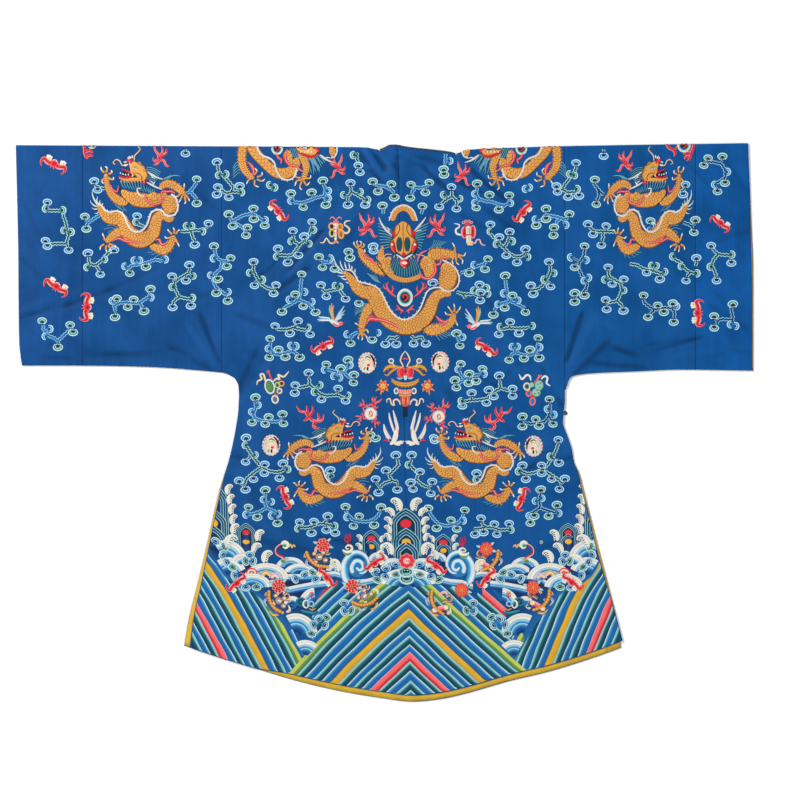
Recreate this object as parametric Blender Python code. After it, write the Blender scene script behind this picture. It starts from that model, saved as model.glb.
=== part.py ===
"""A wide-sleeved Chinese robe of silk satin, closed on the wearer's right, laid flat with its back upwards.

The frame is in metres: X runs from the wearer's left cuff to the right one, Y from hem to shoulders and Z up from
the surface that the robe lies on. The origin is on that surface, under the middle of the robe's outline.
The pieces are the ones that a tailor cuts. Each body half is one length of cloth, folded over at the shoulder;
sleeves and cuff bands are tubes pressed flat; the outer front laps over the inner one. A piece is first a sheet
halfway through the cloth, and a Solidify modifier gives it its wall.
"""

import math
from collections import namedtuple

import bmesh
import bpy

WALL = 0.0012  # satin and lining together
SEAM = 0.0003  # between two pieces that are sewn to or lie on each other
FACING_WALL = 0.0006
FACING_WIDTH = 0.028
CUFF_FACING_WIDTH = 0.020
FACING_INSET = 0.0011  # how far the silk's turned edge shows past the facing
BINDING_WIDTH = 0.0030

# Heights of the layers, each halfway through its cloth.
FRONT_Z = WALL / 2  # the outer front lies on the surface
UNDERLAP_Z = FRONT_Z + WALL + SEAM
FACING_Z = FRONT_Z + WALL / 2 + SEAM + FACING_WALL / 2
SIDE_SEAM_Z = FRONT_Z + WALL + SEAM  # the back where it is sewn to the front
SIDE_ON_UNDERLAP_Z = UNDERLAP_Z + WALL + SEAM
FREE_EDGE_Z = FACING_Z + FACING_WALL / 2 + SEAM + WALL / 2
SHOULDER_Z = 0.0032  # where the back starts to turn over
INSIDE_Z = 0.0054  # the back away from its edges, with air under it
PUFF_REACH = 0.070

SLEEVE_SEAM_LEFT = -0.3300
SLEEVE_SEAM_RIGHT = 0.3664
CUFF_SEAM_LEFT = -0.6120
CUFF_SEAM_RIGHT = 0.6320

NECK_LEFT = -0.0132
NECK_RIGHT = 0.1472
NECK_DEPTH = 0.075
OVERLAP_CORNER = 0.0980  # where the overlap's edge leaves the neckline
UNDERLAP_HEM = -0.360
UNDERLAP_INSET = 0.042
UNDERARM_FOOT = 0.055
CLIMB_START = 0.0045  # past the overlap's edge, the underlap comes down to the surface between these
CLIMB_END = 0.0300
SLIT_TOP = -0.080
KNOT_RADIUS = 0.0028
KNOT_SQUASH = 0.60
LOOP_CORD = 0.0006
LOOP_TURN = KNOT_RADIUS + LOOP_CORD + SEAM

BODY_STEP = 0.025
NECK_STEP = 0.011
BACK_STEP = 0.046
FRONT_STEP = 0.110
FOLD_STEPS = 4
# Where the rings of a sleeve and a cuff lie, from seam to end, and the lines along them, from bottom to top.
SLEEVE_RINGS = (0.0, 0.009, 0.03, 0.08, 0.16, 0.27, 0.39, 0.51, 0.63, 0.75, 0.87, 1.0)
CUFF_RINGS = (0.0, 0.2, 0.4, 0.6, 0.8, 1.0)
TUBE_UPPER = (0.0, 0.03, 0.07, 0.12, 0.20, 0.28, 0.36, 0.44, 0.52, 0.60, 0.68, 0.76, 0.84, 0.91, 0.96, 1.0)
TUBE_LOWER = (0.0, 0.05, 0.12, 0.22, 0.40, 0.60, 0.80, 1.0)

# The body's edges, a row for each height. Below the slit top the fronts and the back part.
Side = namedtuple("Side", "height left_front left_back right_front right_back")
SIDES = [
    Side(-0.452, -0.4070, -0.3950, 0.4801, 0.4860),
    Side(-0.395, -0.3969, -0.3875, 0.4715, 0.4710),
    Side(-0.322, -0.3786, -0.3715, 0.4527, 0.4496),
    Side(-0.249, -0.3613, -0.3565, 0.4334, 0.4293),
    Side(-0.176, -0.3451, -0.3415, 0.4150, 0.4125),
    Side(-0.135, -0.3350, -0.3325, 0.4045, 0.4010),
    Side(-0.103, -0.3248, -0.3240, 0.3962, 0.3940),
    Side(-0.079, -0.3167, -0.3167, 0.3850, 0.3840),
    Side(-0.055, -0.3108, -0.3108, 0.3806, 0.3806),
    Side(-0.030, -0.3055, -0.3055, 0.3725, 0.3725),
    Side(-0.002, -0.3005, -0.3005, 0.3625, 0.3625),
    Side(0.019, -0.2974, -0.2974, 0.3635, 0.3635),
    Side(0.042, -0.2960, -0.2960, 0.3664, 0.3664),
    Side(0.055, -0.2954, -0.2954, 0.3664, 0.3664),
    Side(0.078, -0.2975, -0.2975, 0.3664, 0.3664),
    Side(0.090, -0.3040, -0.3040, 0.3664, 0.3664),
    Side(0.098, -0.3180, -0.3180, 0.3664, 0.3664),
    Side(0.102, -0.3300, -0.3300, 0.3664, 0.3664),
]
SLEEVE_FOOT = SIDES[-1].height
CORNER = SIDES[0].height

Edge = namedtuple("Edge", "x height")
# Hem of the fronts, and how much higher the back's hem lies.
HEM = [
    Edge(-0.4070, -0.4530),
    Edge(-0.3461, -0.4738),
    Edge(-0.2608, -0.5002),
    Edge(-0.1756, -0.5257),
    Edge(-0.0903, -0.5458),
    Edge(-0.0051, -0.5602),
    Edge(0.0518, -0.5670),
    Edge(0.1086, -0.5622),
    Edge(0.1654, -0.5500),
    Edge(0.2507, -0.5257),
    Edge(0.3360, -0.5052),
    Edge(0.4212, -0.4788),
    Edge(0.4860, -0.4555),
]
BACK_HEM_RISE = [
    Edge(-0.407, 0.0),
    Edge(-0.270, 0.0),
    Edge(-0.190, 0.0100),
    Edge(0.0, 0.0125),
    Edge(0.486, 0.0125),
]
# The fold along the shoulders, with the dip at each end of the neck.
SHOULDERS = [
    Edge(-0.7490, 0.5628),
    Edge(-0.0900, 0.5590),
    Edge(-0.0376, 0.5580),
    Edge(-0.0132, 0.5540),
    Edge(0.1472, 0.5465),
    Edge(0.1654, 0.5526),
    Edge(0.2142, 0.5557),
    Edge(0.3664, 0.5608),
    Edge(0.7490, 0.5670),
]
BACK_NECK = [
    Edge(-0.0132, 0.5500),
    Edge(0.0000, 0.5553),
    Edge(0.0112, 0.5608),
    Edge(0.0233, 0.5610),
    Edge(0.0477, 0.5565),
    Edge(0.0964, 0.5512),
    Edge(0.1330, 0.5465),
    Edge(0.1472, 0.5425),
]
SLEEVE_UNDER_LEFT = [
    Edge(-0.7490, 0.1168),
    Edge(-0.5735, 0.1160),
    Edge(-0.4598, 0.1128),
    Edge(-0.3745, 0.1064),
    Edge(-0.3300, 0.1020),
]
SLEEVE_UNDER_RIGHT = [
    Edge(0.3664, 0.0716),
    Edge(0.3692, 0.0722),
    Edge(0.3745, 0.0885),
    Edge(0.3867, 0.0960),
    Edge(0.4293, 0.1010),
    Edge(0.5024, 0.1040),
    Edge(0.5998, 0.1080),
    Edge(0.7490, 0.1060),
]
UNDERARM_LEFT = SLEEVE_UNDER_LEFT[-1]
UNDERARM_RIGHT = SLEEVE_UNDER_RIGHT[0]
# The middle seam runs a little askew, as the robe is laid.
MIDDLE = [Edge(0.0538, -0.567), Edge(0.0396, 0.050), Edge(0.0345, 0.300), Edge(0.0274, 0.560)]
CUFF_END_LEFT = [
    Edge(-0.7365, 0.117),
    Edge(-0.7385, 0.130),
    Edge(-0.7415, 0.160),
    Edge(-0.7430, 0.250),
    Edge(-0.7440, 0.370),
    Edge(-0.7485, 0.563),
]
CUFF_END_RIGHT = [Edge(0.7465, 0.106), Edge(0.7465, 0.250), Edge(0.7440, 0.360), Edge(0.7385, 0.566)]
# The right cuff's lower layer reaches past the upper one, so that its yellow facing shows.
CUFF_END_RIGHT_LOWER = [Edge(0.7490, 0.106), Edge(0.7490, 0.300), Edge(0.7455, 0.390), Edge(0.7385, 0.566)]
# The overlap's upper edge: it follows the neckline and then sweeps down to the right underarm.
OVERLAP_EDGE = [
    Edge(0.0290, 0.4808),
    Edge(0.0480, 0.4738),
    Edge(0.0670, 0.4718),
    Edge(0.0860, 0.4730),
    Edge(0.0980, 0.4700),
    Edge(0.1200, 0.4480),
    Edge(0.2000, 0.3550),
    Edge(0.2800, 0.2300),
    Edge(0.3400, 0.1200),
    Edge(0.3664, 0.0660),
]

# The largest folds of the upper layer: soft ridges (height > 0) and troughs between two places.
Fold = namedtuple("Fold", "x0 y0 x1 y1 width height")
FOLDS = [
    Fold(-0.735, 0.205, -0.630, 0.262, 0.026, -0.0013),
    Fold(-0.735, 0.310, -0.640, 0.250, 0.030, 0.0014),
    Fold(-0.600, 0.480, -0.420, 0.520, 0.032, 0.0012),
    Fold(-0.350, 0.340, -0.340, 0.130, 0.028, 0.0012),
    Fold(-0.260, 0.280, -0.110, 0.430, 0.030, -0.0014),
    Fold(-0.230, 0.240, -0.080, 0.400, 0.032, 0.0016),
    Fold(-0.045, 0.520, 0.010, 0.545, 0.022, -0.0014),
    Fold(-0.060, 0.545, 0.005, 0.515, 0.024, 0.0018),
    Fold(0.110, 0.530, 0.170, 0.470, 0.026, 0.0015),
    Fold(0.150, 0.480, 0.280, 0.360, 0.030, 0.0013),
    Fold(0.365, 0.470, 0.360, 0.160, 0.028, 0.0010),
    Fold(0.610, 0.530, 0.690, 0.440, 0.030, -0.0014),
    Fold(0.630, 0.540, 0.730, 0.450, 0.026, 0.0014),
    Fold(0.500, 0.150, 0.700, 0.170, 0.034, 0.0012),
    Fold(-0.330, -0.140, -0.150, -0.200, 0.034, 0.0014),
    Fold(0.240, -0.190, 0.400, -0.160, 0.032, 0.0013),
    Fold(-0.280, -0.050, -0.200, 0.060, 0.030, 0.0012),
    Fold(0.280, 0.080, 0.350, -0.040, 0.030, 0.0013),
    Fold(0.040, 0.030, 0.048, -0.420, 0.026, -0.0008),
    Fold(-0.120, -0.230, 0.010, -0.270, 0.030, 0.0012),
]

# A knot and its loop: where along the overlap they sit and how far past its edge.
Fastening = namedtuple("Fastening", "name x past")
NECK_FASTENING = Fastening("neck", 0.0860, 0.0078)
CHEST_FASTENING = Fastening("chest", 0.2330, 0.0082)
SIDE_KNOT_X = 0.3674
SIDE_KNOT_Y = 0.0193
CHEST_UNDERLAP_Z = 0.0047  # the underlap over the chest knot
CHEST_BACK_RISE = 0.0012
CHEST_FLAT = 0.014
CHEST_REACH = 0.045


def blend(value, low, high):
    """0 below low, 1 above high, smooth between."""
    share = min(1.0, max(0.0, (value - low) / (high - low)))
    return share * share * (3.0 - 2.0 * share)


def mix(a, b, share):
    return a + (b - a) * share


def along(rows, at, key, value):
    """The smooth curve through one column of a table, read where another column is `at`."""
    xs = [getattr(row, key) for row in rows]
    ys = [getattr(row, value) for row in rows]
    at = min(max(at, xs[0]), xs[-1])
    i = max(k for k in range(len(xs) - 1) if xs[k] <= at)
    slopes = []
    for k in (i, i + 1):
        before, after = max(k - 1, 0), min(k + 1, len(xs) - 1)
        slopes.append((ys[after] - ys[before]) / (xs[after] - xs[before]))
    width = xs[i + 1] - xs[i]
    t = (at - xs[i]) / width
    steady = (ys[i + 1] - ys[i]) / width
    slopes = [min(max(slope, min(0.0, 3 * steady)), max(0.0, 3 * steady)) for slope in slopes]
    start = (1 + 2 * t) * (1 - t) ** 2 * ys[i] + t * (1 - t) ** 2 * width * slopes[0]
    end = t * t * (3 - 2 * t) * ys[i + 1] + t * t * (t - 1) * width * slopes[1]
    return start + end


def side(column, height):
    return along(SIDES, height, "height", column)


def edge(rows, x):
    return along(rows, x, "x", "height")


def edge_across(rows, height):
    return along(rows, height, "height", "x")


def middle(height):
    return edge_across(MIDDLE, height)


def front_hem(x):
    return edge(HEM, x)


def back_hem(x):
    return front_hem(x) + edge(BACK_HEM_RISE, x)


def front_neck(x):
    """The front neckline, a half ellipse hanging from the two ends of the back neck."""
    centre = (NECK_LEFT + NECK_RIGHT) / 2
    share = min(1.0, abs(x - centre) / ((NECK_RIGHT - NECK_LEFT) / 2))
    ends = mix(edge(SHOULDERS, NECK_LEFT), edge(SHOULDERS, NECK_RIGHT), 0.5) - 0.003
    return ends - NECK_DEPTH * math.sqrt(1 - share * share)


def fold_height(x, y):
    """How far the folds raise or lower the upper layer here."""
    total = 0.0
    for fold in FOLDS:
        dx, dy = fold.x1 - fold.x0, fold.y1 - fold.y0
        length = math.hypot(dx, dy)
        along_it = ((x - fold.x0) * dx + (y - fold.y0) * dy) / length
        across = ((x - fold.x0) * dy - (y - fold.y0) * dx) / length
        past = max(0.0, -along_it, along_it - length)
        total += fold.height * math.exp(-((across / fold.width) ** 2) - (past / (2 * fold.width)) ** 2)
    return total


def overlap_slope(x):
    step = 0.002
    return (edge(OVERLAP_EDGE, x + step) - edge(OVERLAP_EDGE, x - step)) / (2 * step)


def past_overlap(x, y):
    """How far this place is outside the overlap's edge, measured square to it."""
    return (y - edge(OVERLAP_EDGE, x)) / math.hypot(1.0, overlap_slope(x))


def beside_overlap(x, distance):
    """The point this far outside the overlap's edge, and the direction outwards."""
    slope = overlap_slope(x)
    length = math.hypot(1.0, slope)
    out = (-slope / length, 1.0 / length)
    return x + out[0] * distance, edge(OVERLAP_EDGE, x) + out[1] * distance, math.atan2(out[1], out[0])


def near_chest_knot(x, y):
    """1 over the chest knot, 0 away from it."""
    knot_x, knot_y, _ = beside_overlap(CHEST_FASTENING.x, CHEST_FASTENING.past)
    return 1 - blend(math.hypot(x - knot_x, y - knot_y), CHEST_FLAT, CHEST_REACH)


def front_level(x, y):
    """The front layer of the body lengths and sleeves: the underlap climbs onto the overlap, all else lies down."""
    if x < middle(y):
        return FRONT_Z
    inside = min(x, SLEEVE_SEAM_RIGHT)
    level = mix(UNDERLAP_Z, FRONT_Z, blend(past_overlap(inside, y), CLIMB_START, CLIMB_END))
    if y > UNDERARM_RIGHT.height - 0.01:
        level = mix(level, FRONT_Z, blend(x - inside, 0.0, 0.060))
    return mix(level, max(level, CHEST_UNDERLAP_Z), near_chest_knot(x, y))


def from_outline(x, y):
    """How far this place is from the nearest edge or fold of the upper layer."""
    top = edge(SHOULDERS, x) - y
    if NECK_LEFT < x < NECK_RIGHT:
        top = edge(BACK_NECK, x) - y
    if x < SLEEVE_SEAM_LEFT and y > UNDERARM_LEFT.height - 0.02:
        return min(top, y - edge(SLEEVE_UNDER_LEFT, x), (x - edge_across(CUFF_END_LEFT, y)) * 1.4)
    if x > SLEEVE_SEAM_RIGHT and y > UNDERARM_RIGHT.height - 0.02:
        return min(top, y - edge(SLEEVE_UNDER_RIGHT, x), (edge_across(CUFF_END_RIGHT, y) - x) * 1.4)
    corner, column, sign = UNDERARM_LEFT, "left_back", -1
    if x > middle(y):
        corner, column, sign = UNDERARM_RIGHT, "right_back", 1
    if y > corner.height:
        return min(top, math.hypot(x - corner.x, y - corner.height))
    return min(top, sign * (side(column, y) - x), y - back_hem(x))


def edge_level(x, y):
    """The upper layer's height at its edges: lowest at the side seams, over the facings at hem and slits."""
    free = blend(y, SLIT_TOP + 0.005, SLIT_TOP + 0.045)
    if x < middle(y):
        level = mix(mix(FREE_EDGE_Z, SIDE_SEAM_Z, free), SHOULDER_Z, blend(y, 0.104, 0.170))
        return mix(level, SHOULDER_Z, blend(SLEEVE_SEAM_LEFT - x, 0.0, 0.050))
    level = mix(mix(FREE_EDGE_Z, SIDE_ON_UNDERLAP_Z, free), SHOULDER_Z, blend(y, 0.104, 0.200))
    return mix(level, SHOULDER_Z, blend(x - SLEEVE_SEAM_RIGHT, 0.0, 0.050))


def back_level(x, y):
    """The upper layer: pressed down along its edges, puffed and folded further in."""
    low = edge_level(x, y)
    inside = blend(max(0.0, from_outline(x, y)), 0.0, PUFF_REACH)
    return low + inside * (INSIDE_Z - low + fold_height(x, y)) + CHEST_BACK_RISE * near_chest_knot(x, y)


Silk = namedtuple("Silk", "name rgb roughness")
BLUE_SATIN = Silk("blue_satin", (0.018, 0.092, 0.290), 0.45)
DARK_BINDING = Silk("dark_binding", (0.012, 0.035, 0.110), 0.60)
YELLOW_FACING = Silk("yellow_facing", (0.480, 0.330, 0.020), 0.50)


def material_of(silk):
    material = bpy.data.materials.get(silk.name)
    if material is None:
        material = bpy.data.materials.new(silk.name)
        material.use_nodes = True
        shader = material.node_tree.nodes["Principled BSDF"]
        shader.inputs["Base Color"].default_value = (*silk.rgb, 1.0)
        shader.inputs["Roughness"].default_value = silk.roughness
    return material


def cloth(name, rows, silk, wall=WALL, closed=False):
    """Skins rows of points, None where there is no cloth, and gives the sheet its wall."""
    form = bmesh.new()
    made = [[form.verts.new(point) if point else None for point in row] for row in rows]
    width = len(rows[0])
    for lower, upper in zip(made, made[1:]):
        for i in range(width if closed else width - 1):
            ring = [lower[i], lower[(i + 1) % width], upper[(i + 1) % width], upper[i]]
            if all(ring):
                form.faces.new(ring)
    bmesh.ops.delete(form, geom=[v for v in form.verts if not v.link_faces], context="VERTS")
    mesh = bpy.data.meshes.new(name)
    form.to_mesh(mesh)
    form.free()
    mesh.shade_smooth()
    mesh.materials.append(material_of(silk))
    piece = bpy.data.objects.new(name, mesh)
    bpy.context.scene.collection.objects.link(piece)
    thickness = piece.modifiers.new("wall", "SOLIDIFY")
    thickness.thickness = wall
    thickness.offset = 0.0
    thickness.use_even_offset = True
    return piece


def steps(step, low, high, stops=()):
    """Places from low to high, about a step apart, through the stops between them, as shares of the way."""
    marks = [low, *(s for s in sorted(stops) if low + 0.004 < s < high - 0.004), high]
    places = [low]
    for start, end in zip(marks, marks[1:]):
        count = max(1, round(abs(end - start) / step))
        places += [mix(start, end, (k + 1) / count) for k in range(count)]
    return [(place - low) / (high - low) for place in places]


def fold_over(x, fold, upper_z, lower_z):
    """The half circle that joins two layers at a fold, from the upper to the lower one, without its ends."""
    radius = (upper_z - lower_z) / 2
    angles = [math.pi * k / FOLD_STEPS for k in range(1, FOLD_STEPS)]
    return [(x, fold - radius + radius * math.sin(a), lower_z + radius + radius * math.cos(a)) for a in angles]


def top_columns(is_left):
    """Where the lines of a body length end at its top: from the sleeve seam to the neck, then along the neck."""
    seam = (SLEEVE_SEAM_LEFT + SEAM / 2) if is_left else (SLEEVE_SEAM_RIGHT - SEAM / 2)
    neck = NECK_LEFT if is_left else NECK_RIGHT
    end = middle(SHOULDERS[0].height) + (-SEAM / 2 if is_left else SEAM / 2)
    outside = [mix(seam, neck, t) for t in steps(BODY_STEP, 0.0, abs(neck - seam))]
    inside = [mix(neck, end, t) for t in steps(NECK_STEP, 0.0, abs(end - neck))]
    return outside, inside[1:]


def underlap_heights(x, low, top):
    """The rows of the underlap on one line, closer together where it climbs onto the overlap."""
    stops = [row.height for row in SIDES if -0.2 < row.height < 0.05]
    heights = [mix(low, UNDERARM_FOOT, t) for t in steps(FRONT_STEP, UNDERLAP_HEM, UNDERARM_FOOT, stops)]
    square = math.hypot(1.0, overlap_slope(x))
    climb = [edge(OVERLAP_EDGE, x) + mix(CLIMB_START, CLIMB_END, t) * square for t in (0.0, 0.25, 0.5, 0.75, 1.0)]
    climb = [min(y, top - 0.004 * (len(climb) - k)) for k, y in enumerate(climb)]
    heights += [mix(UNDERARM_FOOT, climb[0], t) for t in (0.25, 0.5, 0.75)]
    return heights + climb + [mix(climb[-1], top, t) for t in (0.3, 0.6, 0.85, 1.0)]


def body_half(name, is_left):
    """Back and front of one side in one length, folded at the shoulder and cut out at the neck."""
    back_side, front_side = ("left_back", "left_front") if is_left else ("right_back", "right_front")
    away = -SEAM / 2 if is_left else SEAM / 2
    outside, on_neck = top_columns(is_left)
    seam, end = outside[0], on_neck[-1]
    stops = [row.height for row in SIDES[1:]]

    def outer(column, height):
        """The side's edge, which runs up to the sleeve seam and then along it."""
        if height > SLEEVE_FOOT - 0.0005:
            return seam
        x = side(column, height)
        if column == "right_front":
            x -= UNDERLAP_INSET * blend(-height, -SLIT_TOP - 0.055, -SLIT_TOP - 0.005)
        if is_left:
            return max(x, seam) if height > 0.09 else x
        return min(x, seam) if height > 0.03 else x

    def across(share, height, column):
        return mix(outer(column, height), middle(height) + away, share)

    top = edge(SHOULDERS, seam) - (back_level(seam, edge(SHOULDERS, seam)) - FRONT_Z) / 2
    back_rows = steps(BACK_STEP, back_hem(side(back_side, CORNER)), top, stops)
    front_rows = steps(FRONT_STEP, front_hem(side(front_side, CORNER)), top, stops[4:])
    by_column = []
    for x_top in outside + on_neck:
        share = (x_top - seam) / (end - seam)
        open_top = x_top in on_neck
        fold = edge(SHOULDERS, x_top)
        upper, lower = back_level(x_top, fold), front_level(x_top, fold)
        back_top = edge(BACK_NECK, x_top) if open_top else fold - (upper - lower) / 2
        line = []
        for t in back_rows:
            y = mix(back_hem(across(share, CORNER, back_side)), back_top, t)
            x = across(share, y, back_side)
            line.append((x, y, back_level(x, y)))
        line[-1] = (x_top, back_top, back_level(x_top, back_top) if open_top else upper)
        line += [None] * (FOLD_STEPS - 1) if open_top else fold_over(x_top, fold, upper, lower)
        front_top = front_neck(x_top) if open_top else back_top
        if is_left:
            low = front_hem(across(share, CORNER, front_side))
            heights = [mix(low, front_top, t) for t in front_rows]
        else:
            heights = underlap_heights(x_top, UNDERLAP_HEM, front_top)
        under = []
        for y in reversed(heights):
            x = across(share, y, front_side)
            under.append((x, y, front_level(x, y)))
        under[0] = (x_top, front_top, under[0][2])
        by_column.append(line + under)
    return cloth(name, by_column, BLUE_SATIN)


def overlap_columns():
    start = OVERLAP_EDGE[0].x + SEAM / 2
    end = SLEEVE_SEAM_RIGHT - SEAM
    along_neck = [mix(start, OVERLAP_CORNER, t) for t in steps(NECK_STEP, start, OVERLAP_CORNER)]
    return along_neck + [mix(OVERLAP_CORNER, end, t) for t in steps(BODY_STEP, OVERLAP_CORNER, end)][1:]


def overlap_front():
    """The outer front's right part, from the middle seam to the right side, under its curved upper edge."""
    columns = overlap_columns()
    heights = steps(FRONT_STEP * 0.8, CORNER, SLEEVE_FOOT, [row.height for row in SIDES[3:13]])
    rows = []
    for x_top in columns:
        share = (x_top - columns[0]) / (columns[-1] - columns[0])
        x_low = mix(middle(CORNER) + SEAM / 2, side("right_front", CORNER), share)
        low, high = front_hem(x_low), edge(OVERLAP_EDGE, x_top)
        line = []
        for t in heights:
            y = mix(low, high, t)
            outer = side("right_front", y)
            x = mix(middle(y) + SEAM / 2, min(outer, columns[-1]) if y > 0 else outer, share)
            line.append((x, y, FRONT_Z))
        line[-1] = (x_top, high, FRONT_Z)
        rows.append(line)
    return cloth("overlap_front", rows, BLUE_SATIN)


def tube(name, seam, end_upper, end_lower, under, rings):
    """A sleeve pressed flat: rings that go up the upper layer, over the fold, down the lower one and back."""

    def place(share, t, end):
        return mix(seam, edge_across(end, mix(under[0].height, SHOULDERS[-1].height, t)), share)

    def layer(share, t, end, level):
        x = place(share, t, end)
        foot, fold = edge(under, x), edge(SHOULDERS, x)
        low_gap = (back_level(x, foot) - front_level(x, foot)) / 2
        high_gap = (back_level(x, fold) - front_level(x, fold)) / 2
        y = mix(foot + low_gap, fold - high_gap, t)
        return (x, y, level(x, foot if t == 0 else fold if t == 1 else y))

    rows = []
    for share in rings:
        ring = [layer(share, t, end_upper, back_level) for t in TUBE_UPPER]
        x = place(share, 1.0, end_upper)
        fold = edge(SHOULDERS, x)
        ring += fold_over(x, fold, back_level(x, fold), front_level(x, fold))
        ring += [layer(share, t, end_lower, front_level) for t in reversed(TUBE_LOWER)]
        x = place(share, 0.0, end_lower)
        foot = edge(under, x)
        turned = fold_over(x, foot, back_level(x, foot), front_level(x, foot))
        ring += [(x, 2 * foot - y, z) for x, y, z in reversed(turned)]
        rows.append(ring)
    return cloth(name, rows, BLUE_SATIN, closed=True)


def sleeves():
    """Each sleeve is a tube from the body to the cuff band, and the band is a shorter one."""

    def upright(x):
        return [Edge(x, 0.0), Edge(x, 0.6)]

    gap = SEAM / 2
    left, right = upright(CUFF_SEAM_LEFT + gap), upright(CUFF_SEAM_RIGHT - gap)
    under_left, under_right = SLEEVE_UNDER_LEFT, SLEEVE_UNDER_RIGHT
    tube("sleeve_left", SLEEVE_SEAM_LEFT - gap, left, left, under_left, SLEEVE_RINGS)
    tube("sleeve_right", SLEEVE_SEAM_RIGHT + gap, right, right, under_right, SLEEVE_RINGS)
    tube("cuff_left", CUFF_SEAM_LEFT - gap, CUFF_END_LEFT, CUFF_END_LEFT, under_left, CUFF_RINGS)
    tube("cuff_right", CUFF_SEAM_RIGHT + gap, CUFF_END_RIGHT, CUFF_END_RIGHT_LOWER, under_right, CUFF_RINGS)


def facings():
    """The yellow strips inside the front's hem, slit edges and cuffs, where they show past the layer above."""

    def strip(name, pairs):
        rows = [[(*start, FACING_Z), (*end, FACING_Z)] for start, end in pairs]
        cloth(name, rows, YELLOW_FACING, FACING_WALL)

    left, right = side("left_front", CORNER) + 0.0015, side("right_front", CORNER) - 0.0015
    hem = []
    for k in range(33):
        x = mix(left, right, k / 32)
        y = front_hem(x) + FACING_INSET
        hem.append(((x, y), (x, y + FACING_WIDTH)))
    strip("facing_hem", hem)
    for name, column, inward in (("facing_slit_left", "left_front", 1), ("facing_slit_right", "right_front", -1)):
        pairs = []
        corner_x = side(column, CORNER)
        low = front_hem(corner_x) + FACING_INSET + FACING_WIDTH + SEAM + 0.001
        for k in range(15):
            y = mix(low, SLIT_TOP, k / 14)
            x = side(column, y) + inward * FACING_INSET
            y_in = y if k else max(y, front_hem(x + inward * FACING_WIDTH) + FACING_INSET + FACING_WIDTH + SEAM)
            pairs.append(((x, y), (x + inward * FACING_WIDTH, y_in)))
        strip(name, pairs)
    for name, end, under, inward in (
        ("facing_cuff_left", CUFF_END_LEFT, SLEEVE_UNDER_LEFT, 1),
        ("facing_cuff_right", CUFF_END_RIGHT_LOWER, SLEEVE_UNDER_RIGHT, -1),
    ):
        pairs = []
        for t in TUBE_UPPER:
            x = edge_across(end, mix(under[0].height, SHOULDERS[-1].height, t)) + inward * FACING_INSET
            y = mix(edge(under, x) + 0.004, edge(SHOULDERS, x) - 0.004, t)
            pairs.append(((x, y), (x + inward * CUFF_FACING_WIDTH, y)))
        strip(name, pairs)


def binding(name, path):
    """A narrow strip just outside a cut edge. The path is that edge, walked with the cloth on its right."""
    rows = []
    for k, (x, y, z) in enumerate(path):
        before, after = path[max(k - 1, 0)], path[min(k + 1, len(path) - 1)]
        dx, dy = after[0] - before[0], after[1] - before[1]
        length = math.hypot(dx, dy)
        near, far = SEAM / length, (SEAM + BINDING_WIDTH) / length
        rows.append([(x - dy * near, y + dx * near, z), (x - dy * far, y + dx * far, z)])
    return cloth(name, rows, DARK_BINDING)


def bindings():
    """One strip along the back of the neck; one from the left of the neck round the overlap's edge."""
    left, right = top_columns(True)[1], top_columns(False)[1]
    back = [*left, *reversed(right)]
    back[0] = mix(back[0], back[1], 0.10)
    binding("neck_binding", [(x, edge(BACK_NECK, x), back_level(x, edge(BACK_NECK, x))) for x in back])
    front = [(x, front_neck(x), FRONT_Z) for x in left[:-1]]
    binding("overlap_binding", front + [(x, edge(OVERLAP_EDGE, x), FRONT_Z) for x in overlap_columns()])


def knot_and_loop(name, x, y, turn, reaches):
    """A knot of rolled cloth, pressed a little flat, and the cord that holds it.

    The cord's two ends reach back this far from the knot's middle, up to the edge that they are sewn to.
    """
    material = material_of(DARK_BINDING)
    half = KNOT_RADIUS * KNOT_SQUASH
    bpy.ops.mesh.primitive_uv_sphere_add(segments=14, ring_count=8, radius=KNOT_RADIUS, location=(x, y, half))
    ball = bpy.context.object
    ball.name = "button_" + name
    ball.scale.z = KNOT_SQUASH
    ball.data.shade_smooth()
    ball.data.materials.append(material)
    around = LOOP_TURN
    points = [(-reaches[0], -around), (-reaches[0] / 2, -around)]
    points += [(around * math.sin(a), -around * math.cos(a)) for a in (math.pi * k / 8 for k in range(9))]
    points += [(-reaches[1] / 2, around), (-reaches[1], around)]
    cord = bpy.data.curves.new("loop_" + name, "CURVE")
    cord.dimensions = "3D"
    cord.bevel_depth = LOOP_CORD
    cord.bevel_resolution = 1
    cord.use_fill_caps = True
    spline = cord.splines.new("POLY")
    spline.points.add(len(points) - 1)
    for target, (along_it, across_it) in zip(spline.points, points):
        target.co = (
            x + along_it * math.cos(turn) - across_it * math.sin(turn),
            y + along_it * math.sin(turn) + across_it * math.cos(turn),
            LOOP_CORD,
            1.0,
        )
    loop = bpy.data.objects.new("loop_" + name, cord)
    cord.materials.append(material)
    bpy.context.scene.collection.objects.link(loop)


def fastenings():
    for fastening in (NECK_FASTENING, CHEST_FASTENING):
        x, y, turn = beside_overlap(fastening.x, fastening.past)
        knot_and_loop(fastening.name, x, y, turn, [fastening.past - BINDING_WIDTH - 2.5 * SEAM] * 2)
    arms = [SIDE_KNOT_Y - LOOP_TURN, SIDE_KNOT_Y + LOOP_TURN]
    reaches = [SIDE_KNOT_X - side("right_front", y) - 1.5 * SEAM for y in arms]
    knot_and_loop("side", SIDE_KNOT_X, SIDE_KNOT_Y, 0.0, reaches)


def main():
    for old in list(bpy.data.objects):
        bpy.data.objects.remove(old)
    body_half("body_left", True)
    body_half("body_right", False)
    overlap_front()
    sleeves()
    facings()
    bindings()
    fastenings()


main()
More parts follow.
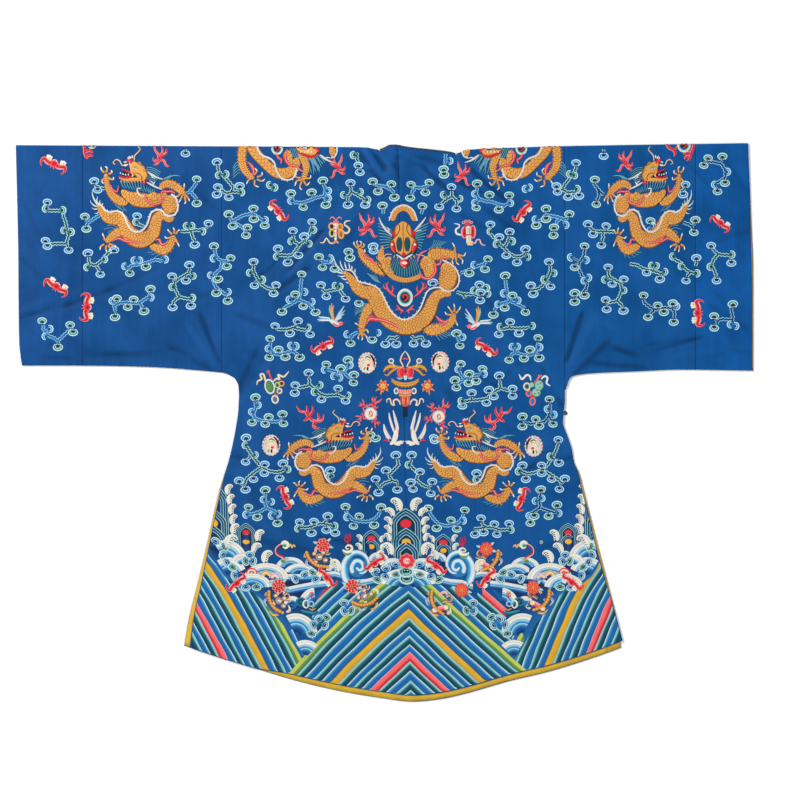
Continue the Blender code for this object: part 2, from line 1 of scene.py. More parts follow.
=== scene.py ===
"""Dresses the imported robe: fine cloth, embroidery, fastenings and the studio it lies in.

Every length is in metres unless its name or its table says mm. The robe lies on its front, so the upper layer
is the wearer's back; X runs from the wearer's left cuff to the right one, Y from hem to shoulders and Z up.
"""

import math

import bpy
import numpy as np
from bpy.props import FloatProperty, FloatVectorProperty, PointerProperty
from bpy.types import Operator, Panel, PropertyGroup
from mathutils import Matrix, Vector


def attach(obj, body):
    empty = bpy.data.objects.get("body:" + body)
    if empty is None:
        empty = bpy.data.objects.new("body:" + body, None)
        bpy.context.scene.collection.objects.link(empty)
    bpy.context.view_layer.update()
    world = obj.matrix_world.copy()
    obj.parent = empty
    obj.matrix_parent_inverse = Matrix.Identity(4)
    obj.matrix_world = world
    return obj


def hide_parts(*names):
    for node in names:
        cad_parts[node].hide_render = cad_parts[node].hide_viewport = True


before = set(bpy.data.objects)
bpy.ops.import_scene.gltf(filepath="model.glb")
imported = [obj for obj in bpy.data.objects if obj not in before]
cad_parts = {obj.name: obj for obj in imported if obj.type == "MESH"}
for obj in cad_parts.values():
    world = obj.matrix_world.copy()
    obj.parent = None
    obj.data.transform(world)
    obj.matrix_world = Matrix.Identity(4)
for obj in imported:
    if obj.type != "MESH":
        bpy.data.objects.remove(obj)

bl_info = {
    "name": "Dragon robe dressing",
    "version": (1, 0, 0),
    "blender": (4, 5, 0),
    "location": "3D View > Sidebar > Robe",
    "description": "Fine cloth, embroidery and studio for an embroidered silk robe",
    "category": "Object",
}

MM = 0.001
WALL = 0.0012
SLIT_TOP = -0.080
SEAM = 0.0003
FACING_WALL = 0.0006
FACING_WIDTH = 0.028
CUFF_FACING_WIDTH = 0.020
FACING_INSET = 0.0011
SLIT_FACING_INSET = 0.0003
BINDING_WIDTH = 0.0030

# Heights of the layers, each halfway through its cloth.
FRONT_Z = WALL / 2
UNDERLAP_Z = FRONT_Z + WALL + SEAM
FACING_Z = FRONT_Z + WALL / 2 + SEAM + FACING_WALL / 2
SIDE_SEAM_Z = FRONT_Z + WALL + SEAM
SIDE_ON_UNDERLAP_Z = UNDERLAP_Z + WALL + SEAM
FREE_EDGE_Z = FACING_Z + FACING_WALL / 2 + SEAM + WALL / 2
SHOULDER_Z = 0.0032
INSIDE_Z = 0.0054
TABLE_Z = -0.0008
SENSOR_WIDTH = 36.0  # of the camera, in mm
# How far from its edges the upper layer has risen. Below them, the heights of Y between which the slits' free
# edges turn into sewn sides and the sides into sleeves, and how far the sleeve seams reach.
PUFF_REACH = 0.070
SLIT_FADE = (SLIT_TOP + 0.005, SLIT_TOP + 0.045)
UNDERARM_FADE_LEFT = (0.104, 0.170)
UNDERARM_FADE_RIGHT = (0.104, 0.200)
SLEEVE_FADE = 0.050

# Seams, neck, edges of the hidden layers, fastenings and corners of the cut.
SLEEVE_SEAM_LEFT = -0.3300
SLEEVE_SEAM_RIGHT = 0.3664
CUFF_SEAM_LEFT = -0.6120
CUFF_SEAM_RIGHT = 0.6320
NECK_LEFT = -0.0132
NECK_RIGHT = 0.1472
NECK_DEPTH = 0.075
OVERLAP_CORNER = 0.0980
UNDERLAP_HEM = -0.360
UNDERLAP_INSET = 0.042
CLIMB_START = 0.0045
CLIMB_END = 0.0300
KNOT_RADIUS = 0.0028
KNOT_SQUASH = 0.60
LOOP_CORD = 0.0006
LOOP_TURN = KNOT_RADIUS + LOOP_CORD + SEAM
NECK_FASTENING = (0.0860, 0.0078)  # where along the overlap it sits, and how far past its edge
CHEST_FASTENING = (0.2330, 0.0082)
SIDE_KNOT_X = 0.3674
SIDE_KNOT_Y = 0.0193
CHEST_UNDERLAP_Z = 0.0047
CHEST_BACK_RISE = 0.0012
CHEST_FLAT = 0.014
CHEST_REACH = 0.045
CORNER = -0.452
SLEEVE_FOOT = 0.102
UNDERARM_LEFT = (-0.3300, 0.1020)
UNDERARM_RIGHT = (0.3664, 0.0716)
OVERLAP_START = 0.0290
CUFF_FOOT_X = -0.7490
CUFF_TOP = 0.5670
NECK_FOLD_Y = 0.5628  # where the middle seam meets the shoulder fold
LEAST_FLAT_SHARE = 0.31  # of a cut's rectangle that its cloth fills

# Mesh steps of the fine cloth.
FINE = 0.0048
COARSE = 0.0090
FOLD_STEPS = 6


class Curve:
    """A smooth line through the places of a table, which never swings past them."""

    def __init__(self, places, values):
        self.places = np.array(places, float)
        self.values = np.array(values, float)
        count = np.arange(len(self.places))
        before = np.maximum(count - 1, 0)
        after = np.minimum(count + 1, len(count) - 1)
        rise = self.values[after] - self.values[before]
        self.slopes = rise / (self.places[after] - self.places[before])

    def __call__(self, at):
        at = np.clip(at, self.places[0], self.places[-1])
        i = np.clip(np.searchsorted(self.places, at, side="right") - 1, 0, len(self.places) - 2)
        width = self.places[i + 1] - self.places[i]
        t = (at - self.places[i]) / width
        steady = 3 * (self.values[i + 1] - self.values[i]) / width
        low, high = np.minimum(0.0, steady), np.maximum(0.0, steady)
        first, last = np.clip(self.slopes[i], low, high), np.clip(self.slopes[i + 1], low, high)
        start = (1 + 2 * t) * (1 - t) ** 2 * self.values[i] + t * (1 - t) ** 2 * width * first
        end = t * t * (3 - 2 * t) * self.values[i + 1] + t * t * (t - 1) * width * last
        return start + end


def curve_of(rows, place=0, value=1):
    """A smooth line through two columns of a table."""
    return Curve([row[place] for row in rows], [row[value] for row in rows])


# The body's edges, a row for each height: height, left front, left back, right front, right back.
SIDES = [
    (-0.452, -0.4070, -0.3950, 0.4801, 0.4860),
    (-0.395, -0.3969, -0.3875, 0.4715, 0.4710),
    (-0.322, -0.3786, -0.3715, 0.4527, 0.4496),
    (-0.249, -0.3613, -0.3565, 0.4334, 0.4293),
    (-0.176, -0.3451, -0.3415, 0.4150, 0.4125),
    (-0.135, -0.3350, -0.3325, 0.4045, 0.4010),
    (-0.103, -0.3248, -0.3240, 0.3962, 0.3940),
    (-0.079, -0.3167, -0.3167, 0.3850, 0.3840),
    (-0.055, -0.3108, -0.3108, 0.3806, 0.3806),
    (-0.030, -0.3055, -0.3055, 0.3725, 0.3725),
    (-0.002, -0.3005, -0.3005, 0.3625, 0.3625),
    (0.019, -0.2974, -0.2974, 0.3635, 0.3635),
    (0.042, -0.2960, -0.2960, 0.3664, 0.3664),
    (0.055, -0.2954, -0.2954, 0.3664, 0.3664),
    (0.078, -0.2975, -0.2975, 0.3664, 0.3664),
    (0.090, -0.3040, -0.3040, 0.3664, 0.3664),
    (0.098, -0.3180, -0.3180, 0.3664, 0.3664),
    (0.102, -0.3300, -0.3300, 0.3664, 0.3664),
]
LEFT_FRONT = curve_of(SIDES, 0, 1)
LEFT_BACK = curve_of(SIDES, 0, 2)
RIGHT_FRONT = curve_of(SIDES, 0, 3)
RIGHT_BACK = curve_of(SIDES, 0, 4)

# Each of these tables holds places as X and height Y.
front_hem = curve_of([
    (-0.4070, -0.4530), (-0.3461, -0.4738), (-0.2608, -0.5002), (-0.1756, -0.5257), (-0.0903, -0.5458),
    (-0.0051, -0.5602), (0.0518, -0.5670), (0.1086, -0.5622), (0.1654, -0.5500), (0.2507, -0.5257),
    (0.3360, -0.5052), (0.4212, -0.4788), (0.4860, -0.4555),
])
back_hem_rise = curve_of([(-0.407, 0.0), (-0.270, 0.0), (-0.190, 0.0100), (0.0, 0.0125), (0.486, 0.0125)])
shoulder = curve_of([
    (-0.7490, 0.5628), (-0.0900, 0.5590), (-0.0376, 0.5580), (-0.0132, 0.5540), (0.1472, 0.5465),
    (0.1654, 0.5526), (0.2142, 0.5557), (0.3664, 0.5608), (0.7490, 0.5670),
])
back_neck = curve_of([
    (-0.0132, 0.5500), (0.0000, 0.5553), (0.0112, 0.5608), (0.0233, 0.5610), (0.0477, 0.5565),
    (0.0964, 0.5512), (0.1330, 0.5465), (0.1472, 0.5425),
])
under_left = curve_of([
    (-0.7490, 0.1168), (-0.5735, 0.1160), (-0.4598, 0.1128), (-0.3745, 0.1064), (-0.3300, 0.1020),
])
under_right = curve_of([
    (0.3664, 0.0716), (0.3692, 0.0722), (0.3745, 0.0885), (0.3867, 0.0960), (0.4293, 0.1010),
    (0.5024, 0.1040), (0.5998, 0.1080), (0.7490, 0.1060),
])
overlap_edge = curve_of([
    (0.0290, 0.4808), (0.0480, 0.4738), (0.0670, 0.4718), (0.0860, 0.4730), (0.0980, 0.4700),
    (0.1200, 0.4480), (0.2000, 0.3550), (0.2800, 0.2300), (0.3400, 0.1200), (0.3664, 0.0660),
])
# And these hold heights Y and the X there.
middle = curve_of([(-0.567, 0.0538), (0.050, 0.0396), (0.300, 0.0345), (0.560, 0.0274)])
cuff_end_left = curve_of([
    (0.117, -0.7365), (0.130, -0.7385), (0.160, -0.7415), (0.250, -0.7430), (0.370, -0.7440),
    (0.563, -0.7485),
])
cuff_end_right = curve_of([(0.106, 0.7465), (0.250, 0.7465), (0.360, 0.7440), (0.566, 0.7385)])
cuff_end_right_lower = curve_of([(0.106, 0.7490), (0.300, 0.7490), (0.390, 0.7455), (0.566, 0.7385)])

# Folds and creases of the upper layer in mm: from x, y to x, y, width across, height (below 0 a trough).
FOLDS = [
    (-735, 205, -630, 262, 26, -1.3), (-735, 310, -640, 250, 30, 1.4), (-600, 480, -420, 520, 32, 1.2),
    (-350, 340, -340, 130, 28, 1.2), (-260, 280, -110, 430, 30, -1.4), (-230, 240, -80, 400, 32, 1.6),
    (-45, 520, 10, 545, 22, -1.4), (-60, 545, 5, 515, 24, 1.8), (110, 530, 170, 470, 26, 1.5),
    (150, 480, 280, 360, 30, 1.3), (365, 470, 360, 160, 28, 1.0), (610, 530, 690, 440, 30, -1.4),
    (630, 540, 730, 450, 26, 1.4), (500, 150, 700, 170, 34, 1.2), (-330, -140, -150, -200, 34, 1.4),
    (240, -190, 400, -160, 32, 1.3), (-280, -50, -200, 60, 30, 1.2), (280, 80, 350, -40, 30, 1.3),
    (40, 30, 48, -420, 26, -0.8), (-120, -230, 10, -270, 30, 1.2),
]
CREASES = [
    (-131, 384, -190, 317, 5, -2.24), (-138, 392, -199, 322, 7, 1.22), (-160, 310, -226, 262, 6, -1.42),
    (-212, 335, -250, 300, 5, -1.63), (-205, 345, -240, 312, 6, 1.31), (-96, 470, -150, 400, 8, 1.11),
    (-715, 222, -655, 248, 5, -0.47), (-742, 224, -668, 262, 6, 0.41), (-700, 200, -640, 214, 7, -0.28),
    (-735, 420, -690, 330, 8, 0.50), (-728, 436, -700, 380, 6, -0.41), (-690, 150, -650, 300, 12, 0.45),
    (-40, 557, -12, 512, 5, 2.67), (-30, 556, -2, 520, 5, -2.39), (-22, 552, 6, 530, 5, 2.25),
    (-46, 540, -14, 500, 6, -1.69), (-8, 540, 22, 520, 5, -1.27), (-36, 520, 0, 498, 6, 1.42),
    (20, 552, 60, 535, 6, 1.27), (60, 540, 120, 528, 6, -0.98), (120, 536, 150, 508, 6, 1.27),
    (132, 528, 168, 486, 5, -1.42), (150, 540, 172, 500, 6, 1.18), (-90, 552, -66, 470, 9, 0.76),
    (380, 120, 420, 200, 8, 1.30), (372, 130, 400, 220, 6, -1.57), (392, 104, 450, 160, 8, -1.03),
    (-345, 118, -395, 190, 8, 1.24), (-338, 128, -372, 214, 6, -1.46), (-356, 112, -430, 150, 8, -1.03),
    (-300, 60, -262, 140, 7, -1.03), (-292, 40, -240, 110, 8, 1.09), (350, 60, 310, 150, 8, 1.09),
    (358, 40, 322, 110, 6, -1.38), (600, 540, 672, 468, 5, -0.60), (592, 530, 655, 470, 7, 0.45),
    (690, 540, 734, 470, 6, -0.54), (560, 130, 690, 150, 8, 0.64), (540, 160, 640, 172, 6, -0.51),
    (640, 130, 655, 330, 10, 0.38), (-470, 150, -380, 128, 8, 0.58), (-600, 140, -500, 132, 9, -0.49),
    (-330, -60, -210, -100, 7, -0.75), (-320, -100, -180, -120, 9, 0.83), (390, -110, 280, -150, 8, 0.79),
    (380, -70, 300, -90, 6, -0.89), (-280, -190, -200, -235, 7, 0.70), (120, -40, 150, -170, 10, 0.67),
    (-60, -40, -80, -200, 11, 0.67), (200, 260, 260, 180, 8, -0.70), (180, 330, 250, 250, 9, 0.75),
    (-20, 470, -70, 380, 9, -0.67), (90, 470, 140, 400, 8, 0.70), (300, 540, 312, 420, 10, 0.67),
    (430, 545, 420, 430, 12, 0.70), (520, 540, 540, 400, 11, -0.45), (-420, 548, -400, 430, 11, 0.49),
    (-520, 545, -540, 420, 12, -0.45), (-230, 545, -215, 430, 10, 0.67), (-300, -230, -150, -262, 9, -0.75),
    (-140, -215, -20, -240, 7, 0.79), (-130, -232, -40, -252, 5, -1.00), (120, -232, 210, -215, 8, 0.67),
    (330, -250, 420, -230, 9, -0.70), (-350, -330, -250, -300, 12, 0.87), (300, -330, 440, -350, 12, 0.87),
    (-200, -420, -120, -500, 12, 0.92), (150, -520, 230, -430, 12, 0.92), (-20, -440, 30, -540, 11, 0.79),
    (-390, -440, -340, -380, 10, 0.87), (400, -470, 440, -400, 10, 0.92), (-100, -520, -60, -455, 9, -0.67),
    (-742, 212, -640, 240, 5, -0.70), (-640, 240, -560, 268, 6, -0.72), (-560, 268, -470, 310, 6, -0.53),
    (-738, 226, -610, 268, 8, 0.48), (-735, 330, -660, 262, 9, -0.44), (-690, 430, -640, 330, 10, 0.40),
    (-690, 132, -640, 130, 5, -0.70), (-560, 138, -440, 144, 6, -0.65), (-420, 250, -330, 262, 7, -0.59),
    (-350, 330, -338, 140, 9, 0.81), (-290, 215, -180, 175, 8, -0.65), (-280, 130, -230, 90, 8, 0.81),
    (470, 150, 500, 140, 6, -1.30), (560, 150, 640, 172, 5, -0.83), (640, 250, 735, 190, 7, -0.53),
    (600, 330, 690, 245, 8, -0.40), (655, 360, 742, 392, 8, -0.44), (440, 330, 520, 300, 9, 0.65),
    (400, 230, 470, 190, 8, 0.65), (430, 120, 520, 112, 6, -1.08), (700, 150, 742, 140, 6, -0.53),
    (230, 130, 330, 70, 8, 0.73), (210, 60, 300, 150, 8, -0.65), (-180, 80, -100, 10, 9, 0.65),
    (130, 60, 200, -20, 9, -0.65), (-60, 110, -150, 60, 8, 0.57), (70, 330, 130, 260, 8, 0.57),
    (-90, 250, -160, 180, 8, 0.57), (160, 420, 230, 380, 7, -0.65), (280, 470, 350, 400, 8, 0.65),
    (-300, 450, -230, 370, 8, 0.65), (-420, 500, -350, 440, 8, -0.47), (-190, -60, -120, -120, 8, 0.57),
    (130, -60, 240, -110, 8, 0.57), (250, -130, 330, -60, 8, -0.57), (-330, -150, -260, -60, 9, 0.57),
    (24, 556, 27, 500, 6, -0.95), (88, 509, 112, 487, 5, -1.20), (112, 487, 141, 465, 5, -1.35),
    (98, 514, 148, 474, 6, 0.95), (172, 517, 242, 457, 5, -1.90), (183, 521, 251, 463, 6, 1.05),
    (140, 492, 190, 470, 6, -1.30), (-96, 533, -50, 526, 5, -0.85), (-60, 508, -8, 512, 6, -0.80),
    (36, 540, 80, 520, 6, -0.75), (-150, 470, -110, 440, 6, -0.80), (210, 430, 262, 392, 6, -0.85),
]
# Low ridges of the layer that lies on the surface.
UNDER_RIDGES = [
    (-300, 480, -160, 380, 24, 0.8), (-250, 60, -120, -60, 26, 0.8), (60, 260, 180, 160, 24, 0.7),
    (-320, -260, -160, -330, 26, 0.8), (180, -220, 340, -300, 26, 0.8), (-640, 300, -460, 240, 26, 0.8),
    (460, 260, 620, 330, 26, 0.8), (-20, -120, 20, -360, 22, 0.7), (-520, 470, -400, 500, 20, 0.6),
    (480, 480, 600, 450, 20, 0.6), (-60, 420, -140, 260, 20, 0.6), (250, 30, 320, -80, 20, 0.6),
]


def blend(value, low, high):
    """0 below low, 1 above high, smooth between."""
    share = np.clip((value - low) / (high - low), 0.0, 1.0)
    return share * share * (3.0 - 2.0 * share)


def mix(a, b, share):
    """The value that lies this share of the way from one to the other."""
    return a + (b - a) * share


def along(line):
    """How far each place of a line is from its start, along it."""
    return np.concatenate([[0], np.cumsum(np.linalg.norm(np.diff(line, axis=0), axis=1))])


def directions(line):
    """At each place of a flat line, the direction ahead and the one to its left."""
    ahead = np.gradient(line, axis=0)
    ahead /= np.linalg.norm(ahead, axis=1)[:, None] + 1e-12
    return ahead, np.stack([-ahead[:, 1], ahead[:, 0]], axis=-1)


def back_hem(x):
    """The back's hem, drawn up a little from the front's."""
    return front_hem(x) + back_hem_rise(x)


def front_neck(x):
    """The front neckline, a half ellipse hanging from the two ends of the back neck."""
    share = np.minimum(1.0, np.abs(x - (NECK_LEFT + NECK_RIGHT) / 2) / ((NECK_RIGHT - NECK_LEFT) / 2))
    ends = mix(shoulder(NECK_LEFT), shoulder(NECK_RIGHT), 0.5) - 0.003
    return ends - NECK_DEPTH * np.sqrt(1 - share * share)


def ridges(table, x, y):
    """How far a table of folds raises or lowers the cloth here."""
    total = np.zeros(np.broadcast(x, y).shape)
    for x0, y0, x1, y1, width, height in table:
        dx, dy = (x1 - x0) * MM, (y1 - y0) * MM
        length, width = math.hypot(dx, dy), width * MM
        run = ((x - x0 * MM) * dx + (y - y0 * MM) * dy) / length
        across = ((x - x0 * MM) * dy - (y - y0 * MM) * dx) / length
        past = np.maximum(0.0, np.maximum(-run, run - length))
        total += height * MM * np.exp(-((across / width) ** 2) - (past / (2 * width)) ** 2)
    return total


def overlap_slope(x):
    """How steeply the overlap's edge runs."""
    return (overlap_edge(x + 0.002) - overlap_edge(x - 0.002)) / 0.004


def past_overlap(x, y):
    """How far this place is outside the overlap's edge, measured square to it."""
    return (y - overlap_edge(x)) / np.hypot(1.0, overlap_slope(x))


def beside_overlap(x, distance):
    """The point this far outside the overlap's edge, and the direction outwards."""
    slope = overlap_slope(x)
    length = math.hypot(1.0, slope)
    out = (-slope / length, 1.0 / length)
    return x + out[0] * distance, overlap_edge(x) + out[1] * distance, math.atan2(out[1], out[0])


def near_chest_knot(x, y):
    """1 over the chest knot, 0 away from it."""
    knot_x, knot_y, _ = beside_overlap(*CHEST_FASTENING)
    return 1 - blend(np.hypot(x - knot_x, y - knot_y), CHEST_FLAT, CHEST_REACH)


def from_outline(x, y):
    """How far this place is from the nearest edge or fold of the upper layer."""
    top = np.where((x > NECK_LEFT) & (x < NECK_RIGHT), back_neck(x), shoulder(x)) - y
    is_left = x < middle(y)
    corner_x = np.where(is_left, UNDERARM_LEFT[0], UNDERARM_RIGHT[0])
    corner_y = np.where(is_left, UNDERARM_LEFT[1], UNDERARM_RIGHT[1])
    beside = np.minimum(np.where(is_left, x - LEFT_BACK(y), RIGHT_BACK(y) - x), y - back_hem(x))
    body = np.where(y > corner_y, np.hypot(x - corner_x, y - corner_y), beside)
    in_left = (x < SLEEVE_SEAM_LEFT) & (y > UNDERARM_LEFT[1] - 0.02)
    in_right = (x > SLEEVE_SEAM_RIGHT) & (y > UNDERARM_RIGHT[1] - 0.02)
    left = np.minimum(y - under_left(x), (x - cuff_end_left(y)) * 1.4)
    right = np.minimum(y - under_right(x), (cuff_end_right(y) - x) * 1.4)
    return np.minimum(top, np.where(in_left, left, np.where(in_right, right, body)))


def edge_level(x, y):
    """The upper layer's height at its edges: lowest at the side seams, over the facings at hem and slits."""
    sewn = blend(y, *SLIT_FADE)
    left = mix(mix(FREE_EDGE_Z, SIDE_SEAM_Z, sewn), SHOULDER_Z, blend(y, *UNDERARM_FADE_LEFT))
    left = mix(left, SHOULDER_Z, blend(SLEEVE_SEAM_LEFT - x, 0.0, SLEEVE_FADE))
    right = mix(mix(FREE_EDGE_Z, SIDE_ON_UNDERLAP_Z, sewn), SHOULDER_Z, blend(y, *UNDERARM_FADE_RIGHT))
    right = mix(right, SHOULDER_Z, blend(x - SLEEVE_SEAM_RIGHT, 0.0, SLEEVE_FADE))
    return np.where(x < middle(y), left, right)


SEAM_DIP = 0.00016  # how far a seam draws the cloth down
SEAM_DIP_REACH = 0.0028


def seam_dip(x, y):
    """The shallow groove along the middle seam and where sleeves and cuff bands are sewn on."""
    total = np.zeros(np.broadcast(x, y).shape)
    pucker = 1 + 0.35 * np.sin(y / 0.0090) * np.sin(y / 0.0237)
    sewn = blend(y, 0.055, 0.075)
    for seam, there in ((middle(y), 1.0), (SLEEVE_SEAM_LEFT, sewn), (SLEEVE_SEAM_RIGHT, sewn),
                        (CUFF_SEAM_LEFT, 0.45 * sewn), (CUFF_SEAM_RIGHT, 0.45 * sewn)):
        total = total + SEAM_DIP * there * pucker * np.exp(-(((x - seam) / SEAM_DIP_REACH) ** 2))
    return total


def back_level(x, y):
    """The upper layer: pressed down along its edges, puffed and folded further in."""
    low = edge_level(x, y)
    outline = np.maximum(0.0, from_outline(x, y))
    inside = blend(outline, 0.0, PUFF_REACH)
    relief = INSIDE_Z - low + ridges(FOLDS, x, y)
    fine = (ridges(CREASES, x, y) - seam_dip(x, y)) * blend(outline, 0.0, 0.012)
    return low + inside * relief + fine + CHEST_BACK_RISE * near_chest_knot(x, y)


def under_ridge(x, y):
    """Ridges that both layers of the front share, so that they stay apart."""
    clear = blend(from_outline(x, y), 0.010, 0.060) * blend(np.abs(past_overlap(x, y)), 0.012, 0.050)
    return ridges(UNDER_RIDGES, x, y) * clear * (1 - near_chest_knot(x, y))


def front_level(x, y):
    """The front layer of body lengths and sleeves: the underlap climbs onto the overlap, the rest is flat."""
    inside = np.minimum(x, SLEEVE_SEAM_RIGHT)
    level = mix(UNDERLAP_Z, FRONT_Z, blend(past_overlap(inside, y), CLIMB_START, CLIMB_END))
    fade = blend(x - inside, 0.0, 0.060) * (y > UNDERARM_RIGHT[1] - 0.01)
    level = mix(level, FRONT_Z, fade)
    level = mix(level, np.maximum(level, CHEST_UNDERLAP_Z), near_chest_knot(x, y))
    return np.where(x < middle(y), FRONT_Z, level) + under_ridge(x, y)


def overlap_level(x, y):
    """The outer front's right part, which lies flat."""
    return FRONT_Z + under_ridge(x, y)


def mesh_object(name, points, faces):
    """A new object at the origin, its place in its mesh."""
    mesh = bpy.data.meshes.new(name)
    mesh.from_pydata(points, [], faces)
    mesh.update()
    piece = bpy.data.objects.new(name, mesh)
    bpy.context.scene.collection.objects.link(piece)
    return piece


def finish_with(piece, modifier):
    """Applies a modifier, with nothing else selected."""
    bpy.ops.object.select_all(action="DESELECT")
    bpy.context.view_layer.objects.active = piece
    piece.select_set(True)
    bpy.ops.object.modifier_apply(modifier=modifier)
    piece.select_set(False)


def skin(name, rows, wall, closed=False):
    """Cloth skinned over a grid of points, NaN where there is none. Returns the piece and its flat area."""
    rows = np.asarray(rows, float)
    lines, width = rows.shape[:2]
    there = ~np.isnan(rows[:, :, 0])
    index = np.full((lines, width), -1)
    index[there] = np.arange(there.sum())
    across = [index, np.roll(index, -1, axis=1)] if closed else [index[:, :-1], index[:, 1:]]
    quads = np.stack([across[0][:-1], across[1][:-1], across[1][1:], across[0][1:]], axis=-1).reshape(-1, 4)
    quads = quads[(quads >= 0).all(axis=1)]
    points = rows[there]
    corners = points[quads]
    area = np.linalg.norm(np.cross(corners[:, 2] - corners[:, 0], corners[:, 3] - corners[:, 1]), axis=1)
    piece = mesh_object(name, points.tolist(), quads.tolist())
    thickness = piece.modifiers.new("wall", "SOLIDIFY")
    thickness.thickness = wall
    thickness.offset = 0.0
    thickness.use_even_offset = True
    finish_with(piece, "wall")
    piece.data.shade_smooth()
    return piece, float(area.sum() / 2)


def mark_folds(piece):
    """Keeps how deep each crease is, in millimetres, for the satin, which paints shade into the troughs and
    highlight onto the ridges.
    """
    mesh = piece.data
    places = np.empty(len(mesh.vertices) * 3)
    mesh.vertices.foreach_get("co", places)
    places = places.reshape(-1, 3)
    depth = ridges(CREASES, places[:, 0], places[:, 1]) / MM
    mesh.attributes.new("fold", "FLOAT", "POINT").data.foreach_set("value", depth.astype(np.float32))


def settle(piece, nodes, silk, material, flat, area):
    """A finished sheet rides with the robe and stands for its solid."""
    piece.data.materials.append(material)
    if silk == "blue_satin":
        mark_folds(piece)
    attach(piece, "root")
    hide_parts(*nodes)
    whole = flat[0] * flat[1]
    area = min(max(area, LEAST_FLAT_SHARE * whole), whole)


def steps(step, low, high, stops=()):
    """Places from low to high, about a step apart, through the stops between them, as shares of the way."""
    marks = [low, *(s for s in sorted(stops) if low + 0.002 < s < high - 0.002), high]
    places = [low]
    for start, end in zip(marks, marks[1:]):
        count = max(1, round(abs(end - start) / step))
        places += [mix(start, end, (k + 1) / count) for k in range(count)]
    return np.array([(place - low) / (high - low) for place in places])


def fold_over(x, fold, upper_z, lower_z):
    """The half circle that joins two layers at a fold, from the upper to the lower one, without its ends."""
    radius = (upper_z - lower_z) / 2
    angles = np.pi * np.arange(1, FOLD_STEPS) / FOLD_STEPS
    rows = [fold - radius + radius * np.sin(angles), lower_z + radius + radius * np.cos(angles)]
    return np.stack([np.full(len(angles), x), *rows], axis=-1)


def top_columns(is_left):
    """Where a body length's lines end at its top: from the sleeve seam to the neck, then along the neck."""
    seam = (SLEEVE_SEAM_LEFT + SEAM / 2) if is_left else (SLEEVE_SEAM_RIGHT - SEAM / 2)
    neck = NECK_LEFT if is_left else NECK_RIGHT
    end = middle(NECK_FOLD_Y) + (-SEAM / 2 if is_left else SEAM / 2)
    near = (SEAM_DIP_REACH * 0.5, SEAM_DIP_REACH * 1.2)
    outside = mix(seam, neck, steps(FINE, 0.0, abs(neck - seam), near))
    length = abs(end - neck)
    inside = mix(neck, end, steps(FINE * 0.8, 0.0, length, [length - s for s in near]))
    return outside, inside[1:]


def lined_up(x, y, z):
    """Places from their X, Y and Z, any of which may be one number."""
    return np.stack(np.broadcast_arrays(x, y, z), axis=-1)


def underlap_heights(x, low, top):
    """The rows of the underlap on one line, closer together where it climbs onto the overlap."""
    square = math.hypot(1.0, overlap_slope(x))
    start = overlap_edge(x) + CLIMB_START * square
    climb = np.minimum(start + (CLIMB_END - CLIMB_START) * square * np.linspace(0, 1, 9), top - 0.020)
    climb = np.maximum.accumulate(climb + np.arange(9) * 1e-4)
    below = mix(low, climb[0], np.linspace(0, 1, 80))
    above = mix(climb[-1], top, np.linspace(0, 1, 34))
    return np.concatenate([below[:-1], climb, above[1:]])


def body_half(name, is_left, material):
    """Back and front of one side in one length, folded at the shoulder and cut out at the neck."""
    back_side, front_side = (LEFT_BACK, LEFT_FRONT) if is_left else (RIGHT_BACK, RIGHT_FRONT)
    away = -SEAM / 2 if is_left else SEAM / 2
    outside, on_neck = top_columns(is_left)
    seam, end = outside[0], on_neck[-1]
    stops = [row[0] for row in SIDES[6:]]

    def outer(column, height):
        """The side's edge, which runs up to the sleeve seam and then along it."""
        x = column(height)
        if column is RIGHT_FRONT:
            x = x - UNDERLAP_INSET * blend(-height, -SLIT_TOP - 0.055, -SLIT_TOP - 0.005)
        if is_left:
            x = np.where(height > 0.09, np.maximum(x, seam), x)
        else:
            x = np.where(height > 0.03, np.minimum(x, seam), x)
        return np.where(height > SLEEVE_FOOT - 0.0005, seam, x)

    def across(share, height, column):
        return mix(outer(column, height), middle(height) + away, share)

    top = shoulder(seam) - (back_level(seam, shoulder(seam)) - FRONT_Z) / 2
    back_rows = steps(FINE, back_hem(back_side(CORNER)), top, stops)
    front_rows = steps(COARSE, front_hem(front_side(CORNER)), top, stops)
    by_column = []
    for x_top in np.concatenate([outside, on_neck]):
        share = (x_top - seam) / (end - seam)
        open_top = x_top in on_neck
        fold = shoulder(x_top)
        upper, lower = back_level(x_top, fold), front_level(x_top, fold)
        back_top = back_neck(x_top) if open_top else fold - (upper - lower) / 2
        y = mix(back_hem(across(share, CORNER, back_side)), back_top, back_rows)
        x = across(share, y, back_side)
        line = lined_up(x, y, back_level(x, y))
        line[-1] = (x_top, back_top, back_level(x_top, back_top) if open_top else upper)
        turned = fold_over(x_top, fold, upper, lower)
        front_top = front_neck(x_top) if open_top else back_top
        if is_left:
            heights = mix(front_hem(across(share, CORNER, front_side)), front_top, front_rows)
        else:
            heights = underlap_heights(x_top, UNDERLAP_HEM, front_top)
        y = heights[::-1]
        x = across(share, y, front_side)
        x[0] = x_top
        under = lined_up(x, y, front_level(x, y))
        by_column.append(np.concatenate([line, turned * np.nan if open_top else turned, under]))
    piece, area = skin(name, by_column, WALL)
    settle(piece, [name.replace("_cloth", "")], "blue_satin", material, BODY_FLAT, area)


def overlap_columns():
    """Where the overlap's lines end along its upper edge."""
    start = middle(0.48) + SEAM / 2
    end = SLEEVE_SEAM_RIGHT - SEAM
    along_neck = mix(start, OVERLAP_CORNER, steps(0.006, start, OVERLAP_CORNER))
    return np.concatenate([along_neck, mix(OVERLAP_CORNER, end, steps(0.007, OVERLAP_CORNER, end))[1:]])


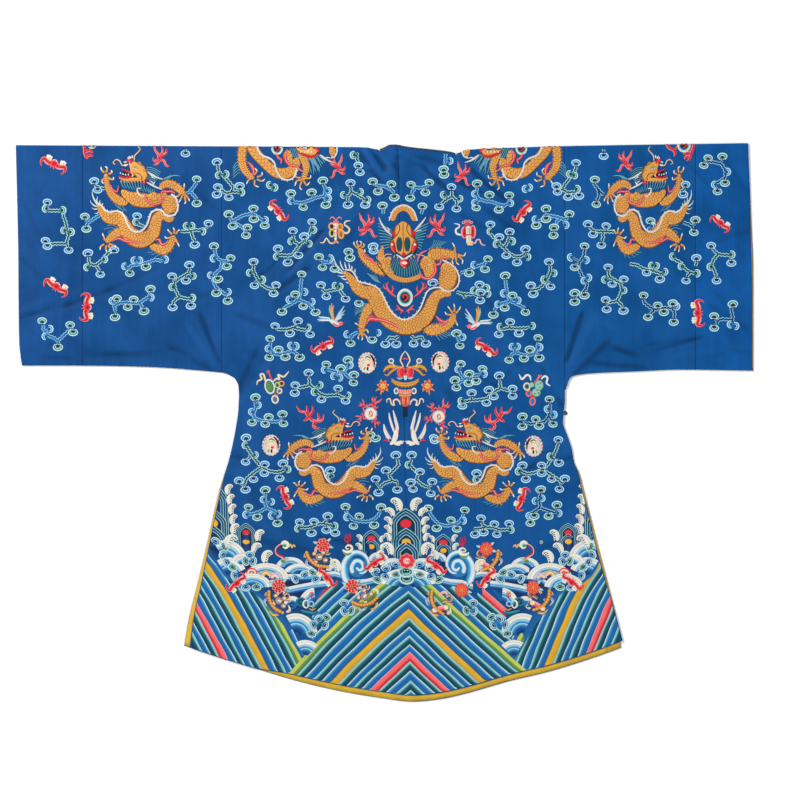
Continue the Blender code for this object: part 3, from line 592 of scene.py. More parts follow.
def overlap_front(material):
    """The outer front's right part, from the middle seam to the right side, under its curved upper edge."""
    columns = overlap_columns()
    columns[0] = OVERLAP_START + SEAM / 2
    heights = steps(COARSE, CORNER, SLEEVE_FOOT, [row[0] for row in SIDES[3:13]])
    rows = []
    for x_top in columns:
        share = (x_top - columns[0]) / (columns[-1] - columns[0])
        low = front_hem(mix(middle(CORNER) + SEAM / 2, RIGHT_FRONT(CORNER), share))
        y = mix(low, overlap_edge(x_top), heights)
        outer = np.where(y > 0, np.minimum(RIGHT_FRONT(y), columns[-1]), RIGHT_FRONT(y))
        x = mix(middle(y) + SEAM / 2, outer, share)
        x[-1] = x_top
        rows.append(lined_up(x, y, overlap_level(x, y)))
    piece, area = skin("overlap_front_cloth", rows, WALL)
    settle(piece, ["overlap_front"], "blue_satin", material, OVERLAP_FLAT, area)


def tube(name, seam, end_upper, end_lower, under, foot_x, material, flat):
    """A sleeve or cuff band pressed flat: rings up the upper layer, over the fold, down the lower one."""
    foot_y = under(foot_x)

    def layer(share, t, end, level):
        x = mix(seam, end(mix(foot_y, CUFF_TOP, t)), share)
        foot, fold = under(x), shoulder(x)
        low_gap = (back_level(x, foot) - front_level(x, foot)) / 2
        high_gap = (back_level(x, fold) - front_level(x, fold)) / 2
        y = mix(foot + low_gap, fold - high_gap, t)
        return lined_up(x, y, level(x, np.where(t == 0, foot, np.where(t == 1, fold, y))))

    length = abs(end_upper(0.35) - seam)
    near = (SEAM_DIP_REACH * 0.5, SEAM_DIP_REACH * 1.2)
    rings = steps(FINE, 0.0, length, [*near, 0.0026, 0.0060, 0.0100, length - near[1], length - near[0]])
    height = 0.46
    upper_shares = steps(FINE, 0.0, height, (0.003, 0.008, height - 0.008, height - 0.003))
    lower_shares = steps(0.010, 0.0, height, (0.003, 0.010, height - 0.010, height - 0.003))[::-1]
    rows = []
    for share in rings:
        ring = [layer(share, upper_shares, end_upper, back_level)]
        x = ring[0][-1, 0]
        fold = shoulder(x)
        ring.append(fold_over(x, fold, back_level(x, fold), front_level(x, fold)))
        ring.append(layer(share, lower_shares, end_lower, front_level))
        x = ring[2][-1, 0]
        foot = under(x)
        turned = fold_over(x, foot, back_level(x, foot), front_level(x, foot))[::-1]
        turned[:, 1] = 2 * foot - turned[:, 1]
        ring.append(turned)
        rows.append(np.concatenate(ring))
    piece, area = skin(name, rows, WALL, closed=True)
    settle(piece, [name.replace("_cloth", "")], "blue_satin", material, flat, area)


def strip(name, pairs, inner, material, flat):
    """A yellow facing from its edge inwards."""
    edge_line, inner_line = np.array(pairs)[:, 0], np.array(pairs)[:, 1]
    rows = []
    for share in np.linspace(0, 1, inner):
        flat_line = mix(edge_line, inner_line, share)
        rows.append(lined_up(flat_line[:, 0], flat_line[:, 1], FACING_Z))
    piece, area = skin(name + "_silk", np.stack(rows, axis=1), FACING_WALL)
    settle(piece, [name], "yellow_facing", material, flat, area)


def facings(material):
    """The yellow strips inside the front's hem, slit edges and cuffs, showing past the layer above."""
    past = SLIT_FACING_INSET + FACING_WIDTH + SEAM
    x = np.linspace(LEFT_FRONT(CORNER) + past, RIGHT_FRONT(CORNER) - past, 129)
    y = front_hem(x) + FACING_INSET
    hem = np.stack([np.stack([x, y], axis=-1), np.stack([x, y + FACING_WIDTH], axis=-1)], axis=1)
    strip("facing_hem", hem, 5, material, (FACING_WIDTH, 0.96))
    for name, column, inward in (("facing_slit_left", LEFT_FRONT, 1), ("facing_slit_right", RIGHT_FRONT, -1)):
        corner_x = column(CORNER)
        y = np.linspace(front_hem(corner_x) + FACING_INSET, SLIT_TOP, 70)
        x = column(y) + inward * SLIT_FACING_INSET
        y_in = y.copy()
        y_in[0] = front_hem(x[0] + inward * FACING_WIDTH) + FACING_INSET
        pairs = np.stack([np.stack([x, y], -1), np.stack([x + inward * FACING_WIDTH, y_in], -1)], axis=1)
        strip(name, pairs, 4, material, (FACING_WIDTH, 0.37))
    for name, end, under, inward, foot_x in (
        ("facing_cuff_left", cuff_end_left, under_left, 1, CUFF_FOOT_X),
        ("facing_cuff_right", cuff_end_right_lower, under_right, -1, SLEEVE_SEAM_RIGHT),
    ):
        t = np.linspace(0, 1, 70)
        x = end(mix(under(foot_x), CUFF_TOP, t)) + inward * FACING_INSET
        y = mix(under(x) + 0.004, shoulder(x) - 0.004, t)
        pairs = np.stack([np.stack([x, y], -1), np.stack([x + inward * CUFF_FACING_WIDTH, y], -1)], axis=1)
        strip(name, pairs, 4, material, (CUFF_FACING_WIDTH, 0.46))


def binding(name, path, material, flat):
    """A narrow strip just outside a cut edge. The path is that edge, walked with the cloth on its right."""
    path = np.asarray(path, float)
    out = directions(path[:, :2])[1]
    rows = []
    for share, sink in ((0.0, 0.0002), (0.25, 0.0), (0.5, 0.0), (0.75, 0.0), (1.0, 0.0003)):
        flat_line = path[:, :2] + out * (SEAM + BINDING_WIDTH * share)
        rows.append(lined_up(flat_line[:, 0], flat_line[:, 1], path[:, 2] - sink))
    piece, area = skin(name + "_silk", np.stack(rows, axis=1), WALL * 0.9)
    settle(piece, [name], "dark_binding", material, flat, area)


def bindings(material):
    """One strip along the back of the neck; one from the left of the neck round the overlap's edge."""
    left, right = top_columns(True)[1], top_columns(False)[1]
    back = np.concatenate([left, right[::-1]])
    back[0] = mix(back[0], back[1], 0.10)
    binding("neck_binding", lined_up(back, back_neck(back), back_level(back, back_neck(back))), material,
            (0.010, 0.20))
    front = left[:-1]
    columns = overlap_columns()
    columns[0] = OVERLAP_START + SEAM / 2
    x = np.concatenate([front, columns])
    y = np.concatenate([front_neck(front), overlap_edge(columns)])
    binding("overlap_binding", lined_up(x, y, FRONT_Z), material, (0.010, 0.66))


def new_material(name):
    """A material with only its output and a principled shader."""
    material = bpy.data.materials.new(name)
    material.use_nodes = True
    return material, material.node_tree, material.node_tree.nodes["Principled BSDF"]


def node(tree, kind, *values, **settings):
    """Adds a shader node. Its values, in the order of its inputs, are numbers, colours or nodes' outputs."""
    made = tree.nodes.new("ShaderNode" + kind)
    for key, value in settings.items():
        setattr(made, key, value)
    for socket, value in zip(made.inputs, values):
        if isinstance(value, bpy.types.NodeSocket):
            tree.links.new(value, socket)
        elif value is not None:
            socket.default_value = value
    return made


def maths(tree, operation, *values):
    """The result of a calculation on numbers or sockets."""
    return node(tree, "Math", *values, operation=operation).outputs[0]


def scaled(tree, vector, x, y, z):
    """The coordinates, stretched along each axis."""
    return node(tree, "VectorMath", vector, (x, y, z), operation="MULTIPLY").outputs[0]


def noise(tree, vector, scale, detail=3.0, roughness=0.5):
    """Soft unevenness, this many times a metre."""
    made = node(tree, "TexNoise", vector)
    made.inputs["Scale"].default_value = scale
    made.inputs["Detail"].default_value = detail
    made.inputs["Roughness"].default_value = roughness
    return made.outputs["Fac"]


def ramp(tree, factor, low, high):
    """The factor spread from 0 at low to 1 at high."""
    made = node(tree, "MapRange", factor, low, high, 0.0, 1.0)
    made.clamp = True
    return made.outputs[0]


def tint(tree, factor, first, second):
    """A colour between two."""
    made = tree.nodes.new("ShaderNodeMix")
    made.data_type = "RGBA"
    for socket, value in zip((made.inputs[0], made.inputs[6], made.inputs[7]), (factor, first, second)):
        if isinstance(value, bpy.types.NodeSocket):
            tree.links.new(value, socket)
        else:
            socket.default_value = value
    return made.outputs[2]


def dyed(tree, ground, seen, low, high, amount, dye):
    """The ground with a dye laid over it, by this amount where what is seen has passed from low to high."""
    return tint(tree, maths(tree, "MULTIPLY", ramp(tree, seen, low, high), amount), ground, dye)


def relief(tree, shader, height, strength, distance):
    """Bumps of this height, in units of the distance, on the shader's surface."""
    bump = node(tree, "Bump")
    bump.inputs["Strength"].default_value = strength
    bump.inputs["Distance"].default_value = distance
    tree.links.new(height, bump.inputs["Height"])
    tree.links.new(bump.outputs[0], shader.inputs["Normal"])


def satin(name, left, right, streaks):
    """Silk satin: a warp-faced weave with faint upright streaks, with painted highlight along its crease
    ridges and painted shade in its crease troughs.
    """
    material, tree, shader = new_material(name)
    place = node(tree, "TexCoord").outputs["Object"]
    across = node(tree, "SeparateXYZ", place).outputs[0]
    ground = tint(tree, ramp(tree, across, -0.35, 0.45), (*left, 1.0), (*right, 1.0))
    warp = noise(tree, scaled(tree, place, 1.0, 0.012, 0.3), 620.0, 2.0)
    broad = noise(tree, scaled(tree, place, 1.0, 0.05, 0.3), 90.0, 3.0)
    patchy = noise(tree, place, 9.0, 3.0)
    worn = noise(tree, scaled(tree, place, 1.0, 0.45, 1.0), 34.0, 5.0, 0.6)
    # The crease depth, which darkens the troughs with painted shade and lightens the ridges with painted
    # highlight.
    fold = node(tree, "Attribute", attribute_name="fold").outputs["Fac"]
    paler = (*(min(1.0, c * 1.45 + 0.004) for c in left), 1.0)
    darker = (*(c * 0.62 for c in right), 1.0)
    # Painted shade for the crease troughs.
    painted_crease_shade = (*(c * 0.30 for c in right), 1.0)
    for seen, low, high, amount, dye in (
        (warp, 0.48, 0.80, streaks, paler), (broad, 0.50, 0.85, streaks, darker),
        (patchy, 0.45, 0.72, 0.46, paler), (patchy, 0.50, 0.30, 0.48, darker),
        (worn, 0.52, 0.74, 0.30, paler), (worn, 0.48, 0.30, 0.34, darker),
        # The last two rows paint shade into the crease troughs and highlight onto the ridges.
        (fold, -0.12, -1.15, 0.64, painted_crease_shade), (fold, 0.15, 1.15, 0.42, paler),
    ):
        ground = dyed(tree, ground, seen, low, high, amount, dye)
    tree.links.new(ground, shader.inputs["Base Color"])
    sheen_patches = maths(tree, "MULTIPLY_ADD", patchy, 0.10, 0.40)
    tree.links.new(maths(tree, "MULTIPLY_ADD", warp, 0.08, sheen_patches), shader.inputs["Roughness"])
    shader.inputs["Specular IOR Level"].default_value = 0.09
    parts = node(tree, "SeparateXYZ", place)
    twill = maths(tree, "MULTIPLY_ADD", parts.outputs[1], 2600.0,
                  maths(tree, "MULTIPLY", parts.outputs[0], 9000.0))
    weave = maths(tree, "MULTIPLY", maths(tree, "SINE", twill), 0.35)
    crumple = maths(tree, "MULTIPLY", noise(tree, place, 26.0, 4.0, 0.45), 26.0)
    height = maths(tree, "ADD", maths(tree, "ADD", weave, crumple), maths(tree, "MULTIPLY", warp, 1.2))
    relief(tree, shader, height, 0.30, 0.00012)
    return material


def plain_silk(name, colour, weft):
    """Plain-woven silk, its ribs running across, handled a little darker in places."""
    material, tree, shader = new_material(name)
    place = node(tree, "TexCoord").outputs["Object"]
    patchy = noise(tree, place, 26.0, 4.0)
    slubs = noise(tree, scaled(tree, place, 1.0, 0.2, 1.0), 300.0, 2.0)
    worn = (*(c * 0.62 for c in colour), 1.0)
    bright = (*(min(1.0, c * 1.25) for c in colour), 1.0)
    ground = dyed(tree, (*colour, 1.0), patchy, 0.45, 0.75, 0.6, worn)
    ground = dyed(tree, ground, slubs, 0.55, 0.75, 0.4, bright)
    tree.links.new(ground, shader.inputs["Base Color"])
    shader.inputs["Roughness"].default_value = 0.55
    shader.inputs["Sheen Weight"].default_value = 0.10
    parts = node(tree, "SeparateXYZ", place)
    warp = maths(tree, "SINE", maths(tree, "MULTIPLY", parts.outputs[0], weft))
    fill = maths(tree, "SINE", maths(tree, "MULTIPLY", parts.outputs[1], weft))
    height = maths(tree, "ADD", maths(tree, "MULTIPLY", warp, fill), patchy)
    relief(tree, shader, height, 0.3, 0.00015)
    return material


def thread(name, stitch, metal, gloss, contrast):
    """Embroidery: each patch keeps its own dye in its colour attribute, and its stitches cross its run."""
    material, tree, shader = new_material(name)
    dye = node(tree, "Attribute", attribute_name="dye").outputs["Color"]
    run = node(tree, "SeparateXYZ", node(tree, "UVMap", uv_map="run").outputs[0])
    place = node(tree, "TexCoord").outputs["Object"]
    strands = maths(tree, "SINE", maths(tree, "MULTIPLY", run.outputs[0], 2 * math.pi / stitch))
    uneven = noise(tree, place, 900.0, 2.0)
    faded = noise(tree, place, 60.0, 3.0)
    shade = maths(tree, "MULTIPLY_ADD", strands, contrast, 1.0)
    shade = maths(tree, "MULTIPLY_ADD", maths(tree, "SUBTRACT", uneven, 0.5), contrast * 2, shade)
    shade = maths(tree, "MULTIPLY_ADD", maths(tree, "SUBTRACT", faded, 0.5), 0.30, shade)
    coloured = node(tree, "VectorMath", dye, operation="SCALE")
    tree.links.new(shade, coloured.inputs["Scale"])
    tree.links.new(coloured.outputs[0], shader.inputs["Base Color"])
    shader.inputs["Metallic"].default_value = metal
    shader.inputs["Roughness"].default_value = gloss
    shader.inputs["Specular IOR Level"].default_value = 0.18
    height = maths(tree, "MULTIPLY_ADD", uneven, 0.8, strands)
    relief(tree, shader, height, 0.30, 0.00012)
    return material


# Thread dyes, as the colour that the eye sees.
# The dyes of the threads, as they are seen.
DYES = {
    "frost": (0.69, 0.85, 0.93), "leaf": (0.71, 0.85, 0.86), "sage": (0.15, 0.46, 0.47),
    "deep": (0.07, 0.30, 0.40), "rust": (0.60, 0.35, 0.15), "haze": (0.42, 0.64, 0.70),
    "azure": (0.14, 0.43, 0.62), "straw": (0.93, 0.73, 0.41), "pine": (0.00, 0.22, 0.30),
    "mustard": (0.78, 0.60, 0.17), "white": (0.86, 0.86, 0.82), "cream": (0.86, 0.81, 0.70),
    "pale": (0.68, 0.82, 0.84), "mint": (0.52, 0.73, 0.69), "sky": (0.25, 0.58, 0.76),
    "blue": (0.06, 0.37, 0.62), "royal": (0.01, 0.26, 0.49), "navy": (0.02, 0.12, 0.28),
    "teal": (0.02, 0.39, 0.45), "green": (0.02, 0.28, 0.31), "moss": (0.32, 0.52, 0.26),
    "forest": (0.01, 0.18, 0.21), "gold": (0.85, 0.60, 0.30), "amber": (0.80, 0.54, 0.20),
    "umber": (0.62, 0.38, 0.16), "yellow": (0.85, 0.66, 0.16), "lime": (0.71, 0.75, 0.32),
    "red": (0.84, 0.17, 0.21), "crimson": (0.64, 0.09, 0.14), "coral": (0.90, 0.40, 0.41),
    "pink": (0.93, 0.66, 0.64), "lilac": (0.62, 0.59, 0.74), "brown": (0.26, 0.18, 0.15),
    "ink": (0.08, 0.08, 0.14),
}


def linear(seen):
    """The light that a colour stands for."""
    seen = np.asarray(seen, float)
    return np.where(seen <= 0.04045, seen / 12.92, ((seen + 0.055) / 1.055) ** 2.4)


def on_back(x, y, lift):
    """Places on the upper layer, which turns over at the shoulder fold and runs on below."""
    fold = shoulder(x)
    upper, lower = back_level(x, fold), front_level(x, fold)
    radius = (upper - lower) / 2
    start = fold - radius
    past = np.maximum(0.0, y - start)
    angle = np.minimum(np.pi, past / radius)
    beyond = np.maximum(0.0, past - np.pi * radius)
    reach = radius + WALL / 2 + lift
    flat = np.minimum(y, start)
    top = back_level(x, np.where(y > start, fold, y)) + WALL / 2 + lift
    turned_y = start + reach * np.sin(angle) - beyond
    turned_z = lower + radius + reach * np.cos(angle)
    under = front_level(x, turned_y) - WALL / 2 - lift
    over = y > start
    z = np.where(over, np.where(beyond > 0, under, turned_z), top)
    return np.stack([x, np.where(over, turned_y, flat), z], axis=-1)


PRESSED = 0.4  # share of its height that embroidery keeps under the robe


def on_front(x, y, lift):
    """Places on the outside of the front, which faces down."""
    level = np.where((x > middle(y)) & (past_overlap(x, y) < 0), overlap_level(x, y), front_level(x, y))
    return np.stack([x, y, level - WALL / 2 - lift * PRESSED], axis=-1)


# How far inside the outline the embroidery ends. Then, left and right, the Y above which the sleeve's lower
# edge and its cuff bound it.
TRIM = 0.0016
SLEEVES_ABOVE = (0.06, 0.04)
CUFFS_ABOVE = (0.098, 0.072)


def back_limits(x, y):
    """The nearest place inside the upper layer's outline."""
    in_left = (x < SLEEVE_SEAM_LEFT) & (y > SLEEVES_ABOVE[0])
    in_right = (x > SLEEVE_SEAM_RIGHT) & (y > SLEEVES_ABOVE[1])
    low = np.where(in_left, under_left(x), np.where(in_right, under_right(x), back_hem(x)))
    y = np.maximum(y, low + TRIM)
    left = np.where(in_left, cuff_end_left(y), LEFT_BACK(y)) + TRIM
    right = np.where(in_right, cuff_end_right(y), RIGHT_BACK(y)) - TRIM
    left = np.where(y > CUFFS_ABOVE[0], np.minimum(left, cuff_end_left(y) + TRIM), left)
    right = np.where(y > CUFFS_ABOVE[1], np.maximum(right, cuff_end_right(y) - TRIM), right)
    return np.clip(x, left, right), y


def front_limits(x, y):
    """The nearest place inside the front's outline below the sleeves."""
    y = np.maximum(y, front_hem(x) + TRIM)
    return np.clip(x, LEFT_FRONT(y) + TRIM, RIGHT_FRONT(y) - TRIM), y


def smooth(path, step):
    """A line of places about a step apart, curving through the given ones."""
    path = np.asarray(path, float)
    if len(path) < 3:
        count = max(2, int(np.ceil(np.linalg.norm(path[-1] - path[0]) / step)) + 1)
        return mix(path[0], path[-1], np.linspace(0, 1, count)[:, None])
    padded = np.concatenate([[2 * path[0] - path[1]], path, [2 * path[-1] - path[-2]]])
    places = [path[:1]]
    for a, b, c, d in zip(padded, padded[1:], padded[2:], padded[3:]):
        count = max(2, int(np.ceil(np.linalg.norm(c - b) / step)))
        t = (np.arange(1, count + 1) / count)[:, None]
        places.append(0.5 * (2 * b + (c - a) * t + (2 * a - 5 * b + 4 * c - d) * t**2
                             + (3 * b - a - 3 * c + d) * t**3))
    return np.concatenate(places)


def arc(centre, rx, ry, start, end, count=13, turn=0.0):
    """Places along part of an ellipse, from one angle in degrees to another."""
    angles = np.radians(np.linspace(start, end, count))
    x, y = rx * np.cos(angles), ry * np.sin(angles)
    c, s = math.cos(math.radians(turn)), math.sin(math.radians(turn))
    return np.stack([centre[0] + x * c - y * s, centre[1] + x * s + y * c], axis=-1)


class Spot:
    """Where a motif sits: its middle in mm, turn in degrees, size, -1 where it is mirrored, stretch.

    About says that its X counts from the middle seam.
    """

    def __init__(self, x=0.0, y=0.0, turn=0.0, size=1.0, mirror=1, about=None, wide=1.0, tall=1.0):
        self.x, self.y, self.size, self.mirror, self.about = x, y, size, mirror, about
        self.cos, self.sin = math.cos(math.radians(turn)), math.sin(math.radians(turn))
        self.wide, self.tall = wide, tall

    def __call__(self, points):
        points = np.asarray(points, float) * self.size
        px, py = points[..., 0] * self.mirror * self.wide, points[..., 1] * self.tall
        x = self.x + px * self.cos - py * self.sin
        y = self.y + px * self.sin + py * self.cos
        if self.about:
            x = x + middle(y * MM) / MM
        return np.stack([x, y], axis=-1)

    @property
    def turned_over(self):
        return self.mirror < 0


class Work:
    """Embroidery for one piece: bands, ribbons and dots of thread on the flat cloth, in mm."""

    def __init__(self):
        self.points, self.lifts, self.dyes, self.runs, self.faces = [], [], [], [], []
        self.count = 0
        self.spot = Spot()
        self.lift = 0.0

    def add(self, points, lifts, dyes, runs, faces):
        points = self.spot(points)
        if self.spot.turned_over:
            faces = faces[:, ::-1]
        self.points.append(points.reshape(-1, 2))
        self.lifts.append(np.asarray(lifts, float).reshape(-1) + self.lift)
        self.dyes.append(np.asarray(dyes, float).reshape(-1, 3))
        self.runs.append(np.asarray(runs, float).reshape(-1, 2) * self.spot.size)
        self.faces.append(faces + self.count)
        self.count += points.size // 2

    def band(self, left, right, tones, lift=0.15, crown=0.25):
        """Thread between two lines of as many places. Tones are (share of the width, dye)."""
        left, right = np.asarray(left, float), np.asarray(right, float)
        shares = np.array([share for share, _ in tones])
        dyes = np.array([linear(DYES[dye]) for _, dye in tones])
        rows, width = len(left), len(shares)
        points = left[:, None] + (right - left)[:, None] * shares[None, :, None]
        run = along((left + right) / 2)
        across = np.linalg.norm(right - left, axis=1)[:, None] * shares[None, :]
        lifts = np.broadcast_to(lift + crown * (1 - (2 * shares - 1) ** 2), (rows, width))
        runs = np.stack([np.broadcast_to(run[:, None], (rows, width)), across], axis=-1) * MM
        index = np.arange(rows * width).reshape(rows, width)
        faces = np.stack([index[:-1, :-1], index[:-1, 1:], index[1:, 1:], index[1:, :-1]], -1).reshape(-1, 4)
        self.add(points, lifts, np.broadcast_to(dyes, (rows, width, 3)), runs, faces)

    def ribbon(self, path, width, dye, lift=0.15, crown=0.25, step=3.0, across=None, blunt=False):
        """A line of thread along a path, as wide as its numbers say, rounded at its ends."""
        line = smooth(path, step)
        length = along(line)
        total = length[-1]
        widths = np.atleast_1d(np.asarray(width, float))
        if not blunt:
            end = min(widths.max() / 2, total / 3)
            extra = np.array([0.08, 0.3, 0.65]) * end
            at = np.unique(np.concatenate([length, extra, total - extra]))
            line = np.stack([np.interp(at, length, line[:, 0]), np.interp(at, length, line[:, 1])], axis=-1)
            length = at
        size = np.interp(length / total, np.linspace(0, 1, len(widths)), widths)
        if not blunt:
            near = np.minimum(length, total - length)
            size = size * np.sqrt(np.clip(1 - (1 - np.minimum(near / (size / 2 + 1e-9), 1)) ** 2, 0.02, 1))
        side = directions(line)[1] * size[:, None] / 2
        if across is None:
            across = 3 if widths.max() < 9 else 5 if widths.max() < 20 else 7
        tones = [(share, dye) for share in np.linspace(0, 1, across)]
        if isinstance(dye, tuple):
            tones = [(share, dye[int(round(share * (len(dye) - 1)))]) for share in np.linspace(0, 1, across)]
        if isinstance(dye, list):
            tones = dye
        self.band(line + side, line - side, tones, lift, crown)

    def dot(self, centre, rx, ry, dye, lift=0.15, crown=0.3, turn=0.0, rim=None, count=12):
        """A round patch of thread; its rim may have another dye."""
        shares = (1.0, 0.72, 0.35) if rim else (1.0, 0.5)
        names = (rim, dye, dye) if rim else (dye, dye)
        rings = [arc(centre, rx * s, ry * s, 0, 360, count + 1, turn)[:-1] for s in shares]
        points = np.concatenate([*rings, [centre]])
        lifts = np.concatenate([[lift + crown * (1 - s * s)] * count for s in shares] + [[lift + crown]])
        dyes = np.concatenate([[linear(DYES[n])] * count for n in names] + [[linear(DYES[dye])]])
        around = np.arange(count)
        beside = (around + 1) % count
        quads = [np.stack([k * count + around, k * count + beside, (k + 1) * count + beside,
                           (k + 1) * count + around], -1) for k in range(len(shares) - 1)]
        last = (len(shares) - 1) * count
        hub = np.full(count, last + count)
        fan = np.stack([last + around, last + beside, hub, hub], -1)
        self.add(points, lifts, dyes, points * MM, np.concatenate([*quads, fan]))

    def scales(self, path, width, size, dye, lift, cover=0.86, share=1.0):
        """Rows of small arcs, like a fish's scales, over a ribbon of this path and width."""
        line = smooth(path, 1.5)
        length = along(line)
        widths = np.atleast_1d(np.asarray(width, float))
        ahead, side = directions(line)
        angles = np.radians(np.linspace(-80, 80, 5))
        for row, at in enumerate(np.arange(size * 0.6, length[-1] - size * 0.3, size * 0.62)):
            here = np.array([np.interp(at, length, line[:, k]) for k in (0, 1)])
            go = np.array([np.interp(at, length, ahead[:, k]) for k in (0, 1)])
            out = np.array([np.interp(at, length, side[:, k]) for k in (0, 1)])
            room = np.interp(at / length[-1], np.linspace(0, 1, len(widths)), widths) * cover
            fit = max(1, int(room / size))
            places = (np.arange(fit) - (fit - 1) / 2) * room / fit
            if row % 2 and fit > 1:
                places = places[:-1] + room / fit / 2
            for place in places:
                bow = np.cos(angles)[:, None] * go * 0.9 + np.sin(angles)[:, None] * out
                outer, inner = (here + out * place + size * share * reach * bow for reach in (0.5, 0.27))
                self.band(outer, inner, [(0, dye), (1, dye)], lift, 0.0)

    def piece(self, name, material, place, limits):
        """Lays the work on the cloth, cut off at its edges, as one piece."""
        flat = np.concatenate(self.points) * MM
        lift = np.concatenate(self.lifts) * MM
        faces = np.concatenate(self.faces)
        x, y = limits(flat[:, 0], flat[:, 1])
        outside = np.hypot(x - flat[:, 0], y - flat[:, 1]) > 1e-7
        faces = faces[~outside[faces].all(axis=1)]
        spots = place(x, y, lift)
        keep = np.unique(faces)
        renumber = np.zeros(len(spots), int)
        renumber[keep] = np.arange(len(keep))
        faces = renumber[faces]
        if place is on_front:
            faces = faces[:, ::-1]
        lists = [f[:3] if f[3] == f[2] else f[1:] if f[0] == f[1] else f for f in faces.tolist()]
        piece = mesh_object(name, spots[keep].tolist(), lists)
        mesh = piece.data
        mesh.shade_smooth()
        dye = mesh.attributes.new("dye", "FLOAT_COLOR", "POINT")
        rgba = np.ones((len(keep), 4), np.float32)
        rgba[:, :3] = np.concatenate(self.dyes)[keep]
        dye.data.foreach_set("color", rgba.ravel())
        runs = np.concatenate(self.runs)[keep]
        corner = np.empty(len(mesh.loops), np.int32)
        mesh.loops.foreach_get("vertex_index", corner)
        layer = mesh.uv_layers.new(name="run")
        layer.data.foreach_set("uv", runs[corner].astype(np.float32).ravel())
        mesh.materials.append(material)
        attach(piece, "root")
        return piece


# Dyes across a shaded band, from its pale outer edge to its dark inner one.
SHADES = {
    "blue": [(0, "white"), (0.08, "pale"), (0.20, "sky"), (0.46, "blue"), (0.82, "blue"), (1, "royal")],
    "green": [(0, "frost"), (0.08, "mint"), (0.20, "mint"), (0.36, "teal"), (0.72, "pine"), (1, "pine")],
    "yellow": [(0, "brown"), (0.08, "mustard"), (0.25, "yellow"), (0.60, "mustard"), (0.90, "mustard"),
               (1, "brown")],
    "red": [(0, "pink"), (0.14, "coral"), (0.45, "coral"), (0.72, "red"), (1, "crimson")],
    "lime": [(0, "lime"), (0.40, "lime"), (0.60, "moss"), (0.85, "moss"), (1, "forest")],
    "wave": [(0, "sky"), (0.03, "white"), (0.13, "cream"), (0.15, "lilac"), (0.17, "white"), (0.29, "white"),
             (0.32, "sky"), (0.36, "pale"), (0.44, "sky"), (0.52, "blue"), (0.55, "pale"), (0.62, "sky"),
             (0.72, "blue"), (0.86, "royal"), (1, "navy")],
    "foam": [(0, "lilac"), (0.08, "white"), (0.30, "cream"), (0.34, "lilac"), (0.38, "white"), (0.52, "pale"),
             (0.66, "sky"), (0.80, "blue"), (1, "royal")],
    "rock": [(0, "pale"), (0.22, "mint"), (0.30, "teal"), (0.62, "forest"), (0.70, "ink"), (1, "ink")],
    "rock_blue": [(0, "pale"), (0.20, "sky"), (0.30, "blue"), (0.65, "royal"), (0.72, "navy"), (1, "navy")],
    "glow": [(0, "pink"), (0.3, "coral"), (0.6, "red"), (1, "crimson")],
}

# The dyes of a curl of water: rim, ring, the lobes at its foot, inside, core.
CURLS = {"green": ("pale", "mint", "mint", "green", "ink"), "blue": ("pale", "pale", "sky", "royal", "navy")}

# The dyes of a cloud: of its heads and of the arcs beside its stem (rim, inside, core), then its stem's.
CLOUDS = {
    "green": (("frost", "azure", "navy"), ("leaf", "sage", "forest"), ("forest", "mint", "frost")),
    "blue": (("leaf", "sage", "forest"), ("frost", "azure", "royal"), ("blue", "sky", "pale")),
    "dusk": (("leaf", "sage", "ink"), ("frost", "azure", "royal"), ("navy", "sky", "pale")),
}


def curl(work, x, y, up, size, family, lift):
    """One curl of the water: an open arch over a dark eye, with small lobes at its foot."""
    rim, ring, foot, inside, core = CURLS[family]
    kept = work.spot, work.lift
    work.spot, work.lift = spot_in(work, x, y, up - 90, size), kept[1] + lift
    work.dot((0, 0), 10.4, 7.0, inside, 0.00, 0.06, count=11)
    work.ribbon(arc((0, 0.2), 11.0, 7.9, -58, 238, 9), (1.6, 3.0, 3.2, 3.0, 1.6), rim, 0.08, 0.26, step=4)
    work.ribbon(arc((0, -0.4), 6.9, 4.6, -35, 215, 6), (1.0, 2.1, 2.3, 2.1, 1.0), ring, 0.10, 0.20, step=4)
    work.dot((0, -1.0), 4.0, 2.1, core, 0.12, 0.08, count=10)
    for side in (-1, 1):
        work.dot((side * 2.3, -2.2), 1.1, 0.9, "white", 0.20, 0.12, count=6)
        work.dot((side * 5.6, -5.4), 2.5, 1.9, foot, 0.14, 0.20, turn=side * 40, count=8)
    work.dot((0, -7.4), 2.8, 2.4, foot, 0.12, 0.20, count=8)
    work.spot, work.lift = kept


def straight(path, step):
    """Places along straight legs, their corners a little rounded."""
    path = np.asarray(path, float).reshape(-1, 2)
    far = along(path)
    at = np.linspace(0, far[-1], max(3, int(far[-1] / step) + 1))
    line = np.stack([np.interp(at, far, path[:, k]) for k in (0, 1)], axis=-1)
    line[1:-1] = (line[:-2] + 2 * line[1:-1] + line[2:]) / 4
    return line


def stem(work, path, family, lift, width=8.0):
    """A cloud's stem: a dark line between two knobbly light edges."""
    core, edge, light = CLOUDS[family][2]
    line = straight(path, 1.9)
    run = along(line)
    side = directions(line)[1]
    ends = np.minimum(1, 0.45 + np.minimum(run, run[-1] - run) / 3.0)
    knots = [ends * (0.22 + 0.31 * np.abs(np.sin(run * 0.44 + k)) ** 0.8) for k in (0.0, 1.3)]
    work.band(line + side * (width * knots[0])[:, None], line - side * (width * knots[1])[:, None],
              [(0, edge), (0.09, light), (0.22, edge), (0.31, core), (0.69, core), (0.78, edge),
               (0.91, light), (1, edge)], lift, 0.18)


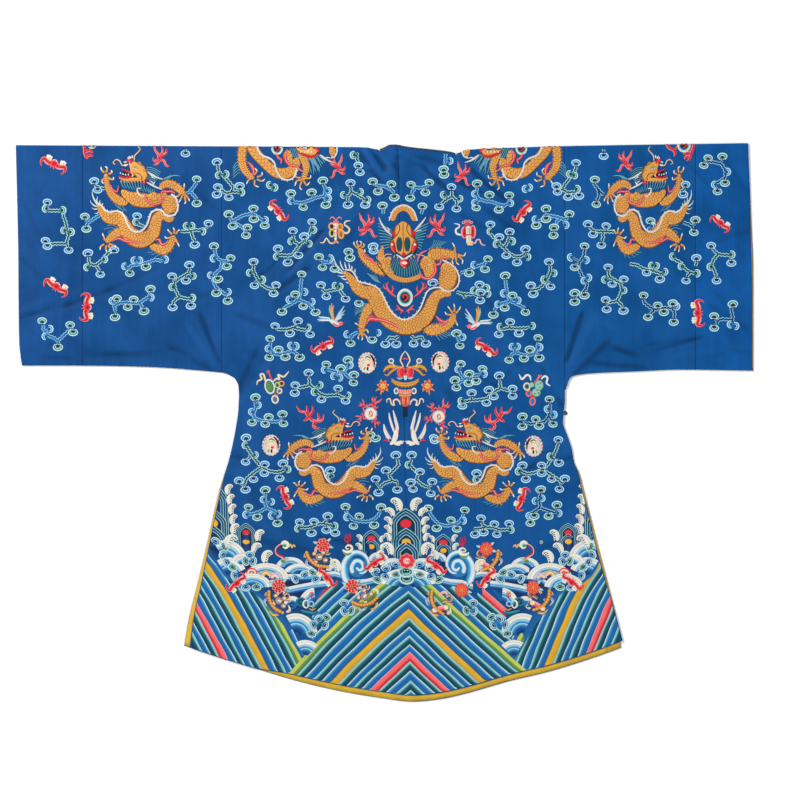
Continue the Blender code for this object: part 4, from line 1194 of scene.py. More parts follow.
def lobe(work, x, y, way, family, lift):
    """One head of a cloud. Those above and below the stem are wide rings, those beside it are open arcs."""
    odd = int(abs(x) * 7 + abs(y) * 3) % 9 - 4
    upright = way in ("up", "down")
    rim, inside, core = CLOUDS[family][0 if upright else 1]
    turn = {"up": 0, "left": 90, "down": 180, "right": 270}[way]
    kept = work.spot, work.lift
    work.spot, work.lift = spot_in(work, x, y, turn + odd * 1.6, 1 + odd * 0.016), kept[1] + lift
    if upright:
        work.dot((0, 0), 8.8, 6.2, inside, 0.00, 0.06, count=10)
        work.ribbon(arc((0, 0.2), 9.2, 6.4, -58, 238, 9), (1.3, 2.1, 2.3, 2.1, 1.3), rim, 0.08, 0.22, step=4)
        work.dot((0, -2.2), 4.4, 2.7, core, 0.09, 0.05, count=9)
        work.ribbon(arc((0, -0.9), 5.3, 3.6, -30, 210, 6), (0.8, 1.3, 1.4, 1.3, 0.8), rim, 0.12, 0.16, step=4)
        for side in (-1, 1):
            work.dot((side * 2.0, -5.0), 1.2, 1.0, "white", 0.22, 0.10, count=5)
            work.dot((side * 5.6, -4.9), 1.8, 1.4, rim, 0.12, 0.16, turn=side * 40, count=7)
    else:
        work.dot((0, -0.8), 6.9, 5.4, inside, 0.00, 0.06, count=10)
        work.ribbon(arc((0, -1.6), 7.2, 6.8, -20, 200, 7), (1.2, 2.1, 2.3, 2.1, 1.2), rim, 0.08, 0.22, step=4)
        work.dot((0, -2.6), 3.0, 2.2, core, 0.09, 0.05, count=9)
        work.ribbon(arc((0, -2.2), 4.0, 3.6, -8, 188, 5), (0.8, 1.3, 1.4, 1.3, 0.8), rim, 0.12, 0.16, step=4)
    work.spot, work.lift = kept


CLOUD_LIFT = 0.25


def cloud(work, family, stems, lobes):
    """A cloud: knobbly stems in straight legs, heads above and below them, open arcs at their sides."""
    lines = [straight(path, 2.0) for path in stems]
    for path in stems:
        stem(work, path, family, CLOUD_LIFT)
    reach = {"up": (0, -6.6), "down": (0, 6.6), "left": (4.4, 0), "right": (-4.4, 0)}
    drawn = np.concatenate(lines) if lines else None
    for way, places in lobes.items():
        for x, y in np.reshape(places, (-1, 2)).tolist():
            foot = np.array((x, y)) + reach[way]
            if drawn is not None:
                near = drawn[int(np.argmin(np.linalg.norm(drawn - foot, axis=1)))]
                gap = np.linalg.norm(near - foot)
                if 2.5 < gap < 24:
                    stem(work, [near, mix(near, foot, 0.5), foot], family, CLOUD_LIFT + 0.05, 5.0)
            lobe(work, x, y, way, family, CLOUD_LIFT + 0.30)


def foam(work, x, y, turn, size, mirror, lift):
    """A cream crest of water, curling over, with small hooks of spray along its hollow side."""
    kept = work.spot, work.lift
    work.spot, work.lift = spot_in(work, x, y, turn, size, mirror), kept[1] + lift
    work.ribbon([(3, -15), (5.5, -8), (6, 0), (3.5, 7), (-2, 11), (-8, 10.6), (-11, 7), (-9, 4.6)],
                (5, 9, 10.5, 9, 6.4, 4.6, 3.2, 1.8), ("pale", "white", "cream", "white", "white"), 0.0, 0.35)
    for a, b in ((1.0, -11), (0.6, -6.6), (0.2, -2.2), (-1.6, 2.0), (-4.6, 5.2)):
        work.ribbon([(a + 2.4, b + 1.2), (a - 1.6, b + 0.9), (a - 3.8, b - 0.6), (a - 3.4, b - 2.6),
                     (a - 2.2, b - 2.4)],
                    (4.0, 2.8, 2.2, 1.6, 0.9), ("pale", "white", "cream"), 0.05, 0.25, step=5)
        work.ribbon([(a + 1.6, b - 1.6), (a - 1.2, b - 1.0)], 0.8, "azure", 0.32, 0.03)
    work.ribbon([(-2.5, 8.4), (-6.4, 8.0), (-7.8, 6.2)], 0.8, "azure", 0.42, 0.04)
    work.ribbon([(6.4, -12), (8.4, -3), (6.4, 4)], 0.6, "lilac", 0.34, 0.04)
    work.spot, work.lift = kept


class Compound:
    """A motif's place inside another motif."""

    def __init__(self, outer, inner):
        self.outer, self.inner, self.mirror = outer, inner, outer.mirror * inner.mirror
        self.size = outer.size * inner.size

    def __call__(self, points):
        return self.outer(self.inner(points))

    @property
    def turned_over(self):
        return self.mirror < 0


def spot_in(work, x, y, turn=0.0, size=1.0, mirror=1):
    """A place inside the work's present one."""
    return Compound(work.spot, Spot(x, y, turn, size, mirror))


def within(work, x, y, turn=0.0, size=1.0, mirror=1):
    """Moves the work into a place inside its present one and returns what it was, to put back."""
    kept, work.spot = work.spot, spot_in(work, x, y, turn, size, mirror)
    return kept


def peony(work, x, y, radius, lift, heart="crimson", rim="cream"):
    """A round flower of scalloped petals, with leaves beside it."""
    for side, tilt in ((-1, 20), (1, -15), (1, 40)):
        a = math.radians(tilt if side > 0 else 180 - tilt)
        foot = (x + radius * 0.8 * math.cos(a), y + radius * 0.8 * math.sin(a))
        tip = (x + radius * 1.6 * math.cos(a), y + radius * 1.6 * math.sin(a))
        work.ribbon([foot, tip], (2.0, 7.0, 1.5), ("mint", "pale", "teal"), lift, 0.25)
    work.dot((x, y), radius * 0.86, radius * 0.9, "coral", lift + 0.05, 0.3, count=16)
    for ring, count, far, size in ((0, 9, 0.76, 0.30), (1, 7, 0.46, 0.27), (2, 4, 0.18, 0.20)):
        for k in range(count):
            a = math.radians(360 * k / count + 22 * ring)
            px, py = x + radius * far * math.cos(a), y + radius * far * 1.05 * math.sin(a)
            work.dot((px, py), radius * size, radius * size, "red", lift + 0.26 + 0.16 * ring, 0.26, rim=rim,
                     count=10)
            work.dot((mix(x, px, 0.92), mix(y, py, 0.92)), radius * 0.12, radius * 0.12, heart,
                     lift + 0.56 + 0.16 * ring, 0.08, count=6)
    work.dot((x, y), radius * 0.12, radius * 0.12, "gold", lift + 1.0, 0.12, count=7)


def bat(work, x, y, turn, lift, size=1.0):
    """A bat in flight: a humped red body, wing tips hooked upwards, a scalloped pale lining below each."""
    kept = within(work, x, y, turn, size)
    for at, up in ((-14.6, -6.4), (12.6, -6.0)):
        work.dot((at, up), 5.6, 4.8, "cream", lift, 0.3, rim="white", count=14)
        for k in range(3):
            work.dot((at - 3.6 + 3.6 * k, up - 3.4 - (k == 1)), 2.2, 2.0, "white", lift + 0.06, 0.25, count=8)
        work.ribbon([(at - 2, up - 2), (at - 1, up + 1.5)], 0.7, "brown", lift + 0.36, 0.03)
    body = [(-17.5, 11.5), (-21, 10.5), (-23.2, 4), (-20.5, -2), (-14, 0.5), (-8, 1.5), (0, -1.6), (8, 1.5),
            (14, 0.5), (20.5, -2), (23.2, 4), (21, 10.5), (17.5, 11.5)]
    work.ribbon(body, (1.4, 3, 5.6, 8, 9.4, 9, 14.5, 9, 9.4, 8, 5.6, 3, 1.4),
                [(0, "pink"), (0.12, "coral"), (0.26, "red"), (0.5, "crimson"), (0.74, "red"),
                 (0.88, "coral"), (1, "pink")], lift + 0.16, 0.40, step=2.2)
    work.dot((0, -0.6), 7.4, 6.8, "red", lift + 0.40, 0.32, rim="coral", count=14)
    work.dot((0, -0.8), 3.6, 3.4, "crimson", lift + 0.70, 0.1, count=8)
    for side in (-1, 1):
        work.dot((side * 2.4, -6.4), 1.1, 1.0, "white", lift + 0.66, 0.08, count=6)
        work.ribbon([(side * 2.0, 6.0), (side * 3.6, 9.4)], (2.4, 0.8), "coral", lift + 0.42, 0.12)
        work.ribbon([(side * 9, 3.4), (side * 14, 3.6), (side * 19, 1.0)], (0.7, 1.3, 0.7), "pink",
                    lift + 0.56, 0.05)
    work.spot = kept


# A flame's strands: its places, its widths, how much higher it lies.
TONGUES = [
    ([(-12, 30), (-10, 24), (-7.4, 16), (-2, 10), (0, 3), (1, -4)], (1.6, 4, 5.4, 6.4, 7, 6), 0.0),
    ([(6, 27), (8.6, 18), (6.4, 10), (2, 3)], (1.6, 4.6, 5.4, 4.6), 0.06),
    ([(17, 22), (16.4, 12), (10, 7), (3, 1)], (1.6, 5, 6.2, 5), 0.12),
    ([(-13, 2), (-11, -6), (-6, -5), (0, 0)], (1.6, 4.4, 5, 5), 0.08),
    ([(-12, -16), (-8, -14), (-2.5, -11), (2, -4)], (2.4, 6.4, 6, 5), 0.10),
    ([(1, -4), (6, -4.5), (12, -6), (15, -14), (19, -18.5), (25, -17)], (5, 5.6, 5.6, 5.4, 4.6, 1.6), 0.14),
]
# The longer flames beside the skirt's dragons, in the same way.
LONG_TONGUES = [
    ([(-25, 22), (-17, 11), (-7, 9), (0, 0)], (1.6, 4.6, 5.2, 6.2), 0.0),
    ([(-4, 23), (-2.5, 12), (-1, 2)], (1.6, 5, 6), 0.05),
    ([(7.5, 22), (8.5, 12), (2, 1)], (1.6, 5.4, 6), 0.08), ([(-11, -8), (-5, -6), (1, 0)], (2.4, 6, 6), 0.10),
    ([(0, 0), (7, -7), (17, -9), (27, -7), (31, 5)], (6.4, 6, 5.4, 5, 1.6), 0.12),
    ([(18, 8), (21, -3), (16, -11), (11, -15)], (1.6, 5, 5.6, 5), 0.16),
    ([(12, -10), (10, -18), (14, -23), (23, -22)], (5, 5.6, 5.2, 1.8), 0.18),
]
FIRE = [(0, "coral"), (0.16, "red"), (0.36, "crimson"), (0.62, "red"), (0.84, "coral"), (1, "pink")]


def flame(work, x, y, turn, size, lift, mirror=1, strands=None):
    """A forked tongue of fire with hooked tips."""
    kept = within(work, x, y, turn, size, mirror)
    for path, widths, more in strands or TONGUES:
        work.ribbon(path, widths, FIRE, lift + more, 0.34)
        if len(path) > 3:
            work.ribbon(np.asarray(path[1:-1], float) + (0.8, 0.6), 0.9, "pink", lift + more + 0.34, 0.04)
    work.spot = kept


def pearl(work, x, y, radius, lift, eye="red"):
    """The flaming pearl's disc: a pale rim round green rings and a swirl, or a plain disc with a swirl."""
    if eye == "plain":
        work.dot((x, y), radius, radius, "pale", lift, 0.25, rim="lilac", count=24)
        work.dot((x, y), radius * 0.80, radius * 0.80, "cream", lift + 0.20, 0.18, rim="white", count=20)
        swirl = np.array([(-4, -3), (-1, -6), (3, -4), (4, 0), (1, 3), (-2, 1.5), (-1, -1)]) * radius / 13
        work.ribbon(swirl + (x, y), (1.0, 2.2, 1.8, 1.0), "coral", lift + 0.42, 0.12, step=2)
        work.ribbon(swirl * (-0.9, 0.9) + (x + 0.6, y + 2.4), (0.8, 1.6, 1.2, 0.8), "teal", lift + 0.46, 0.10,
                    step=2)
        return
    for share, dye, more in ((1.0, "cream", 0.0), (0.86, "pale", 0.13), (0.76, "mint", 0.20),
                             (0.66, "teal", 0.27),
                             (0.52, "ink", 0.34)):
        work.dot((x, y), radius * share, radius * share * 1.14, dye, lift + more, 0.12, count=20)
    swirl = np.array([(-2, -6), (2, -4), (4.6, 0), (3, 4), (-1.6, 4.6), (-3.6, 1.4),
                      (-1, -0.6)]) * radius / 13
    work.ribbon(swirl + (x, y), (1.4 * radius / 9, 2.0 * radius / 9, 1.2 * radius / 9), eye, lift + 0.50,
                0.15, step=2)


# The straight water of the hem: dyes and upper edges of the chevron bands at the middle seam, in mm,
# with the distances from the seam between which each shows.
CHEVRON = [
    ("red", -191.8, 150, 210), ("green", -210.1, 140, 208), ("blue", -228.4, 108, 206),
    ("green", -246.6, 80, 208), ("blue", -264.9, 48, 212), ("lime", -283.2, 0, 300),
    ("green", -301.5, 0, 300), ("blue", -320.1, 0, 300), ("green", -340.8, 0, 300), ("blue", -359.3, 0, 300),
    ("yellow", -377.8, 0, 300), ("green", -395.4, 0, 300), ("blue", -414.7, 0, 300),
    ("green", -431.4, 0, 300), ("blue", -449.6, 0, 300), ("red", -466.5, 0, 300), ("green", -485.0, 0, 200),
    ("blue", -502.4, 0, 200), ("green", -523.7, 0, 150), ("blue", -543.0, 0, 120), ("green", -561.0, 0, 90),
    ("blue", -580.0, 0, 60),
]
# The yellow band of each lower corner, top to bottom, and the dyes beside it.
LEFT_FAN = [(-420, -225), (-398, -255), (-376.6, -283), (-364.4, -298.4), (-333.9, -344), (-287.2, -428),
            (-248.7, -501.4), (-236, -530), (-222, -560)]
RIGHT_FAN = [(478, -245), (458, -273), (440.7, -299.6), (418.8, -330.5), (398.9, -367.8), (383.5, -403),
             (368, -440.5), (350.6, -484.5), (336, -522.7), (324, -560)]
OUTWARDS = ["yellow", "green", "blue", "green", "blue", "red", "green", "blue", "green"]
INWARDS = [("blue", -262), ("green", -274), ("blue", -290), ("green", -312), ("lime", -330), ("blue", -345)]

# Waves of the left half, from the middle seam: middle, radii, first and last angle, shading, layer.
DOMES = [
    (-370, -283, 45, 45, 20, 120, "wave", 0), (-365, -314, 39, 41, 25, 125, "wave", 1),
    (-335, -291, 26, 26, 40, 150, "foam", 2), (-288, -320, 47, 35, 5, 165, "wave", 2),
    (-316, -338, 41, 32, 10, 165, "wave", 3), (-238, -295, 30, 22, 10, 170, "wave", 0),
    (-219, -310, 35, 24, 30, 160, "wave", 1), (-236, -370, 18, 18, 0, 175, "foam", 2),
    (-188, -370, 35, 35, 96, 172, "wave", 3), (-230, -431, 44, 44, 8, 117, "wave", 1),
    (-212, -477, 36, 36, 44, 122, "wave", 3), (-59, -283, 22, 20, 0, 175, "wave", 0),
    (-30, -301, 26, 26, 5, 170, "wave", 1), (-1, -336, 65, 41, 15, 165, "wave", 2),
    (-147, -303, 20, 18, 20, 170, "foam", 1),
]
WATER_TOP = [(-409, -249), (-384, -241), (-360, -249), (-334, -263), (-312, -283), (-287, -283), (-263, -291),
             (-243, -277), (-225, -281), (-209, -291), (-192, -308), (-174, -308), (-150, -291), (-127, -299),
             (-105, -271), (-72, -271), (-26, -271), (0, -265)]
WATER_FOOT = [(-409, -257), (-393, -283), (-373, -312), (-345, -334), (-312, -346), (-292, -366),
              (-251, -417), (-226, -462), (-213, -480), (-198, -446), (-197, -405), (-196, -374),
              (-168, -336), (-137, -326), (-105, -328), (-73, -324), (-37, -324), (0, -318)]
SWELLS = [[(-285, -334), (-271, -321), (-249, -316), (-218, -316), (-182, -314), (-149, -310), (-125, -316)],
          [(-253, -344), (-226, -338), (-194, -332), (-166, -329)],
          [(-131, -336), (-109, -328), (-85, -326), (-60, -320)]]
SPIRAL = [(-122, -326), (-129, -308), (-128, -286), (-116, -269), (-102, -264), (-87, -271), (-80, -287),
          (-87, -302), (-99, -306)]
EYE = [(-112, -306), (-114, -293), (-106, -281), (-95, -283), (-91, -294), (-98, -300), (-105, -294)]
CRESTS = [(-19, -165, 10, 1.0), (-33, -181, 25, 0.74), (-37, -199, 15, 0.68), (-38, -216, 10, 0.66),
          (-39, -232, 10, 0.62), (-38, -255, 10, 0.95), (-96, -234, 5, 0.55), (-98, -251, 10, 0.55),
          (-51, -236, 0, -0.5), (-50, -252, -5, -0.5), (-146, -289, 5, 0.95)]
SIDE_CRESTS = [(-360, -135, 0, -0.75), (-357, -155, 0, -0.75), (-354, -175, 0, -0.75), (-352, -196, 0, -0.75),
               (-350, -215, -5, -0.8), (-359, -240, -20, -1.1), (-300, -228, -5, -0.85),
               (-307, -253, -25, -0.8), (-286, -271, -10, -0.95), (-56, -268, -5, -0.7)]
WATER_CURLS = [(-389, -241, 60), (-371, -252, 30), (-375, -268, 150), (-368, -284, 200), (-356, -294, 240),
               (-352, -311, 200), (-320, -268, 90), (-329, -281, 200), (-314, -282, 340), (-330, -335, 270),
               (-308, -334, 270), (-229, -317, 200), (-210, -308, 120), (-193, -304, 60), (-187, -319, 300),
               (-66, -303, 120), (-63, -319, 240), (-44, -296, 90), (-46, -313, 250), (-24, -309, 270),
               (-24, -288, 80), (-183, -398, 120), (-167, -395, 60), (-171, -412, 330), (-195, -411, 200),
               (-199, -429, 260), (-131, -366, 90), (-132, -383, 200), (-117, -382, 340)]


def ruffle(far, k):
    """How far a long edge of stitches strays from its line, in mm."""
    return 0.7 * np.sin(far / 21.0 + 2.1 * k) + 0.45 * np.sin(far / 9.3 + 1.3 * k)


# The chevrons' left branches: their slope by the seam, how it grows for each mm of depth, their bend. The
# right branches slope by 1.
LEFT_SLOPE, LEFT_STEEPENS, LEFT_BEND = 0.50225, 0.000738916, 0.000837
RIGHT_BEND = -0.000296


def chevron_edge(k, apex, first, last):
    """The upper edge of a chevron band, left to right, as two branches from the seam outwards."""
    away = np.arange(first, last + 5.0, 5.0)
    left = apex - ((LEFT_SLOPE - LEFT_STEEPENS * apex) * away + LEFT_BEND * away**2) + ruffle(away, k)
    right = apex - (away + RIGHT_BEND * away**2) + ruffle(away, k + 0.5)
    seam = middle(left * MM) / MM, middle(right * MM) / MM
    return np.stack([seam[0] - away, left], -1)[::-1], np.stack([seam[1] + away, right], -1)


# How high the layers of the border lie over the cloth, in mm.
FAN_LIFT, CHEVRON_LIFT, WATER_LIFT = 0.16, 0.32, 0.50


def fans(work):
    """The slanting bands of the two lower corners."""
    for side, centre in ((1, np.asarray(LEFT_FAN, float)), (-1, np.asarray(RIGHT_FAN, float))):
        line = smooth(centre, 4.5)
        if side < 0:
            line[:, 0] -= 6.8
        edges = {}
        for k in range(-10, 8):
            edge = line.copy()
            edge[:, 0] += side * k * (15.2 if k > 0 else 14.6) + ruffle(line[:, 1], k)
            edges[k] = edge
        bands = [(edges[1 - k], edges[-k], dye) for k, dye in enumerate(OUTWARDS)]
        for k, (dye, top) in enumerate(INWARDS):
            inner, outer = edges[k + 2], edges[k + 1]
            keep = inner[:, 1] <= top - (0 if side > 0 else 12)
            inner, outer = inner[keep], outer[keep]
            if k == len(INWARDS) - 1:
                inner = mix(outer, inner, 0.8)
            bands.append((inner, outer, dye))
        for inner, outer, dye in bands:
            work.band(inner[::side], outer[::side], SHADES[dye], FAN_LIFT, 0.10)


def chevrons(work):
    """The bands that meet at the middle seam."""
    for k, (dye, apex, first, last) in enumerate(CHEVRON[:-1]):
        upper = chevron_edge(k, apex, first, last)
        lower = chevron_edge(k + 1, CHEVRON[k + 1][1], first, last)
        if first == 0:
            joined = [np.concatenate([edge[0][:-1], edge[1]]) for edge in (upper, lower)]
            work.band(joined[0], joined[1], SHADES[dye], CHEVRON_LIFT, 0.12)
        else:
            for branch in (0, 1):
                work.band(upper[branch], lower[branch], SHADES[dye], CHEVRON_LIFT, 0.12)


ARCH_PLACES = 7  # from an arch's foot to its point
ROCK_SHADES = ("rock", "rock_blue")
WINDOW_RIMS = {"red": "crimson", "yellow": "amber", "green": "forest"}


def arch(x, base, apex, half):
    """An arch with a soft point, from its left foot to its right one."""
    shoulder_at = max(base, apex - half * 0.95)
    reach = np.cos(np.linspace(0, 1, ARCH_PLACES) * np.pi / 2) ** 0.85
    side = np.stack([half * reach, shoulder_at + (apex - shoulder_at) * (1 - reach ** 1.2) ** 0.68], -1)
    left = np.concatenate([[(-half, base), (-half, (base + shoulder_at) / 2)], side * (-1, 1)])
    right = left[::-1][1:] * (-1, 1)
    return np.concatenate([left, right]) + (x, 0)


def mountain(work, x, base, tiers, ring, lift):
    """A rock of nested arches, each tier before the last. Tiers are (top, half width, rings, window dye)."""
    for k, (apex, half, rings, window) in enumerate(tiers):
        raised = lift + 0.16 * k
        for r in range(rings):
            outer = arch(x, base, apex - ring * r, half - ring * 0.82 * r)
            inner = arch(x, base, apex - ring * (r + 1), half - ring * 0.82 * (r + 1))
            work.band(outer, inner, SHADES[ROCK_SHADES[r % 2]], raised, 0.12)
        left_over, top = half - ring * 0.82 * rings, apex - ring * rings
        hole = arch(x, base, top, left_over)
        middle_line = np.stack([np.full(len(hole), float(x)), np.minimum(hole[:, 1], top - 1)], -1)
        work.band(hole, middle_line, [(0, "navy"), (1, "royal")], raised - 0.02, 0.0)
        work.dot((x, top - left_over * 0.85), left_over * 0.82, left_over * 0.62, window, raised + 0.10, 0.20,
                 rim=WINDOW_RIMS[window], count=14)


def coral(work, x, y, lift, size=1.0):
    """A branch of red coral."""
    kept = within(work, x, y, 0, size)
    for path in ([(0, -8), (0, 0), (-1, 8), (1, 14)], [(0, -2), (5, 2), (6, 9)], [(0, -4), (-6, 0), (-7, 7)],
                 [(-1, 6), (-5, 10), (-4, 14)], [(1, 5), (5, 11), (4, 15)]):
        work.ribbon(path, (3.0, 2.6, 1.8), ("crimson", "red", "crimson"), lift, 0.3)
    work.spot = kept


def snail(work, x, y, turn, size, lift, mirror=1):
    """A white shell-like scroll with a green leaf below."""
    kept = within(work, x, y, turn, size, mirror)
    work.ribbon([(-9, -1), (-3, -5), (5, -4), (9, 1), (7, 6), (1, 7), (-3, 3), (0, 0), (3, 2)],
                (3, 5, 5.5, 4.6, 3.8, 3, 2.4, 1.8), ("cream", "white", "cream"), lift, 0.35)
    work.ribbon([(-8, -5), (0, -10), (8, -7)], (3, 5, 2), ("green", "moss", "mint"), lift - 0.05, 0.3)
    work.ribbon([(-4, 0), (1, -2), (4, 1)], 0.8, "brown", lift + 0.5, 0.05)
    work.spot = kept


def sceptre(work, x, y, lift, mirror=1):
    """A curved sceptre with a cloud-shaped head, a ribbon beside it."""
    kept = within(work, x, y, 0, 1, mirror)
    work.ribbon([(10, -21), (4, -14), (-7, -8), (-9, 1), (-4, 8), (3, 12)], (4, 5.5, 4.4, 3.6, 3.8, 4),
                ("white", "red", "crimson"), lift, 0.35)
    work.ribbon([(2, 12), (9, 16), (15, 12), (12, 5), (5, 7)], (5, 8, 8, 6, 4), ("cream", "white", "mint"),
                lift + 0.1, 0.4)
    work.dot((9, 9), 4.0, 3.4, "moss", lift + 0.45, 0.2, rim="mint")
    work.ribbon([(18, 6), (21, 12), (24, 5), (27, 11), (31, 6)], (2.6, 3.2, 2.6), ("gold", "yellow", "mint"),
                lift, 0.3)
    work.dot((12, -18), 5, 4, "mint", lift + 0.05, 0.25, rim="white")
    work.dot((5, -22), 5, 3.4, "moss", lift, 0.2)
    work.spot = kept


def treasure(work, x, y, turn, lift, mirror=1, roll=False):
    """A gold chain bent round a knot of curled ribbons; some hold a red scroll."""
    kept = within(work, x, y, turn, 1.3, mirror)
    for path, dye in (([(8, 14), (14, 18), (18, 12), (14, 8)], "umber"),
                      ([(-16, -6), (-20, 0), (-16, 6)], "lilac"),
                      ([(16, -12), (21, -8), (19, -1)], "cream"), ([(-10, -14), (-4, -19), (4, -17)], "gold"),
                      ([(-2, 12), (2, 19), (8, 20), (9, 15)], "pink"),
                      ([(-12, 10), (-17, 14), (-20, 9)], "gold"),
                      ([(4, 4), (10, 8), (16, 5), (20, 7)], "umber"),
                      ([(-6, 4), (-10, -2), (-6, -7)], "amber")):
        work.ribbon(path, (2.0, 2.6, 1.4), dye, lift, 0.25)
        work.ribbon(np.asarray(path, float) + (1.8, -1.4), (1.0, 1.3, 0.7), "cream", lift + 0.05, 0.15)
    if roll:
        work.ribbon([(-3, -12), (13, -3)], 8.5, ("pink", "red", "coral", "red", "crimson"), lift + 0.2, 0.5,
                    blunt=True)
        for end in ((-3, -12), (13, -3)):
            work.dot(end, 4.4, 4.0, "cream", lift + 0.6, 0.2, rim="amber", count=10)
    else:
        for cx, cy, r, dye in ((3, 4, 6.0, "blue"), (-5, -3, 4.4, "cream"), (11, -3, 4.4, "teal"),
                               (1, -11, 4, "coral"),
                               (11, 9, 3.8, "lilac"), (-3, 11, 3.4, "gold")):
            work.dot((cx, cy), r, r, "umber", lift + 0.18, 0.2, count=11)
            work.dot((cx, cy), r * 0.72, r * 0.72, "cream", lift + 0.38, 0.1, count=10)
            work.ribbon(arc((cx, cy), r * 0.5, r * 0.5, 20, 310, 9), r * 0.24, dye, lift + 0.48, 0.1)
    curve = smooth([(-14, 17), (-12, 4), (-3, -8), (11, -14)], 1.2)
    work.ribbon(curve[::3], 7.0, ("brown", "gold", "brown"), lift + 0.42, 0.3)
    for spot in curve[1::4]:
        work.dot(spot, 2.6, 2.6, "gold", lift + 0.66, 0.35, rim="umber", count=8)
    work.spot = kept


def water(work, side):
    """The standing waves on one side of the seam: ground, swells, domes, a spiral, foam, curls."""
    lift = WATER_LIFT
    work.spot = Spot(mirror=side, about=True)
    places = np.unique([x for x, _ in WATER_TOP + WATER_FOOT])
    top, foot = (np.stack([places, np.interp(places, *np.transpose(line))], -1)
                 for line in (WATER_TOP, WATER_FOOT))
    work.band(top, foot, [(0, "royal"), (0.3, "navy"), (0.7, "royal"), (1, "blue")], lift - 0.04, 0.0)
    for k, path in enumerate(SWELLS):
        work.band(np.asarray(path) + (0, 8.5), np.asarray(path) + (0, -8.5 if k else -7.0), SHADES["wave"],
                  lift + 0.12 * (2 - k), 0.12)
    for x, y, rx, ry, start, end, shade, layer in DOMES:
        count = max(8, int(abs(end - start) * rx / 200) + 3)
        outer, inner = (arc((x, y), rx * share, ry * share, end, start, count) for share in (1, 0.15))
        work.band(outer, inner, SHADES[shade], lift + 0.06 + 0.14 * layer, 0.14)
    centre = np.array((-103.0, -294.0))
    work.dot(centre, 21, 20, "azure", lift + 0.30, 0.05, count=18)
    work.ribbon(SPIRAL, (17, 17, 14, 12, 10, 8, 5), ("azure", "white", "frost", "sky", "azure"), lift + 0.40,
                0.25, across=5)
    work.ribbon(EYE, (9.5, 9, 8.4, 7.6, 6.6, 5), ("azure", "white", "frost", "sky"), lift + 0.62, 0.2)
    for x, y, dye in ((-317, -307, "red"), (-288, -312, "yellow"), (-270, -317, "pink")):
        for r, tone in ((11, dye), (7.4, "cream"), (4.6, dye)):
            work.ribbon(arc((x, y), r, r, 175, 5, 9), 2.6, tone, lift + 0.66, 0.2)
    for x, y, turn, size in CRESTS + SIDE_CRESTS:
        foam(work, x, y, turn, abs(size), 1 if size > 0 else -1, 0.70 + lift)
    for k, (x, y, turn) in enumerate(WATER_CURLS):
        curl(work, x, y, turn, 0.82, "green" if k % 3 == 1 else "blue", lift + 0.80)


# Each layer's ending for names, its surface and its outline.
BOTH_LAYERS = (("", on_back, back_limits), ("_front", on_front, front_limits))


class ROBE_OT_stripes(Operator):
    """Straight water: the slanting bands along the hem, back and front."""

    bl_idname = "robe.stripes"
    bl_label = "Straight water"

    def execute(self, context):
        for ending, place, limits in BOTH_LAYERS:
            work = Work()
            fans(work)
            chevrons(work)
            work.piece("straight_water" + ending, silk("floss"), place, limits)
        return {"FINISHED"}


class ROBE_OT_waves(Operator):
    """Standing water: rolling waves, spirals and foam above the bands."""

    bl_idname = "robe.waves"
    bl_label = "Standing water"

    def execute(self, context):
        for ending, place, limits in BOTH_LAYERS:
            work = Work()
            for side in (1, -1):
                water(work, side)
            work.spot = Spot(about=True)
            for x, y in ((-4, -303), (-3, -317)):
                curl(work, x, y, 270, 1.25, "green", 1.25)
            work.piece("standing_water" + ending, silk("floss"), place, limits)
        return {"FINISHED"}


class ROBE_OT_mountains(Operator):
    """Rocks standing in the water."""

    bl_idname = "robe.mountains"
    bl_label = "Mountains"

    def execute(self, context):
        for ending, place, limits in BOTH_LAYERS:
            work = Work()
            work.spot = Spot(about=True)
            mountain(work, -2, -292, [(-174, 30, 3, "red"), (-214, 27, 3, "yellow"), (-240, 24, 3, "green")],
                     6.2, 0.16)
            for side, shift in ((1, 0), (-1, 8)):
                work.spot = Spot(mirror=side, about=True)
                tiers = [(-218 - shift, 18.5, 2, "red"), (-236 - shift, 15.5, 2, "yellow")]
                mountain(work, -73, -282 + shift, tiers, 4.4, 0.16)
                mountain(work, -327, -264, [(-204, 19, 3, "red"), (-226, 15.5, 2, "yellow")], 3.9, 0.16)
                tiers = [(-123, 34, 4, "yellow"), (-174, 30, 3, "yellow"), (-208, 28, 3, "green")]
                mountain(work, -396, -240, tiers, 5.8, 0.16)
            work.piece("mountains" + ending, silk("floss"), place, limits)
        return {"FINISHED"}


